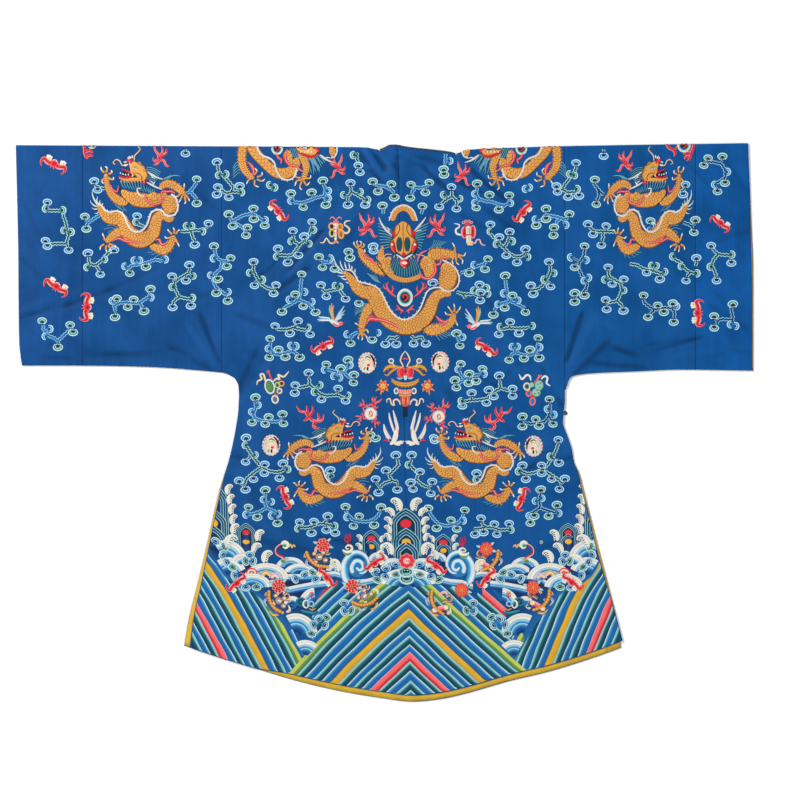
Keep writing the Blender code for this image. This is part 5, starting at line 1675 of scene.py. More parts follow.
class ROBE_OT_border_flowers(Operator):
    """Flowers, coral and treasures afloat on the waves."""

    bl_idname = "robe.border_flowers"
    bl_label = "Flowers and treasures of the border"

    def execute(self, context):
        work = Work()
        work.spot = Spot(about=True)
        for x, y in ((-171, -249), (-263, -332), (-114, -332), (160, -257), (253, -335), (108, -340)):
            peony(work, x, y, 13.5, 1.65, "amber" if x > 0 else "crimson", "coral" if x > 0 else "cream")
        for turn in range(8):
            out = np.array((math.cos(math.radians(45 * turn)), math.sin(math.radians(45 * turn)) * 0.9))
            work.dot(out * 11 + (-2, -281), 6.2, 5.6, "red", 1.6 + 0.02 * turn, 0.25, rim="pink", count=12)
        work.dot((-2, -281), 9.4, 8.4, "coral", 1.9, 0.2, rim="crimson", count=16)
        for r, dye in ((6.4, "pink"), (3.4, "white")):
            work.ribbon(arc((-2, -281), r, r * 0.88, 20, 330, 15), 1.8, dye, 2.12, 0.1)
        for x, y in ((-120, -243), (113, -249)):
            coral(work, x, y + 3, 1.2, 0.95)
            snail(work, x - 2 if x < 0 else x + 2, y - 14, 0, 1.1, 1.3, 1 if x < 0 else -1)
        for x, m in ((-200, 1), (206, -1)):
            kept = within(work, x, -368, 0, 1, m)
            for place, r in (((-37, -2), 8.5), ((-18, 4), 9.5)):
                work.dot(place, r * 1.2, r, "teal" if r > 9 else "blue", 1.3, 0.3, rim="azure", count=14)
                work.ribbon(arc(place, r * 0.55, r * 0.45, 30, 320, 9), 1.8, "ink", 1.62, 0.06)
            coral(work, 3, 16, 1.5, 0.62)
            work.dot((2, 0), 6.4, 6.2, "sky", 1.5, 0.3, rim="white", count=12)
            work.dot((2.4, 0), 2.6, 2.6, "navy", 1.8, 0.1, count=8)
            work.ribbon([(-3, 7), (-11, 6), (-14, -2), (-9, -8), (-4, -5), (-6, -1)],
                        (2, 3.6, 4, 3.6, 2.8, 1.8), ("mint", "white", "cream"), 1.6, 0.25)
            work.ribbon([(-3, -9), (4, -12.5), (11, -9)], (1.6, 3.6, 1.6), ("umber", "yellow", "umber"), 1.5,
                        0.2)
            work.ribbon([(-20, -14), (-8, -18), (6, -20), (16, -15)], (4, 8, 7, 3),
                        ("sky", "pale", "teal", "pine"), 1.2, 0.25)
            work.spot = kept
        sceptre(work, -258, -259, 1.2)
        sceptre(work, 246, -259, 1.2, -1)
        treasure(work, -182, -279, 15, 1.5)
        treasure(work, -268, -366, -8, 1.4)
        treasure(work, -87, -359, 60, 1.4)
        treasure(work, 166, -281, 0, 1.4, -1, True)
        treasure(work, 268, -362, 0, 1.4, -1, True)
        treasure(work, 60, -367, -15, 1.4, 1, True)
        pearl(work, 272, -243, 3.2, 0.6, "white")
        work.piece("border_flowers", silk("floss"), on_back, back_limits)
        return {"FINISHED"}


# Clouds of the ground: colourway, stems, then the places of the heads on each side, in mm.
CLOUD_CHAINS = [
    ("green", [(-683, 430, -652, 430, -652, 419, -647, 407, -645, 395, -641, 380, -646, 363, -664, 363,
     -682, 362), (-646, 363, -642, 356)], dict(up=(-684, 447, -688, 369), down=(-684, 358, -641, 350),
     left=(-689, 434, -652, 390), right=(-652, 431, -635, 387))),
    ("blue", [(-578, 421, -589, 414, -601, 406, -606, 399)], dict(up=(-608, 418), down=(-605, 393))),
    ("green", [(-567, 475, -577, 476, -586, 480, -588, 483)], dict(up=(-589, 490), down=(-582, 472))),
    ("green", [(-488, 399, -498, 401, -502, 407)], dict(up=(-502, 419), left=(-506, 407))),
    ("green", [(-601, 336, -599, 322, -586, 319, -574, 329, -563, 342, -552, 351), (-585, 317, -578,
     308)], dict(up=(-602, 344, -549, 350), down=(-577, 301), left=(-605, 315), right=(-567, 331))),
    ("blue", [(-523, 312, -512, 319, -492, 322, -477, 326, -465, 331, -450, 327)], dict(down=(-517, 303,
     -484, 316), left=(-528, 317, -509, 329), right=(-496, 329, -444, 331))),
    ("green", [(-414, 388, -400, 388, -385, 391, -369, 390), (-393, 388, -389, 375, -385, 368)],
     dict(up=(-357, 404), down=(-385, 361), left=(-403, 399), right=(-390, 399, -368, 388))),
    ("blue", [(-381, 488, -390, 474, -401, 464), (-394, 468, -384, 458, -381, 452)], dict(up=(-381,
     494), down=(-381, 445))),
    ("green", [(-405, 555, -404, 551)], dict(down=(-404, 546))),
    ("green", [(-395, 314, -397, 304, -414, 294, -427, 285, -425, 271, -417, 255, -404, 252, -390, 250),
     (-417, 255, -427, 247, -430, 239)], dict(up=(-396, 320, -431, 297), down=(-403, 288, -393, 237,
     -430, 234), left=(-432, 275), right=(-387, 297, -389, 253))),
    ("blue", [(-546, 225, -549, 237, -537, 243, -522, 244, -509, 242, -497, 243, -487, 250, -478, 255,
     -476, 264), (-497, 242, -490, 233)], dict(up=(-543, 252, -509, 250, -475, 271), down=(-547, 214,
     -521, 234, -488, 226), left=(-554, 247), right=(-473, 254))),
    ("blue", [(-693, 198, -692, 188, -682, 176, -671, 172, -662, 165, -661, 160), (-661, 167, -651, 177,
     -640, 187, -638, 192)], dict(up=(-695, 206, -638, 198), down=(-663, 153, -632, 183), left=(-690,
     175), right=(-678, 190))),
    ("green", [(-339, 523, -336, 508, -327, 501, -317, 490, -307, 478, -311, 468, -321, 465, -337, 477),
     (-311, 468, -299, 468, -290, 467)], dict(up=(-340, 529, -294, 480, -338, 478), down=(-316, 457,
     -340, 463), left=(-338, 502), right=(-321, 504, -289, 467))),
    ("green", [(-230, 475, -227, 474)], dict(left=(-234, 482), right=(-222, 477))),
    ("blue", [(-314, 416, -309, 408, -299, 414, -286, 421, -268, 424, -256, 417, -246, 409), (-307, 406,
     -296, 401, -285, 394, -281, 386)], dict(up=(-316, 423, -266, 434, -278, 396), down=(-308, 399,
     -265, 413, -243, 400, -281, 380), right=(-241, 411))),
    ("blue", [(-189, 458, -184, 447, -167, 446, -152, 451, -137, 457, -122, 460, -120, 474, -124, 484),
     (-122, 460, -118, 449)], dict(up=(-190, 465, -148, 467, -125, 491), down=(-165, 437, -119, 442),
     left=(-191, 450), right=(-113, 470, -113, 455))),
    ("green", [(-69, 479, -67, 468, -75, 458, -74, 450), (-67, 468, -55, 462, -43, 454, -35, 449)],
     dict(up=(-69, 486), down=(-74, 442, -39, 442), left=(-84, 462), right=(-48, 468, -33, 452))),
    ("blue", [(-20, 483, -8, 480, 3, 479, 11, 480), (3, 478, 15, 472, 20, 464)], dict(up=(-24, 489, 14,
     484), down=(-13, 469, 20, 457))),
    ("blue", [(-3, 434, -2, 423)], dict(up=(-4, 440))),
    ("green", [(-56, 549, -56, 536, -54, 527)], dict(up=(-53, 522), down=(-50, 508), left=(-64, 543))),
    ("green", [(-147, 399, -152, 383, -162, 370, -172, 361, -183, 346, -187, 340, -202, 339, -215, 340),
     (-172, 361, -183, 367, -186, 380)], dict(up=(-147, 407, -186, 389, -163, 378, -216, 353),
     down=(-175, 340, -196, 325), left=(-191, 368, -220, 337), right=(-143, 391, -152, 363))),
    ("blue", [(-128, 329, -120, 325, -107, 325)], dict(up=(-133, 336), down=(-126, 315, -101, 312),
     right=(-109, 333))),
    ("blue", [(-72, 341, -70, 339)], dict(up=(-73, 347), down=(-70, 334))),
    ("green", [(-23, 353, -22, 352)], dict(up=(-23, 357), down=(-22, 349))),
    ("blue", [(-345, 351, -341, 336, -330, 327, -319, 329, -312, 336), (-330, 326, -332, 312, -343, 303,
     -348, 290, -343, 276, -331, 266, -320, 258)], dict(up=(-346, 358, -312, 334), down=(-320, 317,
     -338, 291, -341, 263, -318, 247), left=(-348, 333, -354, 299), right=(-316, 265))),
    ("green", [(-266, 319, -266, 308, -259, 294, -250, 281, -239, 273, -225, 269)], dict(up=(-266, 326,
     -220, 279), down=(-264, 278, -225, 262), left=(-275, 304), right=(-247, 290))),
    ("blue", [(-168, 293, -170, 278, -171, 263, -174, 249, -187, 242, -204, 233), (-174, 249, -159, 243,
     -148, 234, -143, 229)], dict(up=(-168, 301, -181, 260), down=(-165, 236, -208, 225, -140, 224),
     left=(-194, 249), right=(-161, 265, -146, 245))),
    ("green", [(-128, 271, -120, 266, -105, 269, -92, 271, -85, 260, -79, 255)], dict(up=(-129, 279),
     down=(-118, 256, -79, 251), left=(-101, 278), right=(-89, 276))),
    ("green", [(-219, 189, -199, 189, -184, 193, -176, 198), (-184, 192, -164, 188, -149, 188)],
     dict(up=(-176, 206, -222, 196), down=(-192, 181, -151, 179), right=(-154, 193))),
    ("blue", [(-54, 244, -53, 243)], dict(down=(-52, 242))),
    ("blue", [(-70, 169, -64, 179, -53, 184)], dict(down=(-69, 161, -25, 168), left=(-77, 179),
     right=(-12, 182))),
    ("blue", [(87, 480, 73, 476, 60, 478, 52, 480), (62, 475, 57, 469, 54, 463)], dict(up=(91, 487, 54,
     483), down=(52, 456, 83, 467))),
    ("blue", [(77, 434, 75, 423)], dict(up=(77, 439))),
    ("blue", [(124, 547, 124, 536, 123, 524)], dict(up=(120, 514), down=(121, 503), right=(134, 531))),
    ("green", [(136, 470, 137, 459, 128, 454, 116, 445), (137, 459, 147, 450, 146, 440)], dict(up=(136,
     478), down=(111, 438, 146, 434), left=(119, 462), right=(154, 454))),
    ("blue", [(188, 478, 186, 464, 191, 454, 205, 449, 218, 448, 230, 443, 244, 440, 254, 447, 254,
     454), (191, 454, 186, 444)], dict(up=(188, 485, 213, 462, 253, 461), down=(186, 436, 232, 432),
     left=(182, 464, 182, 446), right=(257, 445))),
    ("blue", [(287, 477, 290, 474)], dict(left=(285, 474), right=(295, 477))),
    ("blue", [(311, 407, 321, 413, 327, 421, 341, 419, 356, 416, 364, 412, 373, 416), (356, 414, 347,
     404)], dict(up=(328, 434, 344, 396, 375, 423), down=(308, 400, 328, 413, 343, 380), left=(305,
     412), right=(369, 401))),
    ("green", [(215, 382, 223, 375, 234, 362, 242, 355, 252, 344, 264, 337, 277, 337, 286, 344), (242,
     355, 249, 365, 254, 378)], dict(up=(215, 402, 233, 376, 254, 387, 286, 352), down=(247, 339, 269,
     325), left=(213, 388, 226, 362), right=(260, 368, 292, 336))),
    ("blue", [(154, 303, 168, 308, 183, 316, 198, 320, 206, 325)], dict(up=(210, 332), down=(204, 311,
     172, 303), left=(181, 320))),
    ("green", [(146, 265, 158, 261, 178, 260), (158, 261, 165, 252)], dict(up=(193, 280, 195, 264),
     down=(194, 248), left=(180, 268), right=(208, 273, 211, 261))),
    ("green", [(336, 319, 337, 308, 331, 294, 323, 280, 312, 271, 301, 269)], dict(up=(334, 326, 297,
     278), down=(337, 276, 302, 261), left=(323, 290), right=(345, 303))),
    ("blue", [(245, 290, 247, 276, 249, 263, 254, 247, 270, 240, 286, 232), (254, 246, 239, 242, 226,
     234, 223, 227)], dict(up=(245, 298, 260, 258), down=(244, 233, 221, 219, 286, 224), left=(241, 262,
     229, 240), right=(272, 248))),
    ("green", [(236, 189, 252, 192, 267, 191, 292, 192), (255, 192, 255, 198)], dict(up=(255, 204),
     down=(232, 179, 273, 181), left=(234, 194), right=(301, 196))),
    ("green", [(99, 283, 101, 281)], dict(up=(98, 284))),
    ("green", [(54, 176, 61, 169, 74, 174, 80, 168)], dict(down=(59, 160, 84, 160))),
    ("green", [(4, 164, 10, 173, 22, 171, 29, 176)], dict(down=(2, 159, 24, 159))),
    ("blue", [(147, 175, 151, 168, 153, 163)], dict(up=(146, 181), down=(153, 156), right=(160, 173))),
    ("green", [(389, 520, 386, 509, 376, 496, 366, 483, 361, 473, 372, 467, 387, 468), (361, 473, 353,
     472)], dict(up=(389, 527, 349, 480), down=(373, 458, 395, 460, 351, 468), left=(375, 504),
     right=(387, 501, 392, 474))),
    ("dusk", [(424, 486, 432, 475, 441, 465, 446, 463), (433, 474, 436, 462, 431, 450)], dict(up=(427,
     493), down=(430, 443))),
    ("green", [(416, 396, 427, 388, 446, 388, 467, 387), (443, 387, 444, 375, 441, 368)], dict(up=(413,
     403, 450, 399), down=(423, 382, 440, 360))),
    ("blue", [(548, 402, 541, 396, 530, 387)], dict(up=(540, 409), right=(545, 399))),
    ("green", [(594, 466, 601, 468, 610, 475)], dict(up=(611, 483), down=(606, 463))),
    ("dusk", [(606, 406, 619, 402, 627, 394)], dict(up=(631, 411), down=(628, 386))),
    ("dusk", [(656, 529, 667, 529, 684, 525, 691, 513, 692, 498, 682, 490, 670, 485, 672, 477)],
     dict(up=(657, 537, 686, 540), down=(648, 522, 691, 486, 676, 469), left=(669, 483), right=(697,
     509))),
    ("green", [(666, 352, 677, 342, 689, 340, 701, 340), (677, 342, 667, 329, 664, 320, 671, 305, 674,
     295)], dict(up=(663, 359), down=(704, 324, 674, 288), left=(660, 316), right=(706, 341))),
    ("green", [(587, 332, 601, 325, 610, 312, 620, 305, 632, 303), (633, 327, 632, 317), (620, 305, 614,
     296)], dict(up=(633, 334), down=(612, 288), left=(584, 337, 601, 317), right=(635, 303))),
    ("green", [(497, 322, 512, 320, 525, 312, 541, 309, 563, 302)], dict(down=(532, 304, 559, 291),
     left=(541, 319), right=(553, 318, 570, 306))),
    ("dusk", [(406, 352, 405, 339, 394, 322, 394, 312, 402, 296, 412, 284, 409, 271, 400, 262, 389, 262,
     386, 253)], dict(up=(406, 358, 386, 263), down=(386, 315, 406, 258, 386, 245), left=(377, 335, 404,
     288), right=(410, 330, 415, 294))),
    ("green", [(454, 308, 456, 296, 468, 289, 479, 283, 482, 271, 478, 258, 472, 247, 452, 243), (472,
     247, 484, 236)], dict(up=(454, 315, 486, 291, 449, 249), down=(462, 281, 451, 230, 485, 227),
     left=(446, 290), right=(487, 268))),
    ("dusk", [(525, 250, 527, 243, 539, 234, 549, 229, 566, 233, 584, 232, 589, 223, 588, 212), (548,
     229, 539, 220)], dict(up=(526, 258, 555, 238, 585, 242), down=(535, 214, 567, 224, 587, 204),
     right=(594, 236))),
    ("green", [(445, 555, 445, 550)], dict(down=(445, 541))),
    ("dusk", [(703, 232, 706, 220, 708, 209, 698, 209, 685, 210, 677, 207, 675, 200)], dict(up=(707,
     240, 669, 216), down=(669, 192), left=(701, 199), right=(714, 196))),
    ("blue", [(-232, 163, -232, 150, -225, 140, -212, 138, -199, 142, -186, 145, -176, 138), (-225, 140,
     -233, 138)], dict(up=(-232, 170, -215, 148), down=(-234, 132, -201, 133, -172, 132), left=(-237,
     150, -191, 156), right=(-179, 155))),
    ("blue", [(-116, 107, -101, 104, -84, 103, -75, 112), (-84, 103, -74, 94, -65, 88)], dict(up=(-118,
     118, -74, 127, -89, 110, -62, 97), down=(-63, 81), left=(-123, 107, -104, 94), right=(-69, 117,
     -90, 91))),
    ("green", [(-179, 71, -166, 72, -152, 76, -153, 91), (-152, 76, -140, 68, -131, 58, -118, 54, -96,
     56, -81, 49)], dict(up=(-154, 101, -181, 76, -94, 69), down=(-182, 60, -128, 47, -79, 44),
     left=(-143, 62), right=(-130, 76, -73, 55))),
    ("blue", [(-263, 43, -261, 30, -267, 15, -260, 7, -246, 3, -232, 2, -214, 2)], dict(up=(-262, 51,
     -235, 11, -207, 17), down=(-269, 0, -242, -3, -205, -2), left=(-271, 22), right=(-255, 35))),
    ("green", [(-280, -49, -272, -62, -261, -77, -250, -90, -236, -98, -219, -101, -203, -97), (-250,
     -91, -266, -102, -281, -115, -285, -127), (-272, -67, -276, -75)], dict(up=(-281, -31, -243, -85,
     -206, -83, -295, -118), down=(-282, -80, -244, -103, -213, -113, -282, -136, -266, -115),
     left=(-284, -46), right=(-261, -66, -195, -95))),
    ("blue", [(-242, -144, -243, -158, -240, -173, -251, -180, -266, -185, -278, -187), (-240, -173,
     -228, -178, -216, -184)], dict(up=(-242, -137, -276, -172), down=(-258, -192, -217, -204),
     left=(-247, -156, -282, -187, -230, -189), right=(-228, -161, -214, -185))),
    ("blue", [(-79, -179, -75, -187, -64, -197, -50, -201, -33, -201, -22, -197, -13, -189, -9, -181)],
     dict(up=(-79, -171, -7, -172, -51, -190), down=(-63, -210, -21, -208), left=(-77, -192))),
    ("green", [(-176, -212, -159, -213, -146, -210, -137, -206, -125, -205, -110, -208, -102, -212),
     (-123, -205, -118, -199)], dict(up=(-172, -202, -143, -201, -115, -190), down=(-148, -224, -118,
     -218, -100, -224), left=(-177, -215), right=(-100, -210))),
    ("green", [(26, -75, 29, -86, 18, -97, 9, -106, 15, -118, 29, -121), (15, -118, 0, -123, -10,
     -132)], dict(up=(23, -66, 3, -97, -18, -115), down=(-12, -142, 26, -136))),
    ("green", [(-107, -105, -104, -112)], dict(up=(-110, -97), left=(-113, -110))),
    ("blue", [(-23, -29, -20, -30)], dict(up=(-28, -25), down=(-18, -32))),
    ("blue", [(312, 163, 310, 151, 305, 140, 291, 136, 278, 138, 265, 143, 256, 136)], dict(up=(312,
     172, 295, 148), down=(314, 131, 283, 130, 253, 127), left=(258, 154), right=(316, 153, 271, 154))),
    ("blue", [(151, 104, 157, 95, 163, 87, 153, 81, 146, 78), (163, 88, 178, 95, 194, 98)],
     dict(up=(155, 119, 172, 99, 199, 109, 143, 86), down=(171, 80, 186, 84, 146, 71), left=(148, 108),
     right=(203, 99))),
    ("green", [(234, 86, 235, 70, 248, 66, 258, 64), (235, 69, 220, 62, 209, 49, 194, 46, 177, 45, 162,
     43), (177, 45, 177, 52)], dict(up=(233, 95, 260, 69, 212, 66, 177, 60), down=(260, 54, 222, 53,
     207, 40, 158, 34), left=(155, 43))),
    ("dusk", [(336, 38, 336, 25, 333, 12, 325, 2, 312, -1, 299, -3, 289, -1), (333, 12, 340, 4)],
     dict(up=(335, 47, 307, 7, 280, 12), down=(342, -3, 314, -7, 280, -8), left=(330, 27), right=(345,
     16))),
    ("green", [(353, -42, 348, -57, 340, -72, 331, -86, 321, -95, 305, -102, 290, -104, 276, -98), (321,
     -96, 336, -105, 352, -115, 360, -123), (340, -72, 348, -77)], dict(up=(353, -35, 319, -87, 280,
     -87, 366, -114), down=(354, -82, 319, -103, 287, -115, 339, -115, 355, -135), left=(335, -69, 271,
     -99))),
    ("dusk", [(317, -143, 314, -157, 316, -172, 305, -180, 296, -185), (316, -173, 329, -178, 346,
     -183)], dict(up=(317, -136, 350, -167), down=(333, -190, 304, -190, 296, -204), left=(305, -159,
     292, -189), right=(321, -154, 355, -184))),
    ("green", [(55, -74, 51, -86, 61, -96, 69, -105, 64, -116, 76, -126, 87, -131), (64, -117, 56,
     -118)], dict(up=(55, -66, 72, -100, 53, -122, 97, -120), down=(58, -135, 94, -144), left=(47,
     -86))),
    ("blue", [(91, -182, 97, -192, 104, -200, 112, -207, 127, -210, 141, -207, 151, -202, 158, -193,
     161, -185)], dict(up=(89, -174, 135, -198, 163, -178), down=(106, -214, 147, -216), right=(161,
     -199))),
    ("green", [(181, -216, 194, -215, 205, -212, 220, -213, 235, -218, 254, -217), (196, -202, 204,
     -212)], dict(up=(196, -194, 223, -206, 253, -205), down=(184, -227, 201, -223, 228, -227),
     right=(258, -218))),
    ("green", [(191, -116, 198, -120)], dict(up=(187, -103), left=(185, -116))),
    ("green", [(100, -35, 102, -35)], dict(up=(100, -31), down=(102, -36))),
]


class ROBE_OT_clouds(Operator):
    """Clouds strewn over the upper layer."""

    bl_idname = "robe.clouds"
    bl_label = "Clouds"

    def execute(self, context):
        for name, side in (("clouds_left", -1), ("clouds_right", 1)):
            work = Work()
            for family, stems, lobes in CLOUD_CHAINS:
                if (stems[0][0] >= 0) == (side > 0):
                    cloud(work, family, stems, lobes)
            work.piece(name, silk("floss"), on_back, back_limits)
        return {"FINISHED"}


# How each kind of stroke in a dragon is worked: its dyes across, its crown.
HIDE = [(0, "brown"), (0.05, "rust"), (0.12, "gold"), (0.5, "gold"), (0.88, "gold"), (0.95, "rust"),
        (1, "brown")]
STROKES = {
    "body": (HIDE, 0.35), "limb": (HIDE, 0.30), "arch": (HIDE, 0.30), "face": (HIDE, 0.25),
    "fin": (("pale", "white", "cream"), 0.20), "hair": (("deep", "azure", "deep"), 0.10),
    "back": (("cream", "white", "lilac"), 0.20), "line": ("brown", 0.04),
    "sash": (("crimson", "coral", "red"), 0.25),
    "claw": (("umber", "gold", "gold"), 0.20), "horn": (("lilac", "white", "cream"), 0.25),
    "mouth": ("ink", 0.05), "lip": (("crimson", "red", "crimson"), 0.20), "tooth": ("white", 0.15),
    "snout": (("crimson", "red", "coral"), 0.20), "eyewhite": (("brown", "white", "brown"), 0.10),
    "iris": ("navy", 0.10), "brow": (("umber", "yellow", "teal"), 0.12),
    "ear": (("brown", "amber", "gold"), 0.20),
    "spike": ("gold", 0.10), "wisp": (("umber", "cream", "gold"), 0.15), "mane": ("deep", 0.15),
    "strand": (("deep", "haze", "deep"), 0.08), "eyerim": (("brown", "gold", "brown"), 0.08),
    "pupil": ("brown", 0.05),
}
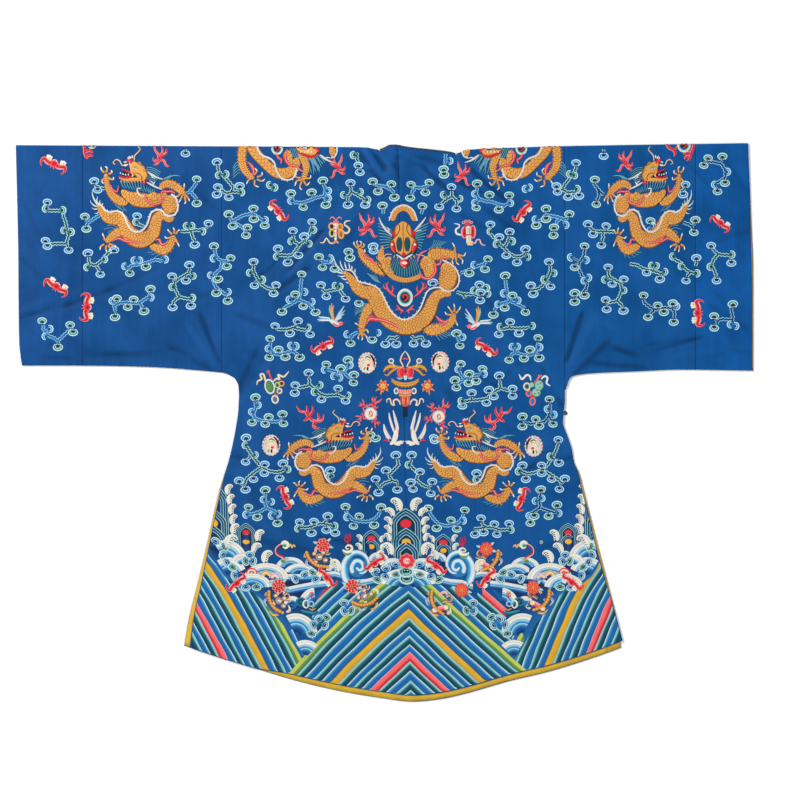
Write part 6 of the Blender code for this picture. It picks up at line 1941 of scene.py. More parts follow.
# Dragons stroke by stroke, from back to front: kind, lift, widths, then the places along it, in mm.
PROFILE = [
    ("fin", 0, (1.2, 3.4, 2.2, 0.6), -86.3, -1.8, -92.2, 9.8, -96.6, 20.7, -96, 31.9),
    ("fin", 0, (1.2, 2.8, 1.6, 0.6), -86.3, -4.1, -93.3, -1, -100, 5.2, -100.6, 9.5),
    ("fin", 0, (1.2, 2.5, 1.2, 0.6), -84.8, -6.9, -91.8, -8.8, -98.4, -5.4),
    ("fin", 0, (1.2, 2.5, 1.2, 0.6), -82.4, -12.7, -87.9, -17.3, -92.5, -16.6),
    ("fin", 0, (1.2, 2.8, 1.6, 0.6), -84, -0.2, -87.9, 8.3, -86, 17.9),
    ("fin", 0, (1.2, 2.5, 0.6), -79.3, -2.6, -82, 4.4, -81, 10.2),
    ("fin", 0, (1.2, 2.2, 0.6), -76.2, -4.9, -76.7, 1.3, -75.5, 4.4),
    ("hair", 0, 1.7, 30.2, -88, 24, -95.8, 16.2, -95.8),
    ("hair", 0, 1.7, 34.8, -89.6, 30.2, -98.9, 22.4, -100.4),
    ("hair", 0, 1.7, 39.5, -91.1, 36.4, -102, 30.2, -105.1),
    ("hair", 0, 1.7, 45.7, -92.7, 45.7, -103.5, 41, -108.2),
    ("hair", 0, 1.7, 51.9, -91.1, 55, -100.4, 51.9, -106.6),
    ("hair", 0, 1.7, -47.5, -50.7, -58.4, -46.1, -73.9, -49.2),
    ("hair", 0, 1.7, -44.4, -47.6, -53.7, -41.4, -67.7, -41.4),
    ("hair", 0, 1.7, -50.6, -55.4, -59.9, -52.3, -66.1, -56.9),
    ("hair", 0, 1.7, -41.3, 3.6, -35.1, -4.1, -27.3, -13.4),
    ("hair", 0, 1.7, -47.5, 5.2, -41.3, -5.7, -32, -11.9),
    ("hair", 0, 1.7, -53.7, 9.8, -49, -1, -39.7, -8.8),
    ("limb", 0.1, (9.3, 15.5, 19.4, 16.3, 12.4, 7.8), 19.3, -81.8, 33.3, -87.2, 47.3, -91.1, 58.1, -84.9,
     65.9, -70.9, 69, -60.8),
    ("limb", 0.1, (18.6, 17.1, 13.2, 9.3), -35.1, -53.1, -47.5, -56.9, -59.9, -66.3, -68.9, -76.4),
    ("limb", 0.1, (9.3, 13.2, 15.5, 14.8, 12.4, 8.5), 39.5, 34.7, 53.5, 43.2, 65.9, 40.9, 78.3, 33.1, 87.6,
     23.8, 90.7, 19.2),
    ("limb", 0.55, (7, 9.3, 11.2, 14.3, 17.4, 12.4), -69.5, 63.4, -67.7, 47.1, -64.6, 33.1, -56, 19.2,
     -42.8, 9.1, -25, 3.6),
    ("body", 0.3, (4.7, 10.9, 17.9, 23.3, 23.3, 23.3, 28, 31.1, 31.1, 28.7, 24.9, 22.5, 20.2, 18.6, 14,
     6.2), -86.3, 0.5, -78.6, -12.7, -66.9, -25.1, -53.7, -27.4, -40.5, -28.2, -32, -40.6, -22.6, -56.9,
     -8.7, -68.1, 8.4, -69.4, 24, -60, 30.2, -44.5, 34, -29, 41, -22, 50.4, -22, 59.7, -29, 69, -25.1),
    ("body", 0.62, (18.6, 28.7, 30.3, 28, 18.6), 62.8, 19.2, 60.5, 9.8, 60, -1, 60.5, -10.3, 61.2, -17.3),
    ("body", 0.42, (7.8, 18.6, 26.4, 26.4, 23.3, 20.2, 17.1), -37.4, 30, -25.7, 18.4, -10.2, 12.2, 8.4,
     9.1, 25.5, 9.1, 42.6, 13.7, 55, 20.7),
    ("body", 0.75, (12.4, 17.1, 17.1, 12.4), 17.7, 18.4, 24, 17.6, 31.7, 17.6, 37.9, 19.2),
    ("back", 0.8, 3.1, 62.8, 22.3, 72.1, 13.7, 76.5, -1, 75.2, -10.3, 69, -19.7, 55, -21.5, 47.3, -13.8,
     39.5, -9.6, 30.2, -10.7, 22.1, -16.6, 18.1, -27.4, 14.6, -38.3, 6.9, -49.2, -2.5, -54.1, -13.3, -53.1,
     -21.1, -46.1, -27.3, -35.2, -30.7, -24.3, -38.2, -15.3, -49, -12.2, -61.5, -14.2, -70.8, -10.3, -78.6,
     -1, -86.3, 3.6),
    ("line", 0.74, 1.9, -41.3, 36.3, -38.2, 20.7, -28.9, 8.3, -18, 0.5),
    ("line", 0.74, 1.9, 14.6, -84.9, 25.5, -77.1, 34.8, -66.3),
    ("line", 0.42, 1.9, -84.8, -2.6, -80.1, -10.3, -76.2, -19.7),
    ("sash", 0.98, (2.2, 5.3, 5.3, 5.3, 5.3, 5.3, 4.7, 4.7, 4.7, 4.7, 1.9), 10, 22.3, 12.3, 11.4, 19.3,
     3.6, 30.2, 1.3, 41, 4.4, 46.9, 12.2, 43.4, 20.7, 45.7, 27.7, 55, 26.9, 62.8, 27.7, 71.3, 23.5),
    ("sash", 0.85, (1.2, 4, 4.7, 3.1, 1.2), -60.2, 40.9, -55.3, 30.8, -47.5, 26.9, -44.4, 33.1, -44.1, 39.4),
    ("sash", 0.72, (1.2, 5.3, 4.7, 5.3, 4.3, 1.2), -55.3, -72.5, -42.8, -68.1, -28.9, -73.7, -13.3, -75.3,
     -0.9, -75.9, 10, -74),
    ("sash", 0.8, (0.9, 2.5, 2.8, 0.9), -42.8, -66.3, -33.5, -64.7, -22.6, -69.7, -13.3, -70.9),
    ("sash", 0.72, (1.2, 5.6, 6.2, 4.7, 1.2), 30.9, -71.7, 38.7, -70.1, 43.4, -79.5, 51.1, -78.7, 57.3,
     -72.5),
    ("claw", 0.7, (4, 3.1, 1.7), -72, 65, -77.6, 70.1, -79.5, 77.4),
    ("claw", 0.7, (4, 3.1, 1.7), -68.9, 65.8, -66.8, 74.3, -70.8, 78.5),
    ("claw", 0.7, (4, 3.1, 1.7), -64.6, 62.7, -57.1, 65.8, -58.7, 70.7),
    ("claw", 0.7, (4, 3.1, 1.7), -64.6, 54.9, -55.3, 51.5, -53.4, 56.8),
    ("claw", 0.7, (4, 3.1, 1.7), -72.3, 53.3, -77.3, 49, -74.5, 43.2),
    ("claw", 0.7, (4, 3.1, 1.7), 86.4, 28.5, 89.2, 36.3, 89.8, 44),
    ("claw", 0.7, (4, 3.1, 1.7), 92.3, 20.7, 98.5, 13, 100.1, 7.5),
    ("claw", 0.7, (4, 3.1, 1.7), 90.7, 17.6, 92.6, 7.5, 90.4, 1.8),
    ("claw", 0.7, (4, 3.1, 1.7), 86.4, 19.2, 82.2, 10.6, 78.6, 4.9),
    ("claw", 0.7, (4, 3.1, 1.7), 82.2, 22.3, 76, 17.3, 71.3, 17.3),
    ("claw", 0.7, (4, 3.1, 1.7), -71.1, -72.5, -74.5, -62.4, -76.4, -57.2),
    ("claw", 0.7, (4, 3.1, 1.7), -72.3, -79.5, -80.1, -85.2, -81, -91.4),
    ("claw", 0.7, (4, 3.1, 1.7), -68.5, -81.8, -68.9, -89.6, -67.4, -95.8),
    ("claw", 0.7, (4, 3.1, 1.7), -64.6, -81, -60.2, -88.8, -58.4, -93.4),
    ("claw", 0.7, (4, 3.1, 1.7), -63, -78.7, -50.9, -83, -48.7, -87.1),
    ("claw", 0.7, (4, 3.1, 1.7), 65.1, -65.5, 54.2, -67.5, 50, -63.5),
    ("claw", 0.7, (4, 3.1, 1.7), 65.1, -60, 58.4, -53.1, 55.9, -48.9),
    ("claw", 0.7, (4, 3.1, 1.7), 68.7, -58.5, 69.3, -50.7, 67.1, -45.8),
    ("claw", 0.7, (4, 3.1, 1.7), 72.1, -59.3, 76.8, -52.3, 80.8, -50.7),
    ("claw", 0.7, (4, 3.1, 1.7), 71.3, -67.8, 76.8, -77.9, 79.2, -84.6),
    ("hair", 0.5, 1.7, 13.1, 76.6, 27.1, 74.3, 42.6, 65.8),
    ("hair", 0.5, 1.7, 12.5, 72.9, 27.1, 70.3, 40.4, 61.7),
    ("hair", 0.5, 1.7, 11.8, 69.2, 27.1, 66.2, 38.2, 57.7),
    ("hair", 0.5, 1.7, 11.2, 65.5, 27.1, 62.2, 36.1, 53.6),
    ("hair", 0.5, 1.7, 10.6, 61.7, 27.1, 58.2, 33.9, 49.6),
    ("hair", 0.5, 1.7, 10, 58, 27.1, 54.1, 31.7, 45.6),
    ("hair", 0.5, 1.7, 9.4, 54.3, 27.1, 50.1, 29.5, 41.5),
    ("hair", 0.2, 1.6, 39.5, 50.2, 51.9, 54.9, 62.8, 61.1),
    ("hair", 0.2, 1.6, 43.8, 50.9, 55.9, 56.1, 67.4, 60.5),
    ("hair", 0.2, 1.6, 48.2, 51.5, 60, 57.4, 72.1, 59.9),
    ("hair", 0.2, 1.6, 52.5, 52.1, 64, 58.6, 76.8, 59.2),
    ("hair", 0.2, 1.6, 56.9, 52.7, 68.1, 59.9, 81.4, 58.6),
    ("hair", 0.86, 1.9, -39.7, 49.5, -36.6, 40.9, -32, 34.7),
    ("hair", 0.86, 1.9, -33.8, 49.5, -31, 40.3, -26.4, 33.6),
    ("hair", 0.86, 1.9, -27.9, 49.5, -25.4, 39.7, -20.8, 32.5),
    ("hair", 0.86, 1.9, -22, 49.5, -19.8, 39, -15.2, 31.4),
    ("hair", 0.86, 1.9, -16.1, 49.5, -14.3, 38.4, -9.6, 30.4),
    ("hair", 0.86, 1.9, -10.2, 49.5, -8.7, 37.8, -4, 29.3),
    ("hair", 0.86, 1.9, -4.3, 49.5, -3.1, 37.2, 1.6, 28.2),
    ("hair", 0.86, 1.9, 1.6, 49.5, 2.5, 36.6, 7.2, 27.1),
    ("hair", 0.86, 1.9, 7.5, 49.5, 8.1, 35.9, 12.8, 26),
    ("hair", 0.55, 1.7, 13.1, 36.3, 14.6, 30, 19.3, 24.6),
    ("hair", 0.55, 1.7, 17.1, 35, 18.4, 29.1, 22.4, 24),
    ("hair", 0.55, 1.7, 21.2, 33.8, 22.1, 28.2, 25.5, 23.4),
    ("hair", 0.55, 1.7, 25.2, 32.5, 25.8, 27.2, 28.6, 22.7),
    ("hair", 0.55, 1.7, 29.2, 31.3, 29.5, 26.3, 31.7, 22.1),
    ("horn", 0.95, (1.6, 4, 3.4, 1.6), 14.6, 67.6, 25.5, 60.8, 34.8, 55.7, 46, 52.4),
    ("horn", 0.95, (1.2, 2.5, 0.9), 22.4, 61.9, 25.5, 56.4, 30.2, 53.3),
    ("horn", 0.95, (1.6, 4, 3.4, 1.6), 11.8, 47.1, 24, 40.6, 33.3, 35.9, 44.5, 31.3),
    ("horn", 0.95, (1.2, 2.5, 0.9), 19.3, 49.5, 25.5, 45.6, 28.6, 40.9),
    ("horn", 0.95, (1.2, 2.5, 0.9), 22.4, 40.9, 27.1, 43.2, 30.2, 47.1),
    ("mouth", 1, (9.3, 14, 12.4, 6.2), -35.1, 65.8, -25.7, 62.7, -16.4, 59.6, -7.1, 58),
    ("face", 1.15, (3.1, 6.8, 7.1, 7.8, 9.3, 9.3), -42.5, 54.9, -32, 52.4, -19.5, 52.1, -7.1, 51.8, 3.8,
     53.3, 11.5, 59.6),
    ("lip", 1.3, (2.2, 4.7, 4.7, 3.7, 2.2), -43.1, 58.3, -35.1, 55.2, -22.6, 55.7, -14.9, 59.6, -11.5, 65),
    ("lip", 1.32, (1.9, 3.4, 3.1, 1.6), -13.3, 61.1, -22.6, 67, -32, 70.7, -37.6, 73.5),
    ("tooth", 1.5, (2.8, 1.2), -39.4, 62.7, -40, 66.7),
    ("tooth", 1.5, (2.8, 1.2), -34.1, 60.8, -34.8, 64.8),
    ("tooth", 1.5, (2.8, 1.2), -28.9, 59.6, -29.5, 63.6),
    ("tooth", 1.5, (2.8, 1.2), -23.3, 59.6, -23.9, 63.6),
    ("tooth", 1.5, (2.8, 1.2), -14.9, 57.2, -14.9, 61.9),
    ("face", 1.2, (9.3, 18.6, 23.3, 26.4, 23.3, 14), -21.7, 87.2, -14.9, 81.3, -7.1, 74.3, 1.4, 65.8, 6.9,
     58, 8.4, 50.2),
    ("face", 1.35, (2.2, 4, 4.7, 2.2), -16.4, 82.8, -18, 73.5, -16.4, 65.8, -11.8, 59.6),
    ("snout", 1.42, (4.7, 8.7, 7.8, 4), -27.3, 89.1, -23.3, 91.9, -19.5, 89.1, -18, 83.6),
    ("tooth", 1.5, (3.4, 1.6), -18.8, 94.5, -22.6, 99.9),
    ("tooth", 1.5, (3.4, 1.6), -16.4, 95, -15.5, 101.2),
    ("tooth", 1.5, (3.4, 1.6), -22.6, 92.9, -25, 97.4),
    ("tooth", 1.5, (3.4, 1.6), -27.3, 87.2, -33.2, 87.2),
    ("tooth", 1.5, (3.4, 1.6), -25, 82.8, -30.1, 78.5),
    ("tooth", 1.5, (3.4, 1.6), -28.9, 82.8, -32.3, 81.3),
    ("eyewhite", 1.5, (4.7, 6.8, 4.7), -14.6, 74.3, -10.8, 73.5, -7.1, 71.7),
    ("iris", 1.62, (2.8, 2.8), -11.5, 73.8, -9.9, 73.2),
    ("brow", 1.55, (1.9, 3.4, 1.9), -16.4, 77.9, -8.7, 78.5, -2.5, 73.5),
    ("brow", 1.55, (1.6, 2.5, 1.2), -4, 81.3, -2.5, 86.7, 3.8, 81.3),
    ("brow", 1.55, (1.6, 2.5, 1.2), 2.2, 78.2, 6.9, 78.2, 8.7, 72.8),
    ("ear", 1.6, (2.2, 4.7, 5.3, 2.2), 4.5, 71.2, 10.8, 66.5, 13.4, 59.6, 10, 51.8),
    ("line", 1.62, 1.4, -10.2, 65.8, -0.9, 62.7, 3.8, 56.4, 2.2, 50.2),
    ("spike", 1.2, (3.1, 0.9), -38.2, 50.2, -36.6, 44.8),
    ("spike", 1.2, (3.1, 0.9), -31.7, 50.2, -30.1, 44.8),
    ("spike", 1.2, (3.1, 0.9), -25.1, 50.2, -23.6, 44.8),
    ("spike", 1.2, (3.1, 0.9), -18.6, 50.2, -17.1, 44.8),
    ("spike", 1.2, (3.1, 0.9), -12.1, 50.2, -10.5, 44.8),
    ("spike", 1.2, (3.1, 0.9), -5.6, 50.2, -4, 44.8),
    ("spike", 1.2, (3.1, 0.9), 1, 50.2, 2.5, 44.8),
    ("spike", 1.2, (3.1, 0.9), 7.5, 50.2, 9, 44.8),
    ("wisp", 1.3, (2.5, 2.8, 2.5, 2.2, 1.6), -12.1, 89.8, -11.1, 99.9, -4, 107.7, 0, 113.1, -4, 118.9),
    ("wisp", 1.3, (2.5, 2.5, 2.5, 2.2, 1.6), -28.9, 79.4, -36.9, 81, -41.3, 89.1, -48.7, 91.9, -54.6, 85.6,
     -50, 82.5),
    ("lip", 1.5, (1.6, 3.4, 3.4, 1.6), 2.5, 47.1, 6.9, 43.2, 12.3, 45.6, 13.1, 51),
    ("horn", 1, (1.6, 2.8, 4, 3.1, 1.6), 1.6, 33.8, -5.2, 32.8, -3.7, 24.1, 5, 17.3, 8.7, 20.7),
]
FRONTAL = [
    ("fin", 0, (1.5, 3.4, 2.3, 0.8), -115.8, 5.8, -127.1, 16.2, -132.3, 27.4, -134.6, 36.2),
    ("fin", 0, (1.5, 2.8, 0.8), -113.9, 9.6, -119.2, 19, -121.8, 29.3),
    ("fin", 0, (1.5, 2.8, 0.8), -108.3, 11.1, -110.9, 18.6, -112.1, 26.1),
    ("fin", 0, (1.5, 2.8, 0.8), -103.1, 11.1, -102.7, 18.6, -104.6, 24.6),
    ("fin", 0, (1.5, 2.8, 0.8), -98.5, 9.2, -97.4, 15.6, -98.5, 18.6),
    ("fin", 0, (1.5, 3.4, 2.3, 0.8), -112.1, 2.1, -123.3, 4.9, -132.7, 8.6, -140.2, 13.3),
    ("fin", 0, (1.5, 2.8, 0.8), -106.4, -0.7, -117.7, -3.2, -126.3, -1.3),
    ("fin", 0, (1.5, 2.8, 0.8), -102.7, -6.4, -112.1, -9.2, -119.6, -5.1),
    ("fin", 0, (1.5, 2.8, 0.8), -98.5, -13.9, -104.6, -16.3, -110.2, -13.7),
    ("fin", 0, (1.5, 2.8, 0.8), -94.8, -22.3, -98.5, -25.1, -101.9, -22.3),
    ("fin", 0, (1.5, 2.8, 0.8), -93.3, 4, -91, 9.2, -92.2, 12.4),
    ("hair", 0, 1.7, 66.3, -114.3, 73.8, -123.7, 81.3, -133.1),
    ("hair", 0, 1.7, -59.5, -59.9, -74.5, -58, -91.4, -61.8),
    ("hair", 0, 1.7, -67, 4, -57.6, -5.4, -50.1, -12.9),
    ("hair", 0, 1.7, 56.9, 50.9, 66.3, 60.3, 70, 71.5),
    ("hair", 0, 1.7, 72.3, -114.3, 80.2, -122.9, 88.8, -130.1),
    ("hair", 0, 1.7, -61.4, -61.8, -76.8, -61.8, -91.4, -65.9),
    ("hair", 0, 1.7, -63.3, 2.8, -55, -6.6, -47.9, -13.7),
    ("hair", 0, 1.7, 61.4, 50.9, 69.6, 60.3, 74.9, 70.8),
    ("hair", 0, 1.7, 78.3, -114.3, 86.5, -122.2, 96.3, -127.1),
    ("hair", 0, 1.7, -63.3, -63.6, -79, -65.5, -91.4, -70),
    ("hair", 0, 1.7, -59.5, 1.7, -52.4, -7.7, -45.6, -14.4),
    ("hair", 0, 1.7, 65.9, 50.9, 73, 60.3, 79.8, 70),
    ("hair", 0, 1.7, 84.3, -114.3, 92.9, -121.4, 103.8, -124.1),
    ("hair", 0, 1.7, -65.1, -65.5, -81.3, -69.3, -91.4, -74.1),
    ("hair", 0, 1.7, -55.7, 0.6, -49.7, -8.8, -43.4, -15.2),
    ("hair", 0, 1.7, 70.4, 50.9, 76.4, 60.3, 84.7, 69.3),
    ("hair", 0, 1.7, 90.3, -114.3, 99.3, -120.7, 111.3, -121.1),
    ("hair", 0, 1.7, -67, -67.4, -83.5, -73, -91.4, -78.3),
    ("hair", 0, 1.7, -52, -0.6, -47.1, -9.9, -41.1, -15.9),
    ("hair", 0, 1.7, 74.9, 50.9, 79.8, 60.3, 89.5, 68.5),
    ("hair", 0, 1.7, 96.3, -114.3, 105.7, -119.9, 118.8, -118.1),
    ("hair", 0, 1.7, -68.9, -69.3, -85.8, -76.8, -91.4, -82.4),
    ("hair", 0, 1.7, -48.2, -1.7, -44.5, -11.1, -38.9, -16.7),
    ("hair", 0, 1.7, 79.4, 50.9, 83.2, 60.3, 94.4, 67.8),
    ("limb", 0.1, (18.8, 24.4, 23.5, 19.7, 15, 10.3), 47.5, -104.9, 64.4, -111.5, 83.2, -107.7, 100.1,
     -99.3, 107.6, -86.2, 109.8, -77.7),
    ("limb", 0.1, (24.4, 21, 16.9, 14.1, 9.8), -52, -59.9, -63.3, -69.3, -72.6, -84.3, -77.3, -103, -78.3,
     -119),
    ("limb", 0.1, (20.6, 22.2, 18.8, 15, 10.1), -25.7, 6.8, -42.6, 11.5, -61.4, 24.6, -76, 39.6, -82.8, 54.6),
    ("body", 0.3, (7.5, 16, 24.4, 28.2, 31.9, 34.7, 35.7, 34.7, 32.9, 34.7, 35.7, 32.9, 29.1, 25.3, 20.6,
     11.3), -113.9, 6.8, -99.9, -7.3, -87.7, -25.1, -72.6, -34.5, -57.6, -37.3, -47.3, -52.4, -37, -73,
     -20.1, -92.7, 4.3, -104.9, 27.8, -102.1, 47.5, -89.9, 59.7, -72.1, 66.3, -54.2, 75.7, -41.1, 90.7,
     -37.3, 103.8, -39.2),
    ("limb", 0.42, (25.0, 26.5, 24.0, 19.0, 13.0), 56.9, 38.6, 73.8, 42.4, 90.7, 41.9, 103.8, 41.5,
     115.5, 41.1),
    ("body", 0.55, (28.0, 36.8, 39.5, 39.0, 34.0), 88.6, 24.0, 96.4, 11.0, 98.0, -3.6, 93.2, -17.2, 85.4,
     -29),
    ("body", 0.5, (27.0, 36.0, 34.0, 26.0, 15.0), 51.3, 37.6, 55, 26.5, 58.8, 13.3, 56.9, 4, 53.1, -3.6),
    ("body", 0.5, (2.6, 11.3, 15, 16.9, 11.3), -34.7, 58.4, -37.7, 47.1, -38.5, 37.7, -35.1, 30.2, -25.7,
     22.7),
    ("body", 0.52, (7.5, 16.9, 20.6, 16.9, 9.4), -18.2, 35.9, -25.7, 28.4, -28.3, 19, -23.8, 9.6, -14.5, 2.1),
    ("body", 0.46, (11.3, 11.3, 10.5, 10.5, 9.4), -27.6, 7.7, -10.7, -5.4, 10, -10.7, 28.7, -7.3, 45.6, 0.2),
    ("back", 0.8, 3.2, 86, 30.2, 100.1, 23.1, 113.6, 11.5, 120, -7.3, 115.5, -23.3, 103.8, -32.1, 90.7,
     -31.7, 81.3, -25.7, 66.3, -26.5, 55, -34, 47.9, -50.5, 40, -69.3, 26.8, -83.9, 10, -90.3, -6.9, -84.7,
     -22, -67.4, -31.3, -48.6, -40.7, -31.7, -52, -22.3, -70.8, -16.7, -83.9, -12.9, -91, -0.2, -98.5, 8.6,
     -112.1, 11.1),
    ("line", 0.74, 1.9, -46.4, 22.7, -37, 9.6, -24.8, -4.5),
    ("line", 0.74, 1.9, 45.6, -109.1, 60.6, -99.7, 71.9, -82.8),
    ("sash", 0.98, (2.3, 5.6, 6, 6, 6, 6, 5.6, 5.3, 4.9, 1.9), 39.6, 7.3, 43.7, -3.2, 56.5, -7.7, 66.6,
     -2.1, 72.3, 9.6, 71.1, 19.7, 80.9, 22.7, 83.5, 32.1, 90.7, 35.5, 100.4, 36.2),
    ("sash", 0.9, (1.9, 4.9, 5.3, 1.9), 54.1, 49.4, 42.8, 43.4, 37.2, 34, 36.2, 26.1),
    ("sash", 0.85, (1.5, 4.5, 5.6, 6.8, 1.9), -79, 47.1, -68.5, 36.2, -59.5, 32.1, -53.9, 26.5, -49.7, 22),
    ("sash", 0.72, (1.5, 7.5, 8.3, 7.1, 6.4, 5.6, 1.5), -68.5, -100.2, -61.4, -89.9, -48.2, -89.9, -29.5,
     -93.7, -14.5, -100.2, -3.2, -105.9, 3.9, -109.1),
    ("sash", 0.8, (1.1, 3.8, 3.8, 1.1), -67, -97.4, -61.8, -85.2, -50.1, -83.3),
    ("sash", 0.72, (1.5, 6, 7.5, 5.6, 1.5), 72.8, -83.3, 81.3, -91.8, 90.7, -95.2, 98.2, -92.2),
    ("sash", 0.72, (1.5, 4.9, 4.9, 1.5), 78.5, -100.2, 86.9, -100.2, 94.8, -95.2),
    ("arch", 0.4, (11.6, 12.4, 12.4, 11.6), -16, 110, -8.4, 127.8, 7.1, 135.7, 21.6, 127.8, 30.2, 110),
    ("back", 0.62, 2.8, -22, 110, -14.5, 129.7, -4.1, 138.7, 7.1, 141.7, 17.5, 138.7, 27.8, 129.7, 35.3, 110),
    ("wisp", 0.9, (1.5, 1.9, 1.9, 1.5, 1.1), 32.5, 41.1, 45.6, 39.6, 57.3, 32.1, 64.8, 22.7, 57.3, 19.7),
    ("wisp", 0.9, (1.5, 1.9, 1.9, 1.5, 1.1), -16.7, 41.5, -27.6, 41.5, -37, 34, -44.5, 31.7, -48.2, 37.7),
    ("claw", 0.72, (4.5, 3.2, 1.7), -83.9, 52.8, -91.8, 59.9, -94, 67.4),
    ("claw", 0.72, (4.5, 3.2, 1.7), -83, 56.1, -87.7, 65, -85.8, 69.7),
    ("claw", 0.72, (4.5, 3.2, 1.7), -81.1, 57.5, -78.3, 65.5, -82.4, 68.5),
    ("claw", 0.72, (4.5, 3.2, 1.7), -79.2, 55.6, -73, 58.4, -74.1, 64),
    ("claw", 0.72, (4.5, 3.2, 1.7), -78.3, 50.9, -71.5, 46.8, -71.9, 52.4),
    ("claw", 0.72, (4.5, 3.2, 1.7), -76.4, -108.7, -86.5, -100.4, -91.8, -97.4),
    ("claw", 0.72, (4.5, 3.2, 1.7), -79.2, -118.1, -84.7, -125.2, -83.5, -130.8),
    ("claw", 0.72, (4.5, 3.2, 1.7), -77.3, -119, -76, -127.8, -77.9, -132.7),
    ("claw", 0.72, (4.5, 3.2, 1.7), -75.5, -118.1, -68.5, -124.1, -66.6, -129.7),
    ("claw", 0.72, (4.5, 3.2, 1.7), -75.5, -114.3, -67.8, -110.9, -64, -118.1),
    ("claw", 0.72, (4.5, 3.2, 1.7), 105.7, -81.5, 94.8, -80.1, 91.4, -74.5),
    ("claw", 0.72, (4.5, 3.2, 1.7), 106.6, -77.7, 100.4, -68.5, 96.7, -63.3),
    ("claw", 0.72, (4.5, 3.2, 1.7), 109.8, -75.8, 110.6, -65.5, 109.1, -58.4),
    ("claw", 0.72, (4.5, 3.2, 1.7), 112.8, -77.7, 119.6, -70.4, 123.3, -64),
    ("claw", 0.72, (4.5, 3.2, 1.7), 110.4, -87.1, 115.1, -98.4, 117.3, -103.4),
    ("claw", 0.72, (4.5, 3.2, 1.7), 111.3, 43.4, 110.6, 56.5, 106.1, 65.5),
    ("claw", 0.72, (4.5, 3.2, 1.7), 117, 41.9, 129, 38.9, 133.5, 45.2),
    ("claw", 0.72, (4.5, 3.2, 1.7), 117, 39.6, 126.7, 30.2, 126.3, 22),
    ("claw", 0.72, (4.5, 3.2, 1.7), 114.1, 37.7, 114.7, 26.1, 120, 20.1),
    ("claw", 0.72, (4.5, 3.2, 1.7), 110.4, 37.7, 106.1, 28.4, 108.3, 21.6),
    ("hair", 0.4, 2.3, -16.7, 90.3, -29.5, 97.8, -45.4, 105.3),
    ("hair", 0.4, 2.3, 30.6, 90.3, 42.8, 97.8, 58.4, 105.3),
    ("hair", 0.4, 2.3, -16.7, 86.2, -28.9, 92.6, -44.7, 98.6),
    ("hair", 0.4, 2.3, 30.6, 86.2, 42.2, 92.6, 56.5, 98.6),
    ("hair", 0.4, 2.3, -16.7, 82, -28.3, 87.3, -43.9, 91.8),
    ("hair", 0.4, 2.3, 30.6, 82, 41.7, 87.3, 54.6, 91.8),
    ("hair", 0.4, 2.3, -16.7, 77.9, -27.8, 82, -43.2, 85),
    ("hair", 0.4, 2.3, 30.6, 77.9, 41.1, 82, 52.8, 85),
    ("hair", 0.4, 2.3, -16.7, 73.8, -27.2, 76.8, -42.4, 78.3),
    ("hair", 0.4, 2.3, 30.6, 73.8, 40.6, 76.8, 50.9, 78.3),
    ("hair", 0.4, 2.3, -16.7, 69.7, -26.7, 71.5, -41.7, 71.5),
    ("hair", 0.4, 2.3, 30.6, 69.7, 40, 71.5, 49, 71.5),
    ("hair", 0.4, 2.3, -16.7, 65.5, -26.1, 66.3, -40.9, 64.8),
    ("hair", 0.4, 2.3, 30.6, 65.5, 39.4, 66.3, 47.1, 64.8),
    ("hair", 0.4, 2.3, -16.7, 61.4, -25.5, 61, -40.2, 58),
    ("hair", 0.4, 2.3, 30.6, 61.4, 38.9, 61, 45.2, 58),
    ("hair", 0.4, 2.3, -16.7, 57.3, -25, 55.8, -39.4, 51.3),
    ("hair", 0.4, 2.3, 30.6, 57.3, 38.3, 55.8, 43.4, 51.3),
    ("mane", 0.62, (61.9, 67.6, 63.8, 37.5), 9, 32.1, 9, 20.8, 9, 9.6, 9, -2.6),
    ("strand", 0.82, 1.7, -11.6, 32.1, -19.1, 17.1, -24.4, 4),
    ("strand", 0.82, 1.7, -8.2, 32.1, -14.5, 16.5, -18.8, 1.4),
    ("strand", 0.82, 1.7, -4.8, 32.1, -9.8, 15.8, -13.3, -0.6),
    ("strand", 0.82, 1.7, -1.3, 32.1, -5.1, 15.2, -7.7, -2.2),
    ("strand", 0.82, 1.7, 2.1, 32.1, -0.4, 14.6, -2.1, -3.4),
    ("strand", 0.82, 1.7, 5.6, 32.1, 4.3, 14, 3.4, -4.1),
    ("strand", 0.82, 1.7, 9, 32.1, 9, 13.3, 9, -4.3),
    ("strand", 0.82, 1.7, 12.5, 32.1, 13.7, 14, 14.6, -4.1),
    ("strand", 0.82, 1.7, 15.9, 32.1, 18.4, 14.6, 20.2, -3.4),
    ("strand", 0.82, 1.7, 19.3, 32.1, 23.1, 15.2, 25.7, -2.2),
    ("strand", 0.82, 1.7, 22.8, 32.1, 27.8, 15.8, 31.3, -0.6),
    ("strand", 0.82, 1.7, 26.2, 32.1, 32.5, 16.5, 36.9, 1.4),
    ("strand", 0.82, 1.7, 29.7, 32.1, 37.2, 17.1, 42.4, 4),
    ("horn", 0.95, (1.5, 4.1, 3.8, 1.5), -16.7, 80, -29.1, 91.8, -37, 103.1, -43, 116.6),
    ("horn", 0.95, (1.1, 2.6, 1.1), -22, 86.5, -23.5, 93.7, -27.2, 96.7),
    ("horn", 0.95, (1.5, 4.1, 3.8, 1.5), 29.1, 89.4, 40, 101.2, 47.5, 110, 52.4, 117.5),
    ("horn", 0.95, (1.1, 2.6, 1.1), 31.5, 87.5, 38.1, 90.3, 43.7, 90.7),
    ("face", 1, (16.9, 35.7, 37.5, 40.4, 54.4, 54.8, 40.4, 13.1), 6.2, 108.7, 6.2, 98.7, 6.2, 88.4, 6.2,
     79, 6.8, 69.7, 7.1, 59.3, 7.5, 47.1, 7.5, 38.5),
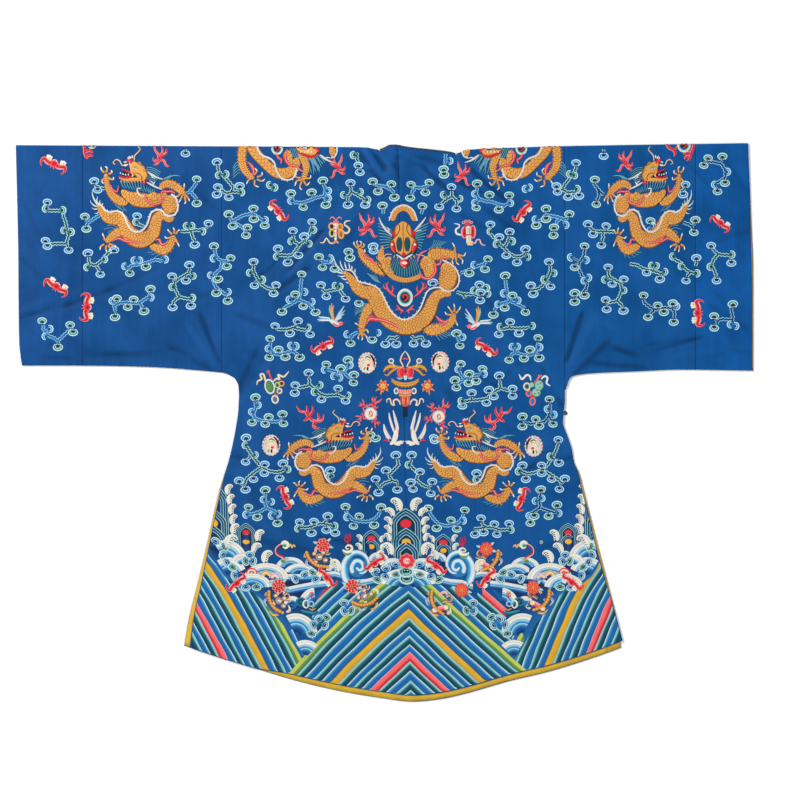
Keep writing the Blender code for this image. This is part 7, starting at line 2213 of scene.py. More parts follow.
    ("line", 1.45, 1.5, -2.2, 103.1, -0.9, 92.2, -6.9, 80.9, -17.3, 71.5),
    ("line", 1.45, 1.5, 15.2, 103.1, 13.7, 92.2, 19.7, 80.9, 31.5, 71.5),
    ("line", 1.45, 1.1, 6.2, 107.2, 6.2, 90.3, 6.4, 78.1),
    ("eyerim", 1.42, (5.6, 12.4, 11.6, 5.6), -1.3, 77.5, -1.3, 67.8, -1.3, 57.5, -1.3, 46.8),
    ("mane", 1.52, (3.8, 9, 8.3, 3.8), -1.3, 75.3, -1.3, 67.8, -1.3, 57.5, -1.3, 49),
    ("pupil", 1.62, (1.5, 3, 1.5), -1.7, 58.4, -0.9, 52.8, -1.3, 49),
    ("eyerim", 1.42, (5.6, 12.4, 11.6, 5.6), 14.8, 77.5, 14.8, 67.8, 14.8, 57.5, 14.8, 46.8),
    ("mane", 1.52, (3.8, 9, 8.3, 3.8), 14.8, 75.3, 14.8, 67.8, 14.8, 57.5, 14.8, 49),
    ("pupil", 1.62, (1.5, 3, 1.5), 14.5, 58.4, 15.2, 52.8, 14.8, 49),
    ("line", 1.5, 1.1, 6.8, 77.2, 6.9, 62.1, 7.1, 44.3),
    ("eyerim", 1.42, (4.5, 11.6, 11.6, 5.6), -15.6, 71.5, -16.3, 64, -14.1, 52.8, -10.3, 44.3),
    ("snout", 1.52, (3, 8.3, 8.6, 3.8), -15.6, 68.7, -16, 62.1, -13.7, 52.8, -11.1, 46.8),
    ("tooth", 1.64, (4.9, 4.9), -16, 64, -15.6, 59.5),
    ("lip", 1.4, (3, 7.1, 6.8, 2.6), -12.6, 90.3, -13.3, 85.6, -11.8, 80, -9.2, 77.2),
    ("eyerim", 1.42, (4.5, 11.6, 11.6, 5.6), 30, 71.5, 30.8, 64, 28.5, 52.8, 24.8, 44.3),
    ("snout", 1.52, (3, 8.3, 8.6, 3.8), 30, 68.7, 30.4, 62.1, 28.2, 52.8, 25.5, 46.8),
    ("tooth", 1.64, (4.9, 4.9), 30.4, 64, 30, 59.5),
    ("lip", 1.4, (3, 7.1, 6.8, 2.6), 27, 90.3, 27.8, 85.6, 26.3, 80, 23.7, 77.2),
    ("lip", 1.6, (4.9, 8.6, 5.6), 7.5, 46, 7.7, 41.1, 7.7, 37.4),
    ("horn", 1.3, (2.3, 3.8, 4.1, 3.8, 2.3), -7.7, 41.1, -0.9, 37.4, 7.7, 31.7, 17.1, 37.4, 25.3, 41.9),
    ("eyerim", 1.2, (16.9, 24, 24, 18), 9, 34.7, 9, 29.3, 9, 19.9, 9, 13.7),
    ("snout", 1.34, (13.1, 20.3, 20.3, 13.9), 9, 32.9, 9, 28, 9, 20.8, 9, 15.6),
    ("tooth", 1.5, (11.3, 15.8, 11.3), 9, 27.6, 9, 24.6, 9, 21.2),
    ("spike", 1, (3, 0.9), -10.7, 39.6, -12.6, 33.6),
    ("spike", 1, (3, 0.9), -4.3, 37.4, -5.4, 31),
    ("spike", 1, (3, 0.9), 2.1, 35.1, 1.7, 28.4),
    ("spike", 1, (3, 0.9), 8.5, 32.9, 8.8, 25.7),
    ("spike", 1, (3, 0.9), 14.8, 35.1, 16, 28.4),
    ("spike", 1, (3, 0.9), 21.2, 37.4, 23.1, 31),
    ("spike", 1, (3, 0.9), 27.6, 39.6, 30.2, 33.6),
]
SHOULDER = [
    ("limb", 0.1, (16.2, 18.3, 17.3, 14.2, 10.1), -91.3, 50.7, -97.4, 24.4, -95.4, -2, -85.3, -18.3, -73.1,
     -28.4),
    ("body", 0.3, (22.3, 24.4, 22.3, 20.3, 22.3, 24.4, 22.3, 18.3), -81.2, 54.8, -73.1, 30.4, -56.8, 10.1,
     -40.6, -6.1, -24.4, -16.2, -6.1, -16.2, 8.1, -6.1, 14.2, 14.2),
    ("back", 0.8, 3.5, -67, 50.7, -65, 32.5, -56.8, 20.3, -40.6, 13.2, -31.5, 4.1, -28.4, -9.1, -18.7,
     -25.4, -7.3, -30.4, 5.7, -27, 13, -14.2, 14.2, -2),
    ("limb", 0.45, (14.2, 15.2, 14.2, 11.2, 8.5), 20.3, 30.4, 26.4, 14.2, 33.1, -2.6, 30.4, -20.3, 25.2,
     -32.5),
    ("body", 0.5, (14.2, 20.3, 18.3, 10.1), -4.1, 30.4, -4.1, 18.3, -2, 10.1, 4.1, 2),
    ("claw", 0.7, (4.1, 3.2, 1.8), -75.1, -26.4, -83.2, -30.4, -88.3, -38.6),
    ("claw", 0.7, (4.1, 3.2, 1.8), -71, -30.4, -71, -40.6, -62.9, -44.7),
    ("claw", 0.7, (4.1, 3.2, 1.8), -67, -28.4, -56.8, -32.5, -50.7, -28.4),
    ("claw", 0.7, (4.1, 3.2, 1.8), -67, -24.4, -56.8, -20.3, -56.8, -14.2),
    ("claw", 0.7, (4.1, 3.2, 1.8), -73.1, -20.3, -67, -12.2, -71, -6.1),
    ("claw", 0.7, (4.1, 3.2, 1.8), 24.4, -30.4, 14.2, -32.5, 10.1, -42.6),
    ("claw", 0.7, (4.1, 3.2, 1.8), 24.4, -33.5, 20.3, -44.7, 24.4, -50.7),
    ("claw", 0.7, (4.1, 3.2, 1.8), 28.4, -32.5, 34.5, -40.6, 40.6, -34.5),
    ("claw", 0.7, (4.1, 3.2, 1.8), 30.4, -26.4, 40.6, -26.4, 42.6, -20.3),
    ("claw", 0.7, (4.1, 3.2, 1.8), 22.3, -26.4, 12.2, -24.4, 10.1, -16.2),
    ("sash", 0.98, (2, 5.3, 5.7, 5.3, 4.9, 2), -5.1, 32.5, -8.9, 14.2, -1, 1, 12.2, -2.6, 22.3, -10.8,
     30.4, -14.2),
    ("sash", 0.72, (2, 7.1, 7.1, 2), -85.3, 6.1, -77.1, -2, -73.1, -12.2, -75.1, -20.3),
    ("sash", 0.72, (2, 5.1, 5.1, 2), -28.0, 24.0, -23.5, 15.5, -17.0, 10.5, -18.5, 3.0),
    ("hair", 0.5, 1.9, 0, 34.5, 2, 24.4, 6.1, 16.2),
    ("hair", 0.5, 1.9, 38.6, 14.2, 46.7, 10.1, 54.8, 2),
    ("hair", 0, 1.9, -101.5, 10.1, -109.6, 4.1, -115.7, -6.1),
    ("hair", 0.5, 1.9, 3.2, 34.5, 6.1, 24.4, 10.6, 15),
    ("hair", 0.5, 1.9, 41, 11, 49.5, 6.5, 56, -2),
    ("hair", 0, 1.9, -101.5, 4.1, -109.6, -2, -115.7, -11.2),
    ("hair", 0.5, 1.9, 6.5, 34.5, 10.1, 24.4, 15, 13.8),
    ("hair", 0.5, 1.9, 43.4, 7.7, 52.4, 2.8, 57.2, -6.1),
    ("hair", 0, 1.9, -101.5, -2, -109.6, -8.1, -115.7, -16.2),
    ("hair", 0.5, 1.9, 9.7, 34.5, 14.2, 24.4, 19.5, 12.6),
    ("hair", 0.5, 1.9, 45.9, 4.5, 55.2, -0.8, 58.5, -10.1),
    ("hair", 0, 1.9, -101.5, -8.1, -109.6, -14.2, -115.7, -21.3),
    ("hair", 0.5, 1.9, 13, 34.5, 18.3, 24.4, 24, 11.4),
    ("hair", 0.5, 1.9, 48.3, 1.2, 58.1, -4.5, 59.7, -14.2),
    ("hair", 0, 1.9, -101.5, -14.2, -109.6, -20.3, -115.7, -26.4),
    ("face", 1.2, (14.2, 20.3, 22.3, 18.3, 10.1), 12.2, 42.6, 22.3, 36.5, 34.5, 31.5, 44.7, 27.4, 54.8, 26.4),
    ("lip", 1.4, (2, 4.9, 5.3, 4.1, 2), 16.2, 25.4, 28.4, 21.3, 40.6, 17.3, 50.7, 18.7, 56.8, 22.3),
    ("tooth", 1.5, (3, 1.2), 22.3, 25.2, 22.9, 29.6),
    ("tooth", 1.5, (3, 1.2), 29.4, 25.2, 30, 29.6),
    ("tooth", 1.5, (3, 1.2), 36.5, 25.2, 37.1, 29.6),
    ("tooth", 1.5, (3, 1.2), 43.6, 25.2, 44.3, 29.6),
    ("snout", 1.42, (4.1, 7.1, 4.1), 50.7, 34.5, 55.8, 31.5, 58.9, 26.4),
    ("eyewhite", 1.5, (4.9, 6.5, 4.9), 26.4, 35.3, 30.4, 34.5, 34.5, 33.3),
    ("iris", 1.62, (2.8, 2.8), 29.6, 34.7, 31.7, 34.3),
    ("spike", 1.2, (3, 1), 16.2, 15.4, 17.3, 9.7),
    ("spike", 1.2, (3, 1), 22.3, 15.4, 23.3, 9.7),
    ("spike", 1.2, (3, 1), 28.4, 15.4, 29.4, 9.7),
    ("spike", 1.2, (3, 1), 34.5, 15.4, 35.5, 9.7),
    ("spike", 1.2, (3, 1), 40.6, 15.4, 41.6, 9.7),
    ("spike", 1.2, (3, 1), 46.7, 15.4, 47.7, 9.7),
    ("horn", 1.3, (2.2, 4.4, 4.0, 2.6, 1.4), 61.9, 21.0, 68.6, 15.2, 75.3, 10.8, 82.0, 7.6, 90.0, 5.4),
    ("horn", 1.3, (1.8, 2.6, 1.2), 71.0, 14.0, 77.0, 15.5, 83.0, 13.6),
    ("body", 0.5, (11.0, 14.5, 12.0), 84.4, 38.0, 86.2, 27.0, 85.4, 18.5),
    ("back", 0.8, 3.2, 95.6, 38.0, 95.2, 27.0, 91.0, 17.6, 83.0, 14.6),
    ("hair", 0.5, 1.9, 38.0, 15.0, 39.5, -0.5, 44, -16),
    ("hair", 0.5, 1.9, 40.6, 15.9, 46.3, -1.0, 49, -18),
    ("hair", 0.5, 1.9, 43.2, 16.8, 46.6, 1.9, 53, -13),
    ("hair", 0.5, 1.9, 45.8, 17.7, 52.9, 3.3, 57, -11),
    ("hair", 0.5, 1.9, 48.4, 18.6, 53.2, 6.3, 61, -6),
    ("hair", 0.5, 1.9, 51.0, 19.5, 59.0, 8.2, 64, -3),
    ("hair", 0.5, 1.9, 53.6, 20.4, 59.3, 11.2, 68, 2),
    ("hair", 0.5, 1.9, 56.2, 21.3, 65.1, 13.2, 71, 5),
    ("hair", 0.5, 1.9, 58.8, 22.2, 64.9, 15.6, 74, 9),
]


# Distances between the spines of a back and between the scales beside a limb, in mm.
SPINE_GAP, FRINGE_GAP = 10.5, 6.4


def spines(work, line, lift, turns):
    """Small white spines along a back; past the share `turns` of its length they point to its other side."""
    line = smooth(line, 2.0)
    length, (ahead, side) = along(line), directions(line)
    for at in np.arange(5.0, length[-1] - 3, SPINE_GAP):
        k = int(np.searchsorted(length, at))
        go, out = ahead[k], side[k] * (1 if at < turns * length[-1] else -1)
        work.ribbon([line[k] + out * 0.5, line[k] + out * 3.6 + go * 1.2], (2.2, 0.7), "white", lift, 0.1)


def fringe(work, line, widths, lift):
    """Short pointed scales along both sides of a limb."""
    line = smooth(line, 2.0)
    length, (ahead, side) = along(line), directions(line)
    widths = np.atleast_1d(widths)
    for sign in (-1, 1):
        for at in np.arange(5.0, length[-1] * 0.85, FRINGE_GAP):
            k = int(np.searchsorted(length, at))
            out = side[k] * sign
            half = np.interp(at / length[-1], np.linspace(0, 1, len(widths)), widths) / 2
            root = line[k] + out * (half - 0.8)
            work.ribbon([root, root + out * 2.2 + ahead[k] * 1.2], (2.2, 0.8), "gold", lift, 0.08)


def stroke(work, kind, lift, widths, path, turns):
    """One stroke of a dragon, with the scales, spines, fringe or lights that its kind has."""
    dye, crown = STROKES[kind]
    widest = max(np.atleast_1d(widths))
    if kind == "hair":
        work.ribbon(path, widest * 1.6, dye, lift, crown)
        work.ribbon(path, widest * 0.5, "haze", lift + 0.12, 0.08)
        return
    if kind == "limb":
        fringe(work, path, widths, lift - 0.04)
    work.ribbon(path, widths, dye, lift, crown, step=2.2 if widest > 7 else 1.8)
    if kind in ("body", "limb", "arch"):
        size = 7.6 if widest > 14 else 6.2
        line = smooth(path, 2.0)
        work.scales(line, widths, size, "rust", lift + crown + 0.02, 0.92)
        work.scales(line, widths, size, "straw", lift + crown + 0.06, 0.92, 0.56)
    if kind == "back":
        spines(work, path, lift, turns)
    if kind == "claw":
        line = smooth(path, 1.5)
        work.ribbon(line[int(len(line) * 0.6):], (widths[1] * 0.9, widths[2]), "white", lift + 0.16, 0.14,
                    step=1.5)
    if kind == "sash" and widest > 4:
        work.ribbon(path, widest * 0.16, "pink", lift + 0.26, 0.04, step=2.5)
        work.ribbon(path + (0.5, -1.0), widest * 0.14, "crimson", lift + 0.25, 0.04, step=2.5)


# How much wider some strokes are in the dragons seen from the side than their table says.
STOUT = {"body": 1.20, "limb": 1.12, "claw": 1.15, "back": 1.25}


def dragon(work, strokes, turns):
    """Draws a dragon, its scales over its hide and spines along its back."""
    for kind, lift, widths, *places in strokes:
        if strokes is PROFILE:
            widths = np.atleast_1d(widths) * STOUT.get(kind, 1.0)
        stroke(work, kind, lift, widths, np.asarray(places, float).reshape(-1, 2), turns)


# Places of the dragons: drawing, share where the spines turn, middle, mirror, stretch.
DRAGONS_AT = [
    ("sleeve", PROFILE, 0.27, -496, 441.5, 1, 1.0, 1.0), ("sleeve", PROFILE, 0.27, 536, 441.5, -1, 0.90, 1.0),
    ("skirt", PROFILE, 0.27, -104.5, -78, -1, 1.0, 0.87), ("skirt", PROFILE, 0.27, 184, -78, 1, 1.0, 0.87),
    ("chest", FRONTAL, 0.26, 31.5, 299.5, 1, 1.0, 1.0), ("shoulder", SHOULDER, 0.0, -192, 522.5, 1, 1.0, 1.0),
    ("shoulder", SHOULDER, 0.0, 253, 522.5, -1, 1.0, 1.0),
]


class ROBE_OT_dragons(Operator):
    """Couched gold dragons on the sleeves, the shoulders, the chest and the skirt."""

    bl_idname = "robe.dragons"
    bl_label = "Dragons"

    def execute(self, context):
        for group in ("sleeve", "skirt", "chest", "shoulder"):
            work = Work()
            for name, strokes, turns, x, y, mirror, wide, tall in DRAGONS_AT:
                if name == group:
                    work.spot, work.lift = Spot(x, y, 0, 1.0, mirror, None, wide, tall), 0.45
                    dragon(work, strokes, turns)
            work.piece("dragons_" + group, silk("gold"), on_back, back_limits)
        return {"FINISHED"}


# Places in mm on the flat cloth, with turns in degrees, sizes and sides.
BATS = [(-671, 525, 156, 1.12), (-666, 276, 148, 1.08), (-604, 234, 86, 1.16), (-216, 429, -50, 1.0),
        (-125, 155, 28, 1.0), (206, 151, -33, 1.0), (281, 427, 52, 1.0), (682, 405, 143, 0.92),
        (636, 222, -87, 1.12), (-201, -151, 112, 1.0), (278, -155, -110, 1.0)]
BORDER_BATS = [(-348, -326, 40), (-165, -314, -50), (-67, -285, 33), (57, -291, -37), (160, -316, 48),
               (332, -324, -38)]
FLAMES = [(-39, 396, 0, 1.0, 1), (110, 396, 0, 1.0, -1), (-92, 517, 10, 0.9, -1), (155, 502, -10, 0.9, 1),
          (-458, 537, 0, 0.9, 1), (492, 527, 0, 0.9, -1)]
LONG_FLAMES = [(-154, 12, 1), (234, 10, -1)]
BIG_PEARL = (41.6, 253.6)
PEARLS = [(-28, 18, 13.4, "plain"), (110, 12, 13.4, "plain"), (*BIG_PEARL, 16.0, "red"),
          (-594, 568, 11, "red"), (608, 564, 14, "red"), (-218, 557, 12, "red"), (278, 557, 12, "red")]
ROUNDELS = [(-35, 121), (113, 123), (-230, -46), (303, -48)]
# The fire round the big pearl, from its middle, right half: places and widths.
PEARL_FIRE = [
    ([(18, 1), (27, 8), (35, 17), (39, 30)], (2.4, 5.4, 5.6, 1.6)),
    ([(28, 9), (24, 17), (26, 24)], (3, 4, 1.4)), ([(34, 17), (42, 20), (44, 27)], (3, 4, 1.4)),
    ([(37, 24), (34, 32)], (3, 1.4)),
    ([(17, -15), (11, -23), (3, -28)], (2, 5.5, 4)), ([(12, -23), (20, -25)], (4, 1.6)),
    ([(6, -27), (9, -33)], (3.6, 1.4)),
]
# The fire that shows at the sleeves' fold.
FOLD_FIRE = [
    [(-610, 565), (-609, 555), (-609, 547), (-606, 539), (-601, 535)],
    [(-609, 548), (-600, 552), (-591, 548)], [(-605, 540), (-597, 543), (-591, 540)],
    [(628, 565), (626, 556), (622, 546), (620, 537), (614, 530)],
    [(622, 545), (615, 548), (607, 543)], [(620, 538), (613, 540), (609, 534)],
    [(572, 566), (580, 556), (589, 555), (594, 562)], [(584, 556), (590, 548), (588, 540)],
]


def crane_roundel(work, x, y, lift, mirror=1):
    """A round patch with a crane curled in it, its feathers in rows of scallops."""
    kept = within(work, x, y, 0, 1, mirror)
    for k in range(18):
        a = math.radians(20 * k)
        work.dot((15.6 * math.cos(a), 18.6 * math.sin(a)), 3.2, 3.2, "pink" if k % 2 else "cream",
                 lift - 0.05, 0.25, count=8)
    work.dot((0, 0), 16.2, 19.4, "cream", lift + 0.1, 0.3, rim="pale", count=24)
    for row, (reach, count) in enumerate(((13.2, 9), (9.0, 7), (4.8, 4))):
        for k in range(count):
            a = math.radians(-20 + 250 * k / count + 9 * row)
            cx, cy = reach * math.cos(a), reach * 1.2 * math.sin(a)
            work.ribbon(arc((cx, cy), 2.6, 2.6, math.degrees(a) - 100, math.degrees(a) + 100, 7), 0.7,
                        "brown" if (k + row) % 3 == 0 else "lilac" if (k + row) % 3 == 1 else "coral",
                        lift + 0.42, 0.05)
    work.ribbon(arc((0, 0), 14.2, 17.0, 72, -22, 9), (1.0, 4.0, 5.0, 3.4, 1.2), "ink", lift + 0.38, 0.16)
    work.ribbon([(-5, 10), (1, 13), (6, 9)], (1.0, 2.4, 1.0), "brown", lift + 0.44, 0.08)
    work.dot((2.4, -4.4), 3.4, 3.0, "red", lift + 0.46, 0.2, rim="coral", count=10)
    work.ribbon([(1.6, -8), (0.4, -13), (2.6, -15.4)], (2.6, 4.4, 1.8), "ink", lift + 0.42, 0.15)
    work.ribbon([(-3.4, -8.4), (-6.6, -12.6), (-5.6, -15)], (1.8, 3.0, 1.2), "moss", lift + 0.42, 0.12)
    work.ribbon([(6, -9), (8.6, -12), (7.4, -14)], (1.8, 2.6, 1.2), "white", lift + 0.44, 0.12)
    work.spot = kept


def magpie(work, x, y, mirror, lift):
    """A small bird on the wing, one wing gold and teal, the other blue."""
    kept = within(work, x, y, 0, 1.28, mirror)
    for k in range(4):
        work.ribbon([(-3, -2 + k), (-11, -2 + 1.4 * k), (-21 - 2 * (k == 1), -3 + 2.2 * k)], (2.6, 2.4, 0.9),
                    ("white", "pale", "sky", "white")[k], lift + 0.04 * k, 0.15)
    for k, (tip, dye) in enumerate((((-5.5, 17), "teal"), ((-3, 22), "mint"), ((0, 25.5), "teal"),
                                    ((3, 22), "gold"))):
        work.ribbon([(1 + 0.8 * k, -2), ((tip[0] + 1) / 2 - 1, tip[1] / 2), tip], (3.2, 4.6, 1.4),
                    (dye, "gold" if k > 1 else dye, "umber"), lift + 0.14 + 0.05 * k, 0.25)
    for k, (tip, dye) in enumerate((((20, 21), "lilac"), ((21.5, 14), "blue"), ((20, 8), "sky"),
                                    ((16, 2), "pink"))):
        work.ribbon([(5, -3), (5 + (tip[0] - 5) * 0.55, tip[1] * 0.5), tip], (3, 4.2, 1.2),
                    (dye, "pale", dye), lift + 0.12 + 0.05 * k, 0.25)
    work.ribbon([(-4, -1), (2, -4), (9, -8), (13, -9)], (4, 8, 8, 4), ("lilac", "white", "pale"), lift + 0.4,
                0.35)
    work.ribbon([(2, -6), (7, -10), (12, -11)], (2, 5, 2), ("coral", "red", "pink"), lift + 0.6, 0.2)
    work.dot((14, -7), 3.6, 3.2, "coral", lift + 0.7, 0.25, rim="pink", count=10)
    work.ribbon([(16.5, -7), (20.5, -5.6)], (1.8, 0.6), "red", lift + 0.75)
    work.dot((14.6, -6.2), 0.7, 0.7, "ink", lift + 0.96, 0.05, count=6)
    work.spot = kept


def crane(work, x, y, mirror, lift):
    """A crane diving with both wings raised, its tail a small fan."""
    kept = within(work, x, y, 0, 1, mirror)
    snow = [(0, "lilac"), (0.14, "white"), (0.5, "cream"), (0.86, "white"), (1, "lilac")]
    work.ribbon([(4, -3), (-1, 12), (-5, 25), (-6.8, 37)], (3.6, 5.2, 4.8, 1.4), snow, lift + 0.1, 0.3)
    work.ribbon([(8, -4), (10, 6), (6.5, 22), (1.4, 42)], (7.6, 6.4, 5.6, 1.6), snow, lift + 0.16, 0.35)
    work.ribbon([(-4, -18), (-10, -9), (-14.6, 0), (-17.6, 14)], (7.4, 8.2, 6.4, 1.6), snow, lift + 0.14,
                0.35)
    for path in ([(4, 4), (0, 16), (-4, 29)], [(9.6, 4), (7.4, 18), (3, 34)],
                 [(-9, -10), (-13, -2), (-15.6, 7)], [(-5, -14), (-9, -4), (-13, 4)],
                 [(6, 0), (6.2, 10), (3, 22)]):
        work.ribbon(path, 0.8, "lilac", lift + 0.52, 0.04)
    work.ribbon([(7, 1), (7, -8), (4, -18), (-1, -25), (-5, -27)], (7, 10.5, 11, 9, 4.4), snow, lift + 0.35,
                0.4)
    for k, tip in enumerate(((14, -22), (19, -20.4), (23.8, -21), (22, -25), (16, -29))):
        work.ribbon([(3, -26), ((3 + tip[0]) / 2, (tip[1] - 26) / 2), tip], (3, 4.6, 2.2), snow,
                    lift + 0.22 + 0.03 * k, 0.2)
    work.ribbon(arc((-4.6, -18.4), 3.4, 3.6, 0, 360, 13), 1.3, "lilac", lift + 0.78, 0.08, blunt=True)
    work.dot((-4.6, -18.4), 1.9, 2.1, "navy", lift + 0.76, 0.08, count=8)
    work.ribbon([(-9, -20), (-13, -19), (-18.5, -19.6)], (3.2, 2.4, 0.9), "red", lift + 0.7, 0.12)
    for path in ([(11, 4), (12.4, -1), (11.6, -6)], [(-11.6, -15), (-14.6, -12)]):
        work.ribbon(path, (0.8, 1.6, 0.8), "coral", lift + 0.6, 0.06)
    work.spot = kept


def looped(work, path, widths, dyes, lift):
    """A ribbon end or a loop of ribbon with a pale edge."""
    work.ribbon(path, widths, [(0, dyes[0]), (0.25, dyes[1]), (0.75, dyes[1]), (1, dyes[2])], lift, 0.25)


def ring(work, x, y, rx, ry, width, dye, lift, inside=None, turn=0.0):
    """A round or oval ring of thread, which may be filled."""
    if inside:
        work.dot((x, y), rx - width / 3, ry - width / 3, inside, lift - 0.06, 0.06, turn=turn, count=12)
    work.ribbon(arc((x, y), rx - width / 2, ry - width / 2, 0, 360, 15, turn), width, dye, lift, 0.22,
                blunt=True, step=4)


def gourd_left(work, lift):
    """A green gourd with a pale edge, wound with long gold ribbons."""
    for path in ([(-8, 6), (-11, 17), (-14, 25), (-20, 24), (-17, 15), (-25, 11), (-27, 3)],
                 [(5, 9), (13, 16), (19, 15), (16, 24), (27, 20), (34, 26), (38, 31)]):
        looped(work, path, (2.4, 4.2, 4.6, 4.0, 4.2, 3.6, 1.6), ("umber", "cream", "yellow"), lift)
    ring(work, 23, 6, 6.4, 6.0, 2.6, "gold", lift + 0.2, "navy")
    ring(work, 15, 3, 6.2, 6.6, 2.6, "lime", lift + 0.24, "teal")
    ring(work, 19, -9, 5.8, 6.2, 2.6, "cream", lift + 0.2, "azure")
    ring(work, 13, -13, 5.0, 5.4, 2.2, "umber", lift + 0.26, "blue")
    ring(work, 10, -26, 7.6, 9.0, 2.6, "cream", lift + 0.2, "azure", 10)
    work.ribbon(arc((10, -26), 4.4, 5.8, 0, 360, 13, 10), 0.8, "coral", lift + 0.3, 0.04, blunt=True)
    work.dot((-1, 0), 10.4, 15.8, "leaf", lift + 0.3, 0.3, turn=14, rim="cream", count=20)
    work.dot((-1, 0), 7.6, 12.4, "moss", lift + 0.56, 0.25, turn=14, rim="green", count=18)
    for k in range(4):
        work.ribbon([(-5 + 0.8 * k, 8 - 4.6 * k), (4 + 0.8 * k, 6 - 4.6 * k)], 0.7, "sage", lift + 0.84, 0.04)
    work.ribbon([(-4, 30), (-1, 24), (2, 17), (5, 13)], (2.0, 3.2, 2.4, 1.8), ("coral", "red", "coral"),
                lift + 0.6, 0.2)
    for a in range(0, 360, 72):
        tip = (-4 + 4.6 * math.cos(math.radians(a + 18)), 30 + 4.6 * math.sin(math.radians(a + 18)))
        work.ribbon([(-4, 30), tip], (2.0, 1.0), "coral", lift + 0.62, 0.12)


def gourd_right(work, lift):
    """A lobed green gourd with dark seeds, tied with grey and coral ribbons."""
    looped(work, [(-30, 28), (-24, 18), (-15, 26), (-8, 24), (-6, 15)], (1.8, 4.4, 4.8, 4.2, 3),
           ("lilac", "white", "lilac"), lift)
    looped(work, [(15, 18), (22, 24), (28, 20), (26, 10), (34, 4)], (3, 4.6, 4.6, 4.2, 1.8),
           ("lilac", "white", "lilac"), lift)
    looped(work, [(1, 10), (7, 17), (11, 24), (17, 25)], (2.2, 3.6, 3.4, 2.8), ("red", "coral", "pink"),
           lift + 0.1)
    looped(work, [(9, 27), (12, 24), (11, 20)], (1.6, 3, 1.6), ("red", "coral", "pink"), lift + 0.2)
    ring(work, -10, -11, 6.6, 7.0, 2.6, "coral", lift + 0.2, "azure")
    ring(work, -2.5, -27, 6.6, 9.2, 2.6, "coral", lift + 0.2, "azure", -8)
    work.ribbon([(-8, -5), (-2, -12), (-4, -18)], (2, 3, 2.4), "red", lift + 0.3, 0.15)
    ring(work, -14, 3, 7.6, 8.4, 2.6, "cream", lift + 0.3, "sage")
    work.dot((-14, 3), 3.4, 4.0, "forest", lift + 0.36, 0.14, rim="lilac", count=10)
    work.dot((-4, 6.6), 5.4, 5.6, "mint", lift + 0.36, 0.25, rim="moss", count=12)
    work.dot((5.0, -9.0), 9.4, 9.0, "mint", lift + 0.34, 0.35, rim="moss", count=16)
    work.dot((10.6, 5.4), 9.4, 11.0, "mint", lift + 0.42, 0.35, rim="moss", count=16)
    for cx, cy in ((8, 8), (12.6, 2), (7, -4), (10, -10), (2, -11), (13, 10)):
        work.dot((cx, cy), 1.3, 1.5, "ink", lift + 0.86, 0.05, count=6)
        work.dot((cx, cy + 2.2), 0.7, 0.7, "white", lift + 0.86, 0.05, count=5)


def flute_emblem(work, lift):
    """Castanets wound round with gold loops, coral rings and trailing ribbons."""
    looped(work, [(10, 0), (15, -6), (21, -6), (25, 0), (21, 6), (15, 10), (17, 17), (27, 18.6)],
           (3, 4.2, 4.4, 4.2, 3.4, 3.4, 3.2, 1.4), ("umber", "cream", "gold"), lift)
    looped(work, [(-5, -27), (-14, -27), (-18, -22), (-22, -17), (-25, -22), (-28, -26), (-35, -26)],
           (2.6, 3.2, 3, 2.8, 3, 2.8, 1.4), ("umber", "cream", "coral"), lift)
    for cx, cy, rx, ry, dye, inside in ((-11, 7, 7, 8, "gold", "navy"), (6, 6, 6.6, 7.4, "gold", "umber"),
                                        (-10.6, -6.4, 6.2, 9, "lime", "navy"),
                                        (8, -9, 6.6, 9.6, "gold", "umber")):
        ring(work, cx, cy, rx, ry, 3.2, dye, lift + 0.2, inside)
    work.ribbon([(-3, 13), (-3, 0), (-3, -22)], (5.4, 5.0, 5.4), ("lilac", "white", "cream"), lift + 0.34,
                0.3)
    for y in (9, 3, -7, -13):
        work.ribbon([(-4.4, y), (-4.2, y - 3.6)], 1.1, "navy", lift + 0.66, 0.04)
    ring(work, -2.6, -2.4, 6.2, 4.6, 2.0, "coral", lift + 0.52)
    ring(work, -2.6, 15.5, 6.2, 3.6, 2.4, "coral", lift + 0.5, "crimson")
    ring(work, -2.6, 11.5, 5.0, 3.0, 1.8, "cream", lift + 0.56)
    for side in (-1, 1):
        work.ribbon([(-2.6, 19), (-2.6 + side * 5, 25), (-2.6 + side * 9, 25.6), (-2.6 + side * 12, 21)],
                    (1.4, 2.2, 2, 1), ("crimson", "pink", "coral"), lift + 0.4, 0.15)
    for k in range(5):
        work.ribbon([(-3.4, -21), (-8 + 2.8 * k, -27.4)], (1.8, 2.6, 1.6),
                    ("coral", "yellow", "umber")[k % 3], lift + 0.5, 0.15)


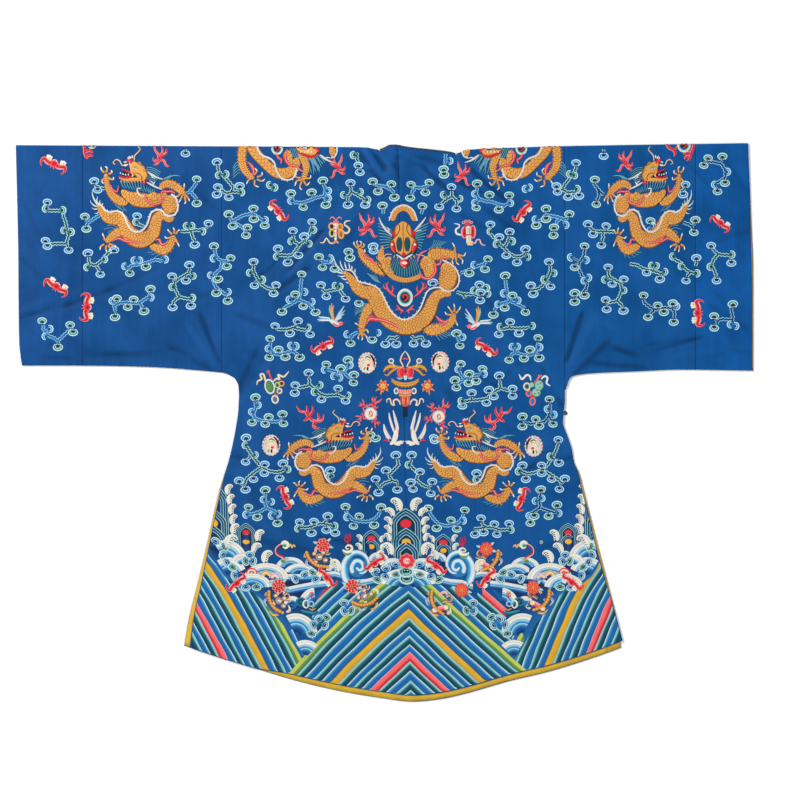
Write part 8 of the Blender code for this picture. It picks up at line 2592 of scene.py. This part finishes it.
def lantern_emblem(work, lift):
    """A coral lantern round a cream post, with a curled top and grey ribbons."""
    looped(work, [(-10, -5), (-16, -6), (-24, -3), (-25, 5), (-19, 9), (-18, 14), (-23, 16), (-29, 17)],
           (3, 4, 4.6, 4.2, 3.4, 3, 2.6, 1.2), ("lilac", "white", "lilac"), lift)
    looped(work, [(9, -22), (14, -23), (17, -17), (23, -16), (26, -24), (31, -27), (35, -26.7)],
           (2.6, 3, 3, 2.8, 3, 2.6, 1.2), ("lilac", "pink", "lilac"), lift)
    ring(work, -7.4, -1, 7.4, 12.4, 4.2, "coral", lift + 0.2, "crimson")
    ring(work, 9.0, 0, 6.8, 13.8, 4.0, "coral", lift + 0.2, "crimson")
    work.ribbon(arc((9.0, 0), 5.8, 12.6, -80, 90, 9), 1.2, "pink", lift + 0.40, 0.05)
    work.ribbon(arc((-7.4, -1), 6.4, 11.2, 90, 270, 9), 1.2, "pink", lift + 0.40, 0.05)
    work.ribbon([(0.4, 12), (0.6, -8), (1.6, -26)], (10, 9.6, 10.4), ("cream", "white", "cream"), lift + 0.34,
                0.25)
    for path in ([(-0.4, 9), (-0.4, -4)], [(2.6, 9), (2.6, -4)], [(1.2, -9), (1.6, -19)]):
        work.ribbon(path, 1.3, "moss", lift + 0.62, 0.04)
    work.ribbon([(-12, -6.2), (0, -6), (13, -6.2)], 2.6, ("crimson", "red", "crimson"), lift + 0.66, 0.1)
    work.ribbon([(-1.6, -23), (9.4, -23)], 8.4, ("cream", "gold", "cream"), lift + 0.5, 0.2, blunt=True)
    for y in (9, -9):
        for x in (-8, 9.6):
            work.dot((x, y), 1.3, 1.9, "ink", lift + 0.42, 0.04, count=6)
    work.dot((-1.6, 16), 5.4, 4.8, "red", lift + 0.5, 0.3, rim="coral", count=12)
    for cx, cy in ((-10, 18.6), (-5, 21.6), (1.6, 21.6), (6.6, 19)):
        ring(work, cx, cy, 2.9, 2.7, 1.2, "pink", lift + 0.46)


def star(work, x, y, radius, lift):
    """A star-shaped flower with a bead on each petal."""
    for k in range(7):
        a = math.radians(360 * k / 7 + 12)
        tip = (x + radius * math.cos(a), y + radius * math.sin(a))
        work.ribbon([(x, y), (mix(x, tip[0], 0.55), mix(y, tip[1], 0.55)), tip], (4, 8.4, 3.0),
                    ("umber", "gold", "yellow", "gold", "umber"), lift, 0.25, across=5)
        work.dot((mix(x, tip[0], 0.60), mix(y, tip[1], 0.60)), 2.4, 2.6, "red", lift + 0.26, 0.16,
                 rim="coral", count=8)
    work.dot((x, y), 3.2, 3.2, "yellow", lift + 0.34, 0.2, rim="cream", count=9)
    work.dot((x, y), 1.4, 1.4, "moss", lift + 0.52, 0.06, count=6)


def chime(work, lift):
    """The middle emblem: fruit in a gold basket under a knot, star flowers, scrolls and a long tassel."""
    for side in (-1, 1):
        looped(work, [(0, 61), (side * 6, 53), (side * 9.6, 42), (side * 6, 35), (side * 3.4, 28)],
               (1.6, 3, 3.2, 3, 2.6), ("brown", "cream", "coral"), lift)
        work.ribbon([(side * 6, 27), (side * 16, 28), (side * 28, 30), (side * 38, 27), (side * 44, 19)],
                    (5, 7, 8.4, 7, 2.4), ("umber", "gold", "yellow", "gold", "umber"), lift + 0.2, 0.3)
        work.ribbon([(side * 17, 26), (side * 28, 20), (side * 36, 12), (side * 42, 14)], (4, 6, 5, 1.8),
                    ("umber", "gold", "brown"), lift + 0.26, 0.25)
        work.ribbon([(side * 18, 24), (side * 24, 34), (side * 27, 37)], (3, 3, 2),
                    ("umber", "cream", "lilac"), lift + 0.3)
        ring(work, side * 28.5, 41, 6.0, 5.6, 2.4, "cream", lift + 0.3, "azure")
        for k in range(4):
            work.dot((side * (19 + 5.4 * k), 27.4 - 1.4 * k), 1.5, 1.3, "coral" if k % 2 else "brown",
                     lift + 0.56, 0.08, count=6)
        star(work, side * 45, -10, 12.6, lift + 0.3)
        for tip in ((35, -21), (60, -20), (49, 4), (50, -28)):
            work.ribbon([(side * 45, -10), (side * tip[0], tip[1])], (2.6, 5.2, 1.6),
                        ("umber", "gold", "umber"), lift + 0.16, 0.2)
        looped(work, [(side * 10, -48), (side * 12, -41), (side * 18, -37), (side * 24, -41),
                      (side * 22, -49), (side * 28, -46), (side * 31, -36), (side * 37, -38),
                      (side * 37, -44)], (2.4, 3.4, 3.8, 3.6, 3.4, 3.2, 3.2, 2.8, 1.4),
               ("umber", "cream", "coral" if side < 0 else "lilac"), lift)
        ring(work, side * 18, -20, 5.4, 6.6, 2.6, "cream", lift + 0.5, "azure")
    work.ribbon([(-6, 44), (0, 46), (6, 44)], (2, 3.4, 2), ("crimson", "coral", "crimson"), lift + 0.3, 0.2)
    for cx in (-8.4, 9.4):
        work.dot((cx, 18), 8.4, 11.4, "red", lift + 0.75, 0.45, rim="coral", count=16)
        work.ribbon(arc((cx, 18), 4.4, 7.4, 100, 250, 7), 1.6, "coral", lift + 1.2, 0.05)
        work.ribbon(arc((cx, 18), 4.4, 7.4, -80, 70, 7), 1.2, "crimson", lift + 1.2, 0.05)
        work.dot((cx, 28), 4.4, 2.6, "gold", lift + 1.0, 0.15, rim="umber", count=8)
    work.dot((0.5, 20), 3.4, 6.4, "crimson", lift + 0.9, 0.2, rim="coral", count=10)
    work.dot((0.5, 7), 4.0, 5.6, "pale", lift + 0.9, 0.2, rim="sky", count=10)
    for side in (-1, 1):
        work.ribbon([(side * 5, 6), (side * 12, 5), (side * 17, 8)], (2, 5, 1.6), ("sky", "pale", "navy"),
                    lift + 0.94, 0.2)
    for row, (y, dye) in enumerate(((1.5, "gold"), (-2.5, "yellow"))):
        work.ribbon([(-28, y + 3), (-17, y - 3.4), (0, y - 6.6), (17, y - 3.4), (28, y + 3)],
                    (2.4, 4.4, 5, 4.4, 2.4), ("umber", dye, "umber"), lift + 1.0 - 0.1 * row, 0.3)
    for k in range(15):
        x = -24.5 + 3.5 * k
        y = -6.6 + (abs(x) / 28.0) ** 2 * 9
        work.ribbon([(x, y), (x * 0.93, y - 7.4)], (1.8, 2.2, 1.0), "gold" if k % 2 else "umber", lift + 0.82,
                    0.12)
    work.ribbon([(-15.4, -20), (0, -22), (15.4, -20)], (8, 10, 8), ("coral", "pink", "gold", "pink", "coral"),
                lift + 0.95, 0.35)
    work.ribbon([(-13, -28), (0, -30), (13, -28)], (5, 6.4, 5), ("umber", "gold", "umber"), lift + 0.9, 0.3)
    for k in range(8):
        x = -12.6 + 3.6 * k
        work.ribbon([(x, -17), (x + 1.4, -20.5), (x, -24)], 0.9, "crimson" if k % 2 else "brown", lift + 1.34,
                    0.05)
    for k in range(6):
        x = -8.5 + 3.4 * k
        work.ribbon([(x, -31), (x * 0.9, -40), (x * 0.75, -50)], (2.4, 2.8, 1.2),
                    ("red", "gold", "coral")[k % 3], lift + 0.6, 0.2)
    for k in range(5):
        work.ribbon([(k * 1.2 - 2.4, -49), (k * 1.5 - 3.0, -60), (k * 1.7 - 3.4, -73)], (1.8, 2.2, 1.0),
                    "ink" if k % 2 else "navy", lift + 0.5 + 0.04 * k, 0.2)
    work.ribbon([(-5, -49), (0, -50.5), (5, -49)], 3.4, ("crimson", "coral", "crimson"), lift + 0.85, 0.2)


class ROBE_OT_creatures(Operator):
    """Bats, flames, pearls, cranes and birds among the clouds."""

    bl_idname = "robe.creatures"
    bl_label = "Bats, flames, pearls, cranes and birds"

    def execute(self, context):
        work = Work()
        for x, y, turn, size in BATS:
            bat(work, x, y, turn, 0.75, size)
        work.piece("bats", silk("floss"), on_back, back_limits)
        work = Work()
        work.spot = Spot(about=True)
        for x, y, turn in BORDER_BATS:
            bat(work, x, y, turn, 1.85, 0.96)
        work.piece("border_bats", silk("floss"), on_back, back_limits)
        work = Work()
        for x, y, turn, size, mirror in FLAMES:
            flame(work, x, y, turn, size, 0.8, mirror)
        for x, y, mirror in LONG_FLAMES:
            flame(work, x, y, 0, 1.0, 0.8, mirror, LONG_TONGUES)
        for x, y, radius, eye in PEARLS:
            pearl(work, x, y, radius, 0.8, eye)
        for side in (-1, 1):
            for path, widths in PEARL_FIRE:
                flat = [(BIG_PEARL[0] + side * x, BIG_PEARL[1] + y) for x, y in path]
                work.ribbon(flat, widths, ("crimson", "red", "coral", "red", "crimson"), 0.8, 0.3)
        for path in FOLD_FIRE:
            work.ribbon(path, (5.4, 6.2, 5.6, 4.6, 1.8), FIRE, 0.8, 0.3)
        for x, y, side in ((-29, 19, -1), (109, 13, 1)):
            for turn, size in ((60, 0.62), (130, 0.46), (200, 0.46), (300, 0.46)):
                a = math.radians(turn)
                flame(work, x + 18 * math.cos(a), y + 20 * math.sin(a), turn - 90, size, 0.65, side)
        work.piece("flames_and_pearls", silk("floss"), on_back, back_limits)
        work = Work()
        for x, y in ROUNDELS:
            crane_roundel(work, x, y, 0.6, 1 if x < 40 else -1)
        magpie(work, -107, 210, 1, 0.7)
        magpie(work, 190, 204, -1, 0.7)
        crane(work, 16, -17, 1, 0.7)
        crane(work, 66, -17, -1, 0.7)
        work.piece("cranes_and_birds", silk("floss"), on_back, back_limits)
        return {"FINISHED"}


class ROBE_OT_emblems(Operator):
    """Lucky emblems: the hanging basket, gourds, a fan and a lantern."""

    bl_idname = "robe.emblems"
    bl_label = "Emblems"

    def execute(self, context):
        work = Work()
        work.spot = Spot(42, 84)
        chime(work, 0.6)
        work.spot = Spot()
        for draw, x, y in ((gourd_left, -232, 73), (gourd_right, 303, 70), (flute_emblem, -96, 391),
                           (lantern_emblem, 170, 387)):
            work.spot = Spot(x, y)
            draw(work, 0.6)
        work.piece("emblems", silk("floss"), on_back, back_limits)
        return {"FINISHED"}


EMBROIDERY = [ROBE_OT_stripes, ROBE_OT_waves, ROBE_OT_mountains, ROBE_OT_border_flowers, ROBE_OT_clouds,
              ROBE_OT_dragons, ROBE_OT_creatures, ROBE_OT_emblems]




def knot(name, x, y, turn, material):
    """A knot of rolled cloth: a pressed ball wound round with strands."""
    half = KNOT_RADIUS * KNOT_SQUASH
    bpy.ops.object.select_all(action="DESELECT")
    bpy.ops.mesh.primitive_uv_sphere_add(segments=48, ring_count=28, radius=KNOT_RADIUS * 0.97,
                                         location=(0, 0, 0))
    piece = bpy.context.object
    piece.name = "knot_" + name
    piece.data.name = piece.name
    count = len(piece.data.vertices)
    points = np.empty(count * 3, np.float32)
    piece.data.vertices.foreach_get("co", points)
    points = points.reshape(-1, 3).astype(float)
    unit = points / np.linalg.norm(points, axis=1)[:, None]
    first = np.abs(np.sin(5.0 * np.arctan2(unit[:, 1], unit[:, 0] + 0.35) + 2.5 * unit[:, 2]))
    second = np.abs(np.sin(4.0 * np.arctan2(unit[:, 2], unit[:, 0]) - 2.0 * unit[:, 1]))
    groove = np.minimum(first, second)
    points = unit * (KNOT_RADIUS * (0.90 + 0.08 * np.minimum(1.0, groove * 1.8)))[:, None]
    points[:, 2] *= KNOT_SQUASH
    c, s = math.cos(turn), math.sin(turn)
    placed = np.stack([x + points[:, 0] * c - points[:, 1] * s, y + points[:, 0] * s + points[:, 1] * c,
                       half + points[:, 2]], axis=-1)
    piece.data.vertices.foreach_set("co", placed.astype(np.float32).ravel())
    piece.data.update()
    piece.data.shade_smooth()
    piece.data.materials.clear()
    piece.data.materials.append(material)
    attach(piece, "root")
    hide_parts("button_" + name)


def loop(name, x, y, turn, reaches, material):
    """The bias-cut cord round a knot: a round tube with a fine twist along it."""
    around = LOOP_TURN
    points = [(-reaches[0], -around), (-reaches[0] / 2, -around)]
    points += [(around * math.sin(a), -around * math.cos(a)) for a in (math.pi * k / 12 for k in range(13))]
    points += [(-reaches[1] / 2, around), (-reaches[1], around)]
    path = smooth(np.array(points), 0.0003)
    run, side = along(path), directions(path)[1]
    sides = 10
    angles = 2 * np.pi * np.arange(sides) / sides
    radius = LOOP_CORD * (0.93 + 0.06 * np.cos(3 * angles[None] - run[:, None] / 0.0007))
    out = radius * np.cos(angles)
    flat = path[:, None] + side[:, None] * out[..., None]
    c, s = math.cos(turn), math.sin(turn)
    rings = np.stack([x + flat[..., 0] * c - flat[..., 1] * s, y + flat[..., 0] * s + flat[..., 1] * c,
                      LOOP_CORD + radius * np.sin(angles)], axis=-1)
    index = np.arange(len(path) * sides).reshape(len(path), sides)
    beside = np.roll(index, -1, axis=1)
    faces = np.stack([index[:-1], beside[:-1], beside[1:], index[1:]], axis=-1).reshape(-1, 4).tolist()
    faces += [index[0, ::-1].tolist(), index[-1].tolist()]
    piece = mesh_object("cord_" + name, rings.reshape(-1, 3).tolist(), faces)
    piece.data.shade_smooth()
    piece.data.materials.append(material)
    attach(piece, "root")
    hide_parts("loop_" + name)


def floor(colour):
    """A pale studio table, its surface just under the front's stitches."""
    bpy.ops.object.select_all(action="DESELECT")
    bpy.ops.mesh.primitive_grid_add(x_subdivisions=12, y_subdivisions=12, size=14.0, location=(0, 0, 0))
    table = bpy.context.object
    table.name = "studio_table"
    points = np.empty(len(table.data.vertices) * 3, np.float32)
    table.data.vertices.foreach_get("co", points)
    points = points.reshape(-1, 3)
    points[:, 2] = TABLE_Z
    table.data.vertices.foreach_set("co", points.ravel())
    material, tree, shader = new_material("pale_table")
    place = node(tree, "TexCoord").outputs["Object"]
    soft = noise(tree, place, 3.0, 4.0)
    ground = tint(tree, soft, (*colour, 1.0), (*(c * 0.985 for c in colour), 1.0))
    tree.links.new(ground, shader.inputs["Base Color"])
    shader.inputs["Roughness"].default_value = 0.9
    shader.inputs["Specular IOR Level"].default_value = 0.1
    table.data.materials.append(material)


def lamp(name, place, aim, size, power):
    """A soft lamp that shines from its place towards its aim."""
    data = bpy.data.lights.new(name, "AREA")
    data.shape = "RECTANGLE"
    data.size, data.size_y = size
    data.energy = power
    light = bpy.data.objects.new(name, data)
    light.location = place
    back = np.array(place) - np.array(aim)
    light.rotation_euler = Vector(back).to_track_quat("Z", "Y").to_euler()
    bpy.context.scene.collection.objects.link(light)


def camera(place, frame_width, lens):
    """A camera straight above the place, at the height from which it sees this width."""
    data = bpy.data.cameras.new("view")
    data.sensor_width = SENSOR_WIDTH
    data.lens = lens
    view = bpy.data.objects.new("view", data)
    view.location = (*place, frame_width * lens / SENSOR_WIDTH + INSIDE_Z)
    data.clip_start, data.clip_end = 0.1, 60.0
    bpy.context.scene.collection.objects.link(view)
    bpy.context.scene.camera = view


def colour(label, about, default):
    """A colour property, in the light that shaders work with."""
    return FloatVectorProperty(name=label, description=about, default=default, subtype="COLOR", size=3,
                               min=0.0, max=1.0)


class RobeCloth(PropertyGroup):
    """Dyes of the plain silks."""

    satin_left: colour("Satin, left", "Dye of the satin towards the left cuff", (0.0046, 0.0600, 0.2100))
    satin_right: colour("Satin, right", "Dye of the satin towards the right cuff", (0.0012, 0.0710, 0.2480))
    cuff_left: colour("Cuff, left", "Dye of the left cuff band", (0.0046, 0.0590, 0.2120))
    cuff_right: colour("Cuff, right", "Dye of the right cuff band", (0.0012, 0.0700, 0.2560))
    facing: colour("Facing", "Dye of the yellow facings", (0.6100, 0.3700, 0.0090))
    binding: colour("Binding", "Dye of the neck binding, knots and loops", (0.0090, 0.0170, 0.0600))
    streaks: FloatProperty(name="Streaks", description="Strength of the warp streaks", default=0.35, min=0.0,
                           max=1.0)


class RobeThread(PropertyGroup):
    """How the embroidery threads catch the light."""

    floss: FloatProperty(name="Floss stitch", description="Width of a stitch of silk floss", default=0.0009,
                         unit="LENGTH", min=0.0001)
    couching: FloatProperty(name="Couching", description="Distance between couched gold threads",
                            default=0.0012, unit="LENGTH", min=0.0001)
    metal: FloatProperty(name="Metal", description="How metallic the gold thread is", default=0.25, min=0.0,
                         max=1.0)


class RobeStudio(PropertyGroup):
    """Table, lamps and camera."""

    table: colour("Table", "Colour of the table", (0.96, 0.96, 0.96))
    sky: FloatProperty(name="Room light", description="Light from all round", default=0.46, min=0.0)
    key: FloatProperty(name="Main lamp", description="Power of the large lamp", default=350.0, min=0.0)
    fill: FloatProperty(name="Fill lamp", description="Power of the opposite lamp", default=110.0, min=0.0)
    lens: FloatProperty(name="Lens", description="Focal length", default=135.0, min=10.0)
    frame_width: FloatProperty(name="Frame width", description="Width of the picture on the table",
                               default=1.624, unit="LENGTH", min=0.1)
    look_x: FloatProperty(name="Look at X", description="Middle of the picture", default=0.0315,
                          unit="LENGTH")
    look_y: FloatProperty(name="Look at Y", description="Middle of the picture", default=0.0457,
                          unit="LENGTH")


MADE = {}  # the materials made so far


def silk(name):
    """The named material, made once from the properties."""
    cloth = bpy.context.scene.robe_cloth
    makers = {
        "blue_satin": lambda: satin("blue_satin", cloth.satin_left, cloth.satin_right, cloth.streaks),
        "cuff_satin_left": lambda: satin("cuff_satin_left", cloth.cuff_left, cloth.cuff_left, cloth.streaks),
        "cuff_satin_right": lambda: satin("cuff_satin_right", cloth.cuff_right, cloth.cuff_right,
                                          cloth.streaks),
        "yellow_facing": lambda: plain_silk("yellow_facing_silk", cloth.facing, 5200.0),
        "dark_binding": lambda: plain_silk("dark_binding_silk", cloth.binding, 5200.0),
        "floss": lambda: thread("silk_floss", bpy.context.scene.robe_thread.floss, 0.0, 0.50, 0.10),
        "gold": lambda: thread("couched_gold", bpy.context.scene.robe_thread.couching,
                               bpy.context.scene.robe_thread.metal, 0.42, 0.14),
    }
    if name not in MADE:
        MADE[name] = makers[name]()
    return MADE[name]


# Flat sizes of the cuts, width and length.
BODY_FLAT = (0.58, 2.26)
OVERLAP_FLAT = (0.45, 1.05)
SLEEVE_FLAT = (0.94, 0.285)
CUFF_FLAT = (0.92, 0.140)


class ROBE_OT_bodies(Operator):
    """The two body lengths and the outer front."""

    bl_idname = "robe.bodies"
    bl_label = "Body lengths"

    def execute(self, context):
        body_half("body_left_cloth", True, silk("blue_satin"))
        body_half("body_right_cloth", False, silk("blue_satin"))
        overlap_front(silk("blue_satin"))
        return {"FINISHED"}


class ROBE_OT_sleeves(Operator):
    """Both sleeves and their cuff bands."""

    bl_idname = "robe.sleeves"
    bl_label = "Sleeves and cuffs"

    def execute(self, context):
        gap = SEAM / 2

        def upright(x):
            """A seam that stays at one X."""
            return lambda height: np.full(np.shape(height), x)

        left, right = upright(CUFF_SEAM_LEFT + gap), upright(CUFF_SEAM_RIGHT - gap)
        tube("sleeve_left_cloth", SLEEVE_SEAM_LEFT - gap, left, left, under_left, CUFF_FOOT_X,
             silk("blue_satin"), SLEEVE_FLAT)
        tube("sleeve_right_cloth", SLEEVE_SEAM_RIGHT + gap, right, right, under_right, SLEEVE_SEAM_RIGHT,
             silk("blue_satin"), SLEEVE_FLAT)
        tube("cuff_left_cloth", CUFF_SEAM_LEFT - gap, cuff_end_left, cuff_end_left, under_left, CUFF_FOOT_X,
             silk("cuff_satin_left"), CUFF_FLAT)
        tube("cuff_right_cloth", CUFF_SEAM_RIGHT + gap, cuff_end_right, cuff_end_right_lower, under_right,
             SLEEVE_SEAM_RIGHT, silk("cuff_satin_right"), CUFF_FLAT)
        return {"FINISHED"}


class ROBE_OT_edges(Operator):
    """Yellow facings, dark bindings, knots and loops."""

    bl_idname = "robe.edges"
    bl_label = "Facings, bindings and fastenings"

    def execute(self, context):
        facings(silk("yellow_facing"))
        bindings(silk("dark_binding"))
        for name, fastening in (("neck", NECK_FASTENING), ("chest", CHEST_FASTENING)):
            x, y, turn = beside_overlap(*fastening)
            knot(name, x, y, turn, silk("dark_binding"))
            loop(name, x, y, turn, [fastening[1] - BINDING_WIDTH - 2.5 * SEAM] * 2, silk("dark_binding"))
        arms = [SIDE_KNOT_Y - LOOP_TURN, SIDE_KNOT_Y + LOOP_TURN]
        reaches = [SIDE_KNOT_X - float(RIGHT_FRONT(y)) - 1.5 * SEAM for y in arms]
        knot("side", SIDE_KNOT_X, SIDE_KNOT_Y, 0.0, silk("dark_binding"))
        loop("side", SIDE_KNOT_X, SIDE_KNOT_Y, 0.0, reaches, silk("dark_binding"))
        return {"FINISHED"}


class ROBE_OT_studio(Operator):
    """The table, soft lamps and the camera above."""

    bl_idname = "robe.studio"
    bl_label = "Studio"

    def execute(self, context):
        studio = context.scene.robe_studio
        floor(studio.table)
        world = bpy.data.worlds.new("room")
        world.use_nodes = True
        background = world.node_tree.nodes["Background"]
        background.inputs["Color"].default_value = (1.0, 1.0, 1.0, 1.0)
        background.inputs["Strength"].default_value = studio.sky
        context.scene.world = world
        context.scene.view_settings.view_transform = "Standard"
        lamp("main_lamp", (-3.6, 3.2, 4.2), (0.0, 0.0, 0.0), (2.0, 2.0), studio.key)
        lamp("fill_lamp", (3.6, -2.4, 4.8), (0.0, 0.0, 0.0), (2.4, 2.4), studio.fill)
        camera((studio.look_x, studio.look_y), studio.frame_width, studio.lens)
        return {"FINISHED"}


OPERATORS = [ROBE_OT_bodies, ROBE_OT_sleeves, ROBE_OT_edges, *EMBROIDERY, ROBE_OT_studio]


class ROBE_PT_panel(Panel):
    """Shows the robe's settings and its operators in the sidebar."""

    bl_idname = "ROBE_PT_panel"
    bl_label = "Dragon robe"
    bl_space_type = "VIEW_3D"
    bl_region_type = "UI"
    bl_category = "Robe"

    def draw(self, context):
        for group in ("robe_cloth", "robe_thread", "robe_studio"):
            box = self.layout.box()
            settings = getattr(context.scene, group)
            for name in settings.__annotations__:
                box.prop(settings, name)
        for operator in OPERATORS:
            self.layout.operator(operator.bl_idname)


GROUPS = [("robe_cloth", RobeCloth), ("robe_thread", RobeThread), ("robe_studio", RobeStudio)]


def register():
    """Adds the properties, operators and panel."""
    for name, group in GROUPS:
        bpy.utils.register_class(group)
        setattr(bpy.types.Scene, name, PointerProperty(type=group))
    for operator in (*OPERATORS, ROBE_PT_panel):
        bpy.utils.register_class(operator)


def unregister():
    """Takes them out again."""
    for operator in (ROBE_PT_panel, *reversed(OPERATORS)):
        bpy.utils.unregister_class(operator)
    for name, group in reversed(GROUPS):
        delattr(bpy.types.Scene, name)
        bpy.utils.unregister_class(group)


def main():
    """Runs every operator in order."""
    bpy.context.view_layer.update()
    register()
    for operator in OPERATORS:
        area, name = operator.bl_idname.split(".")
        getattr(getattr(bpy.ops, area), name)()


if __name__ == "__main__":
    main()
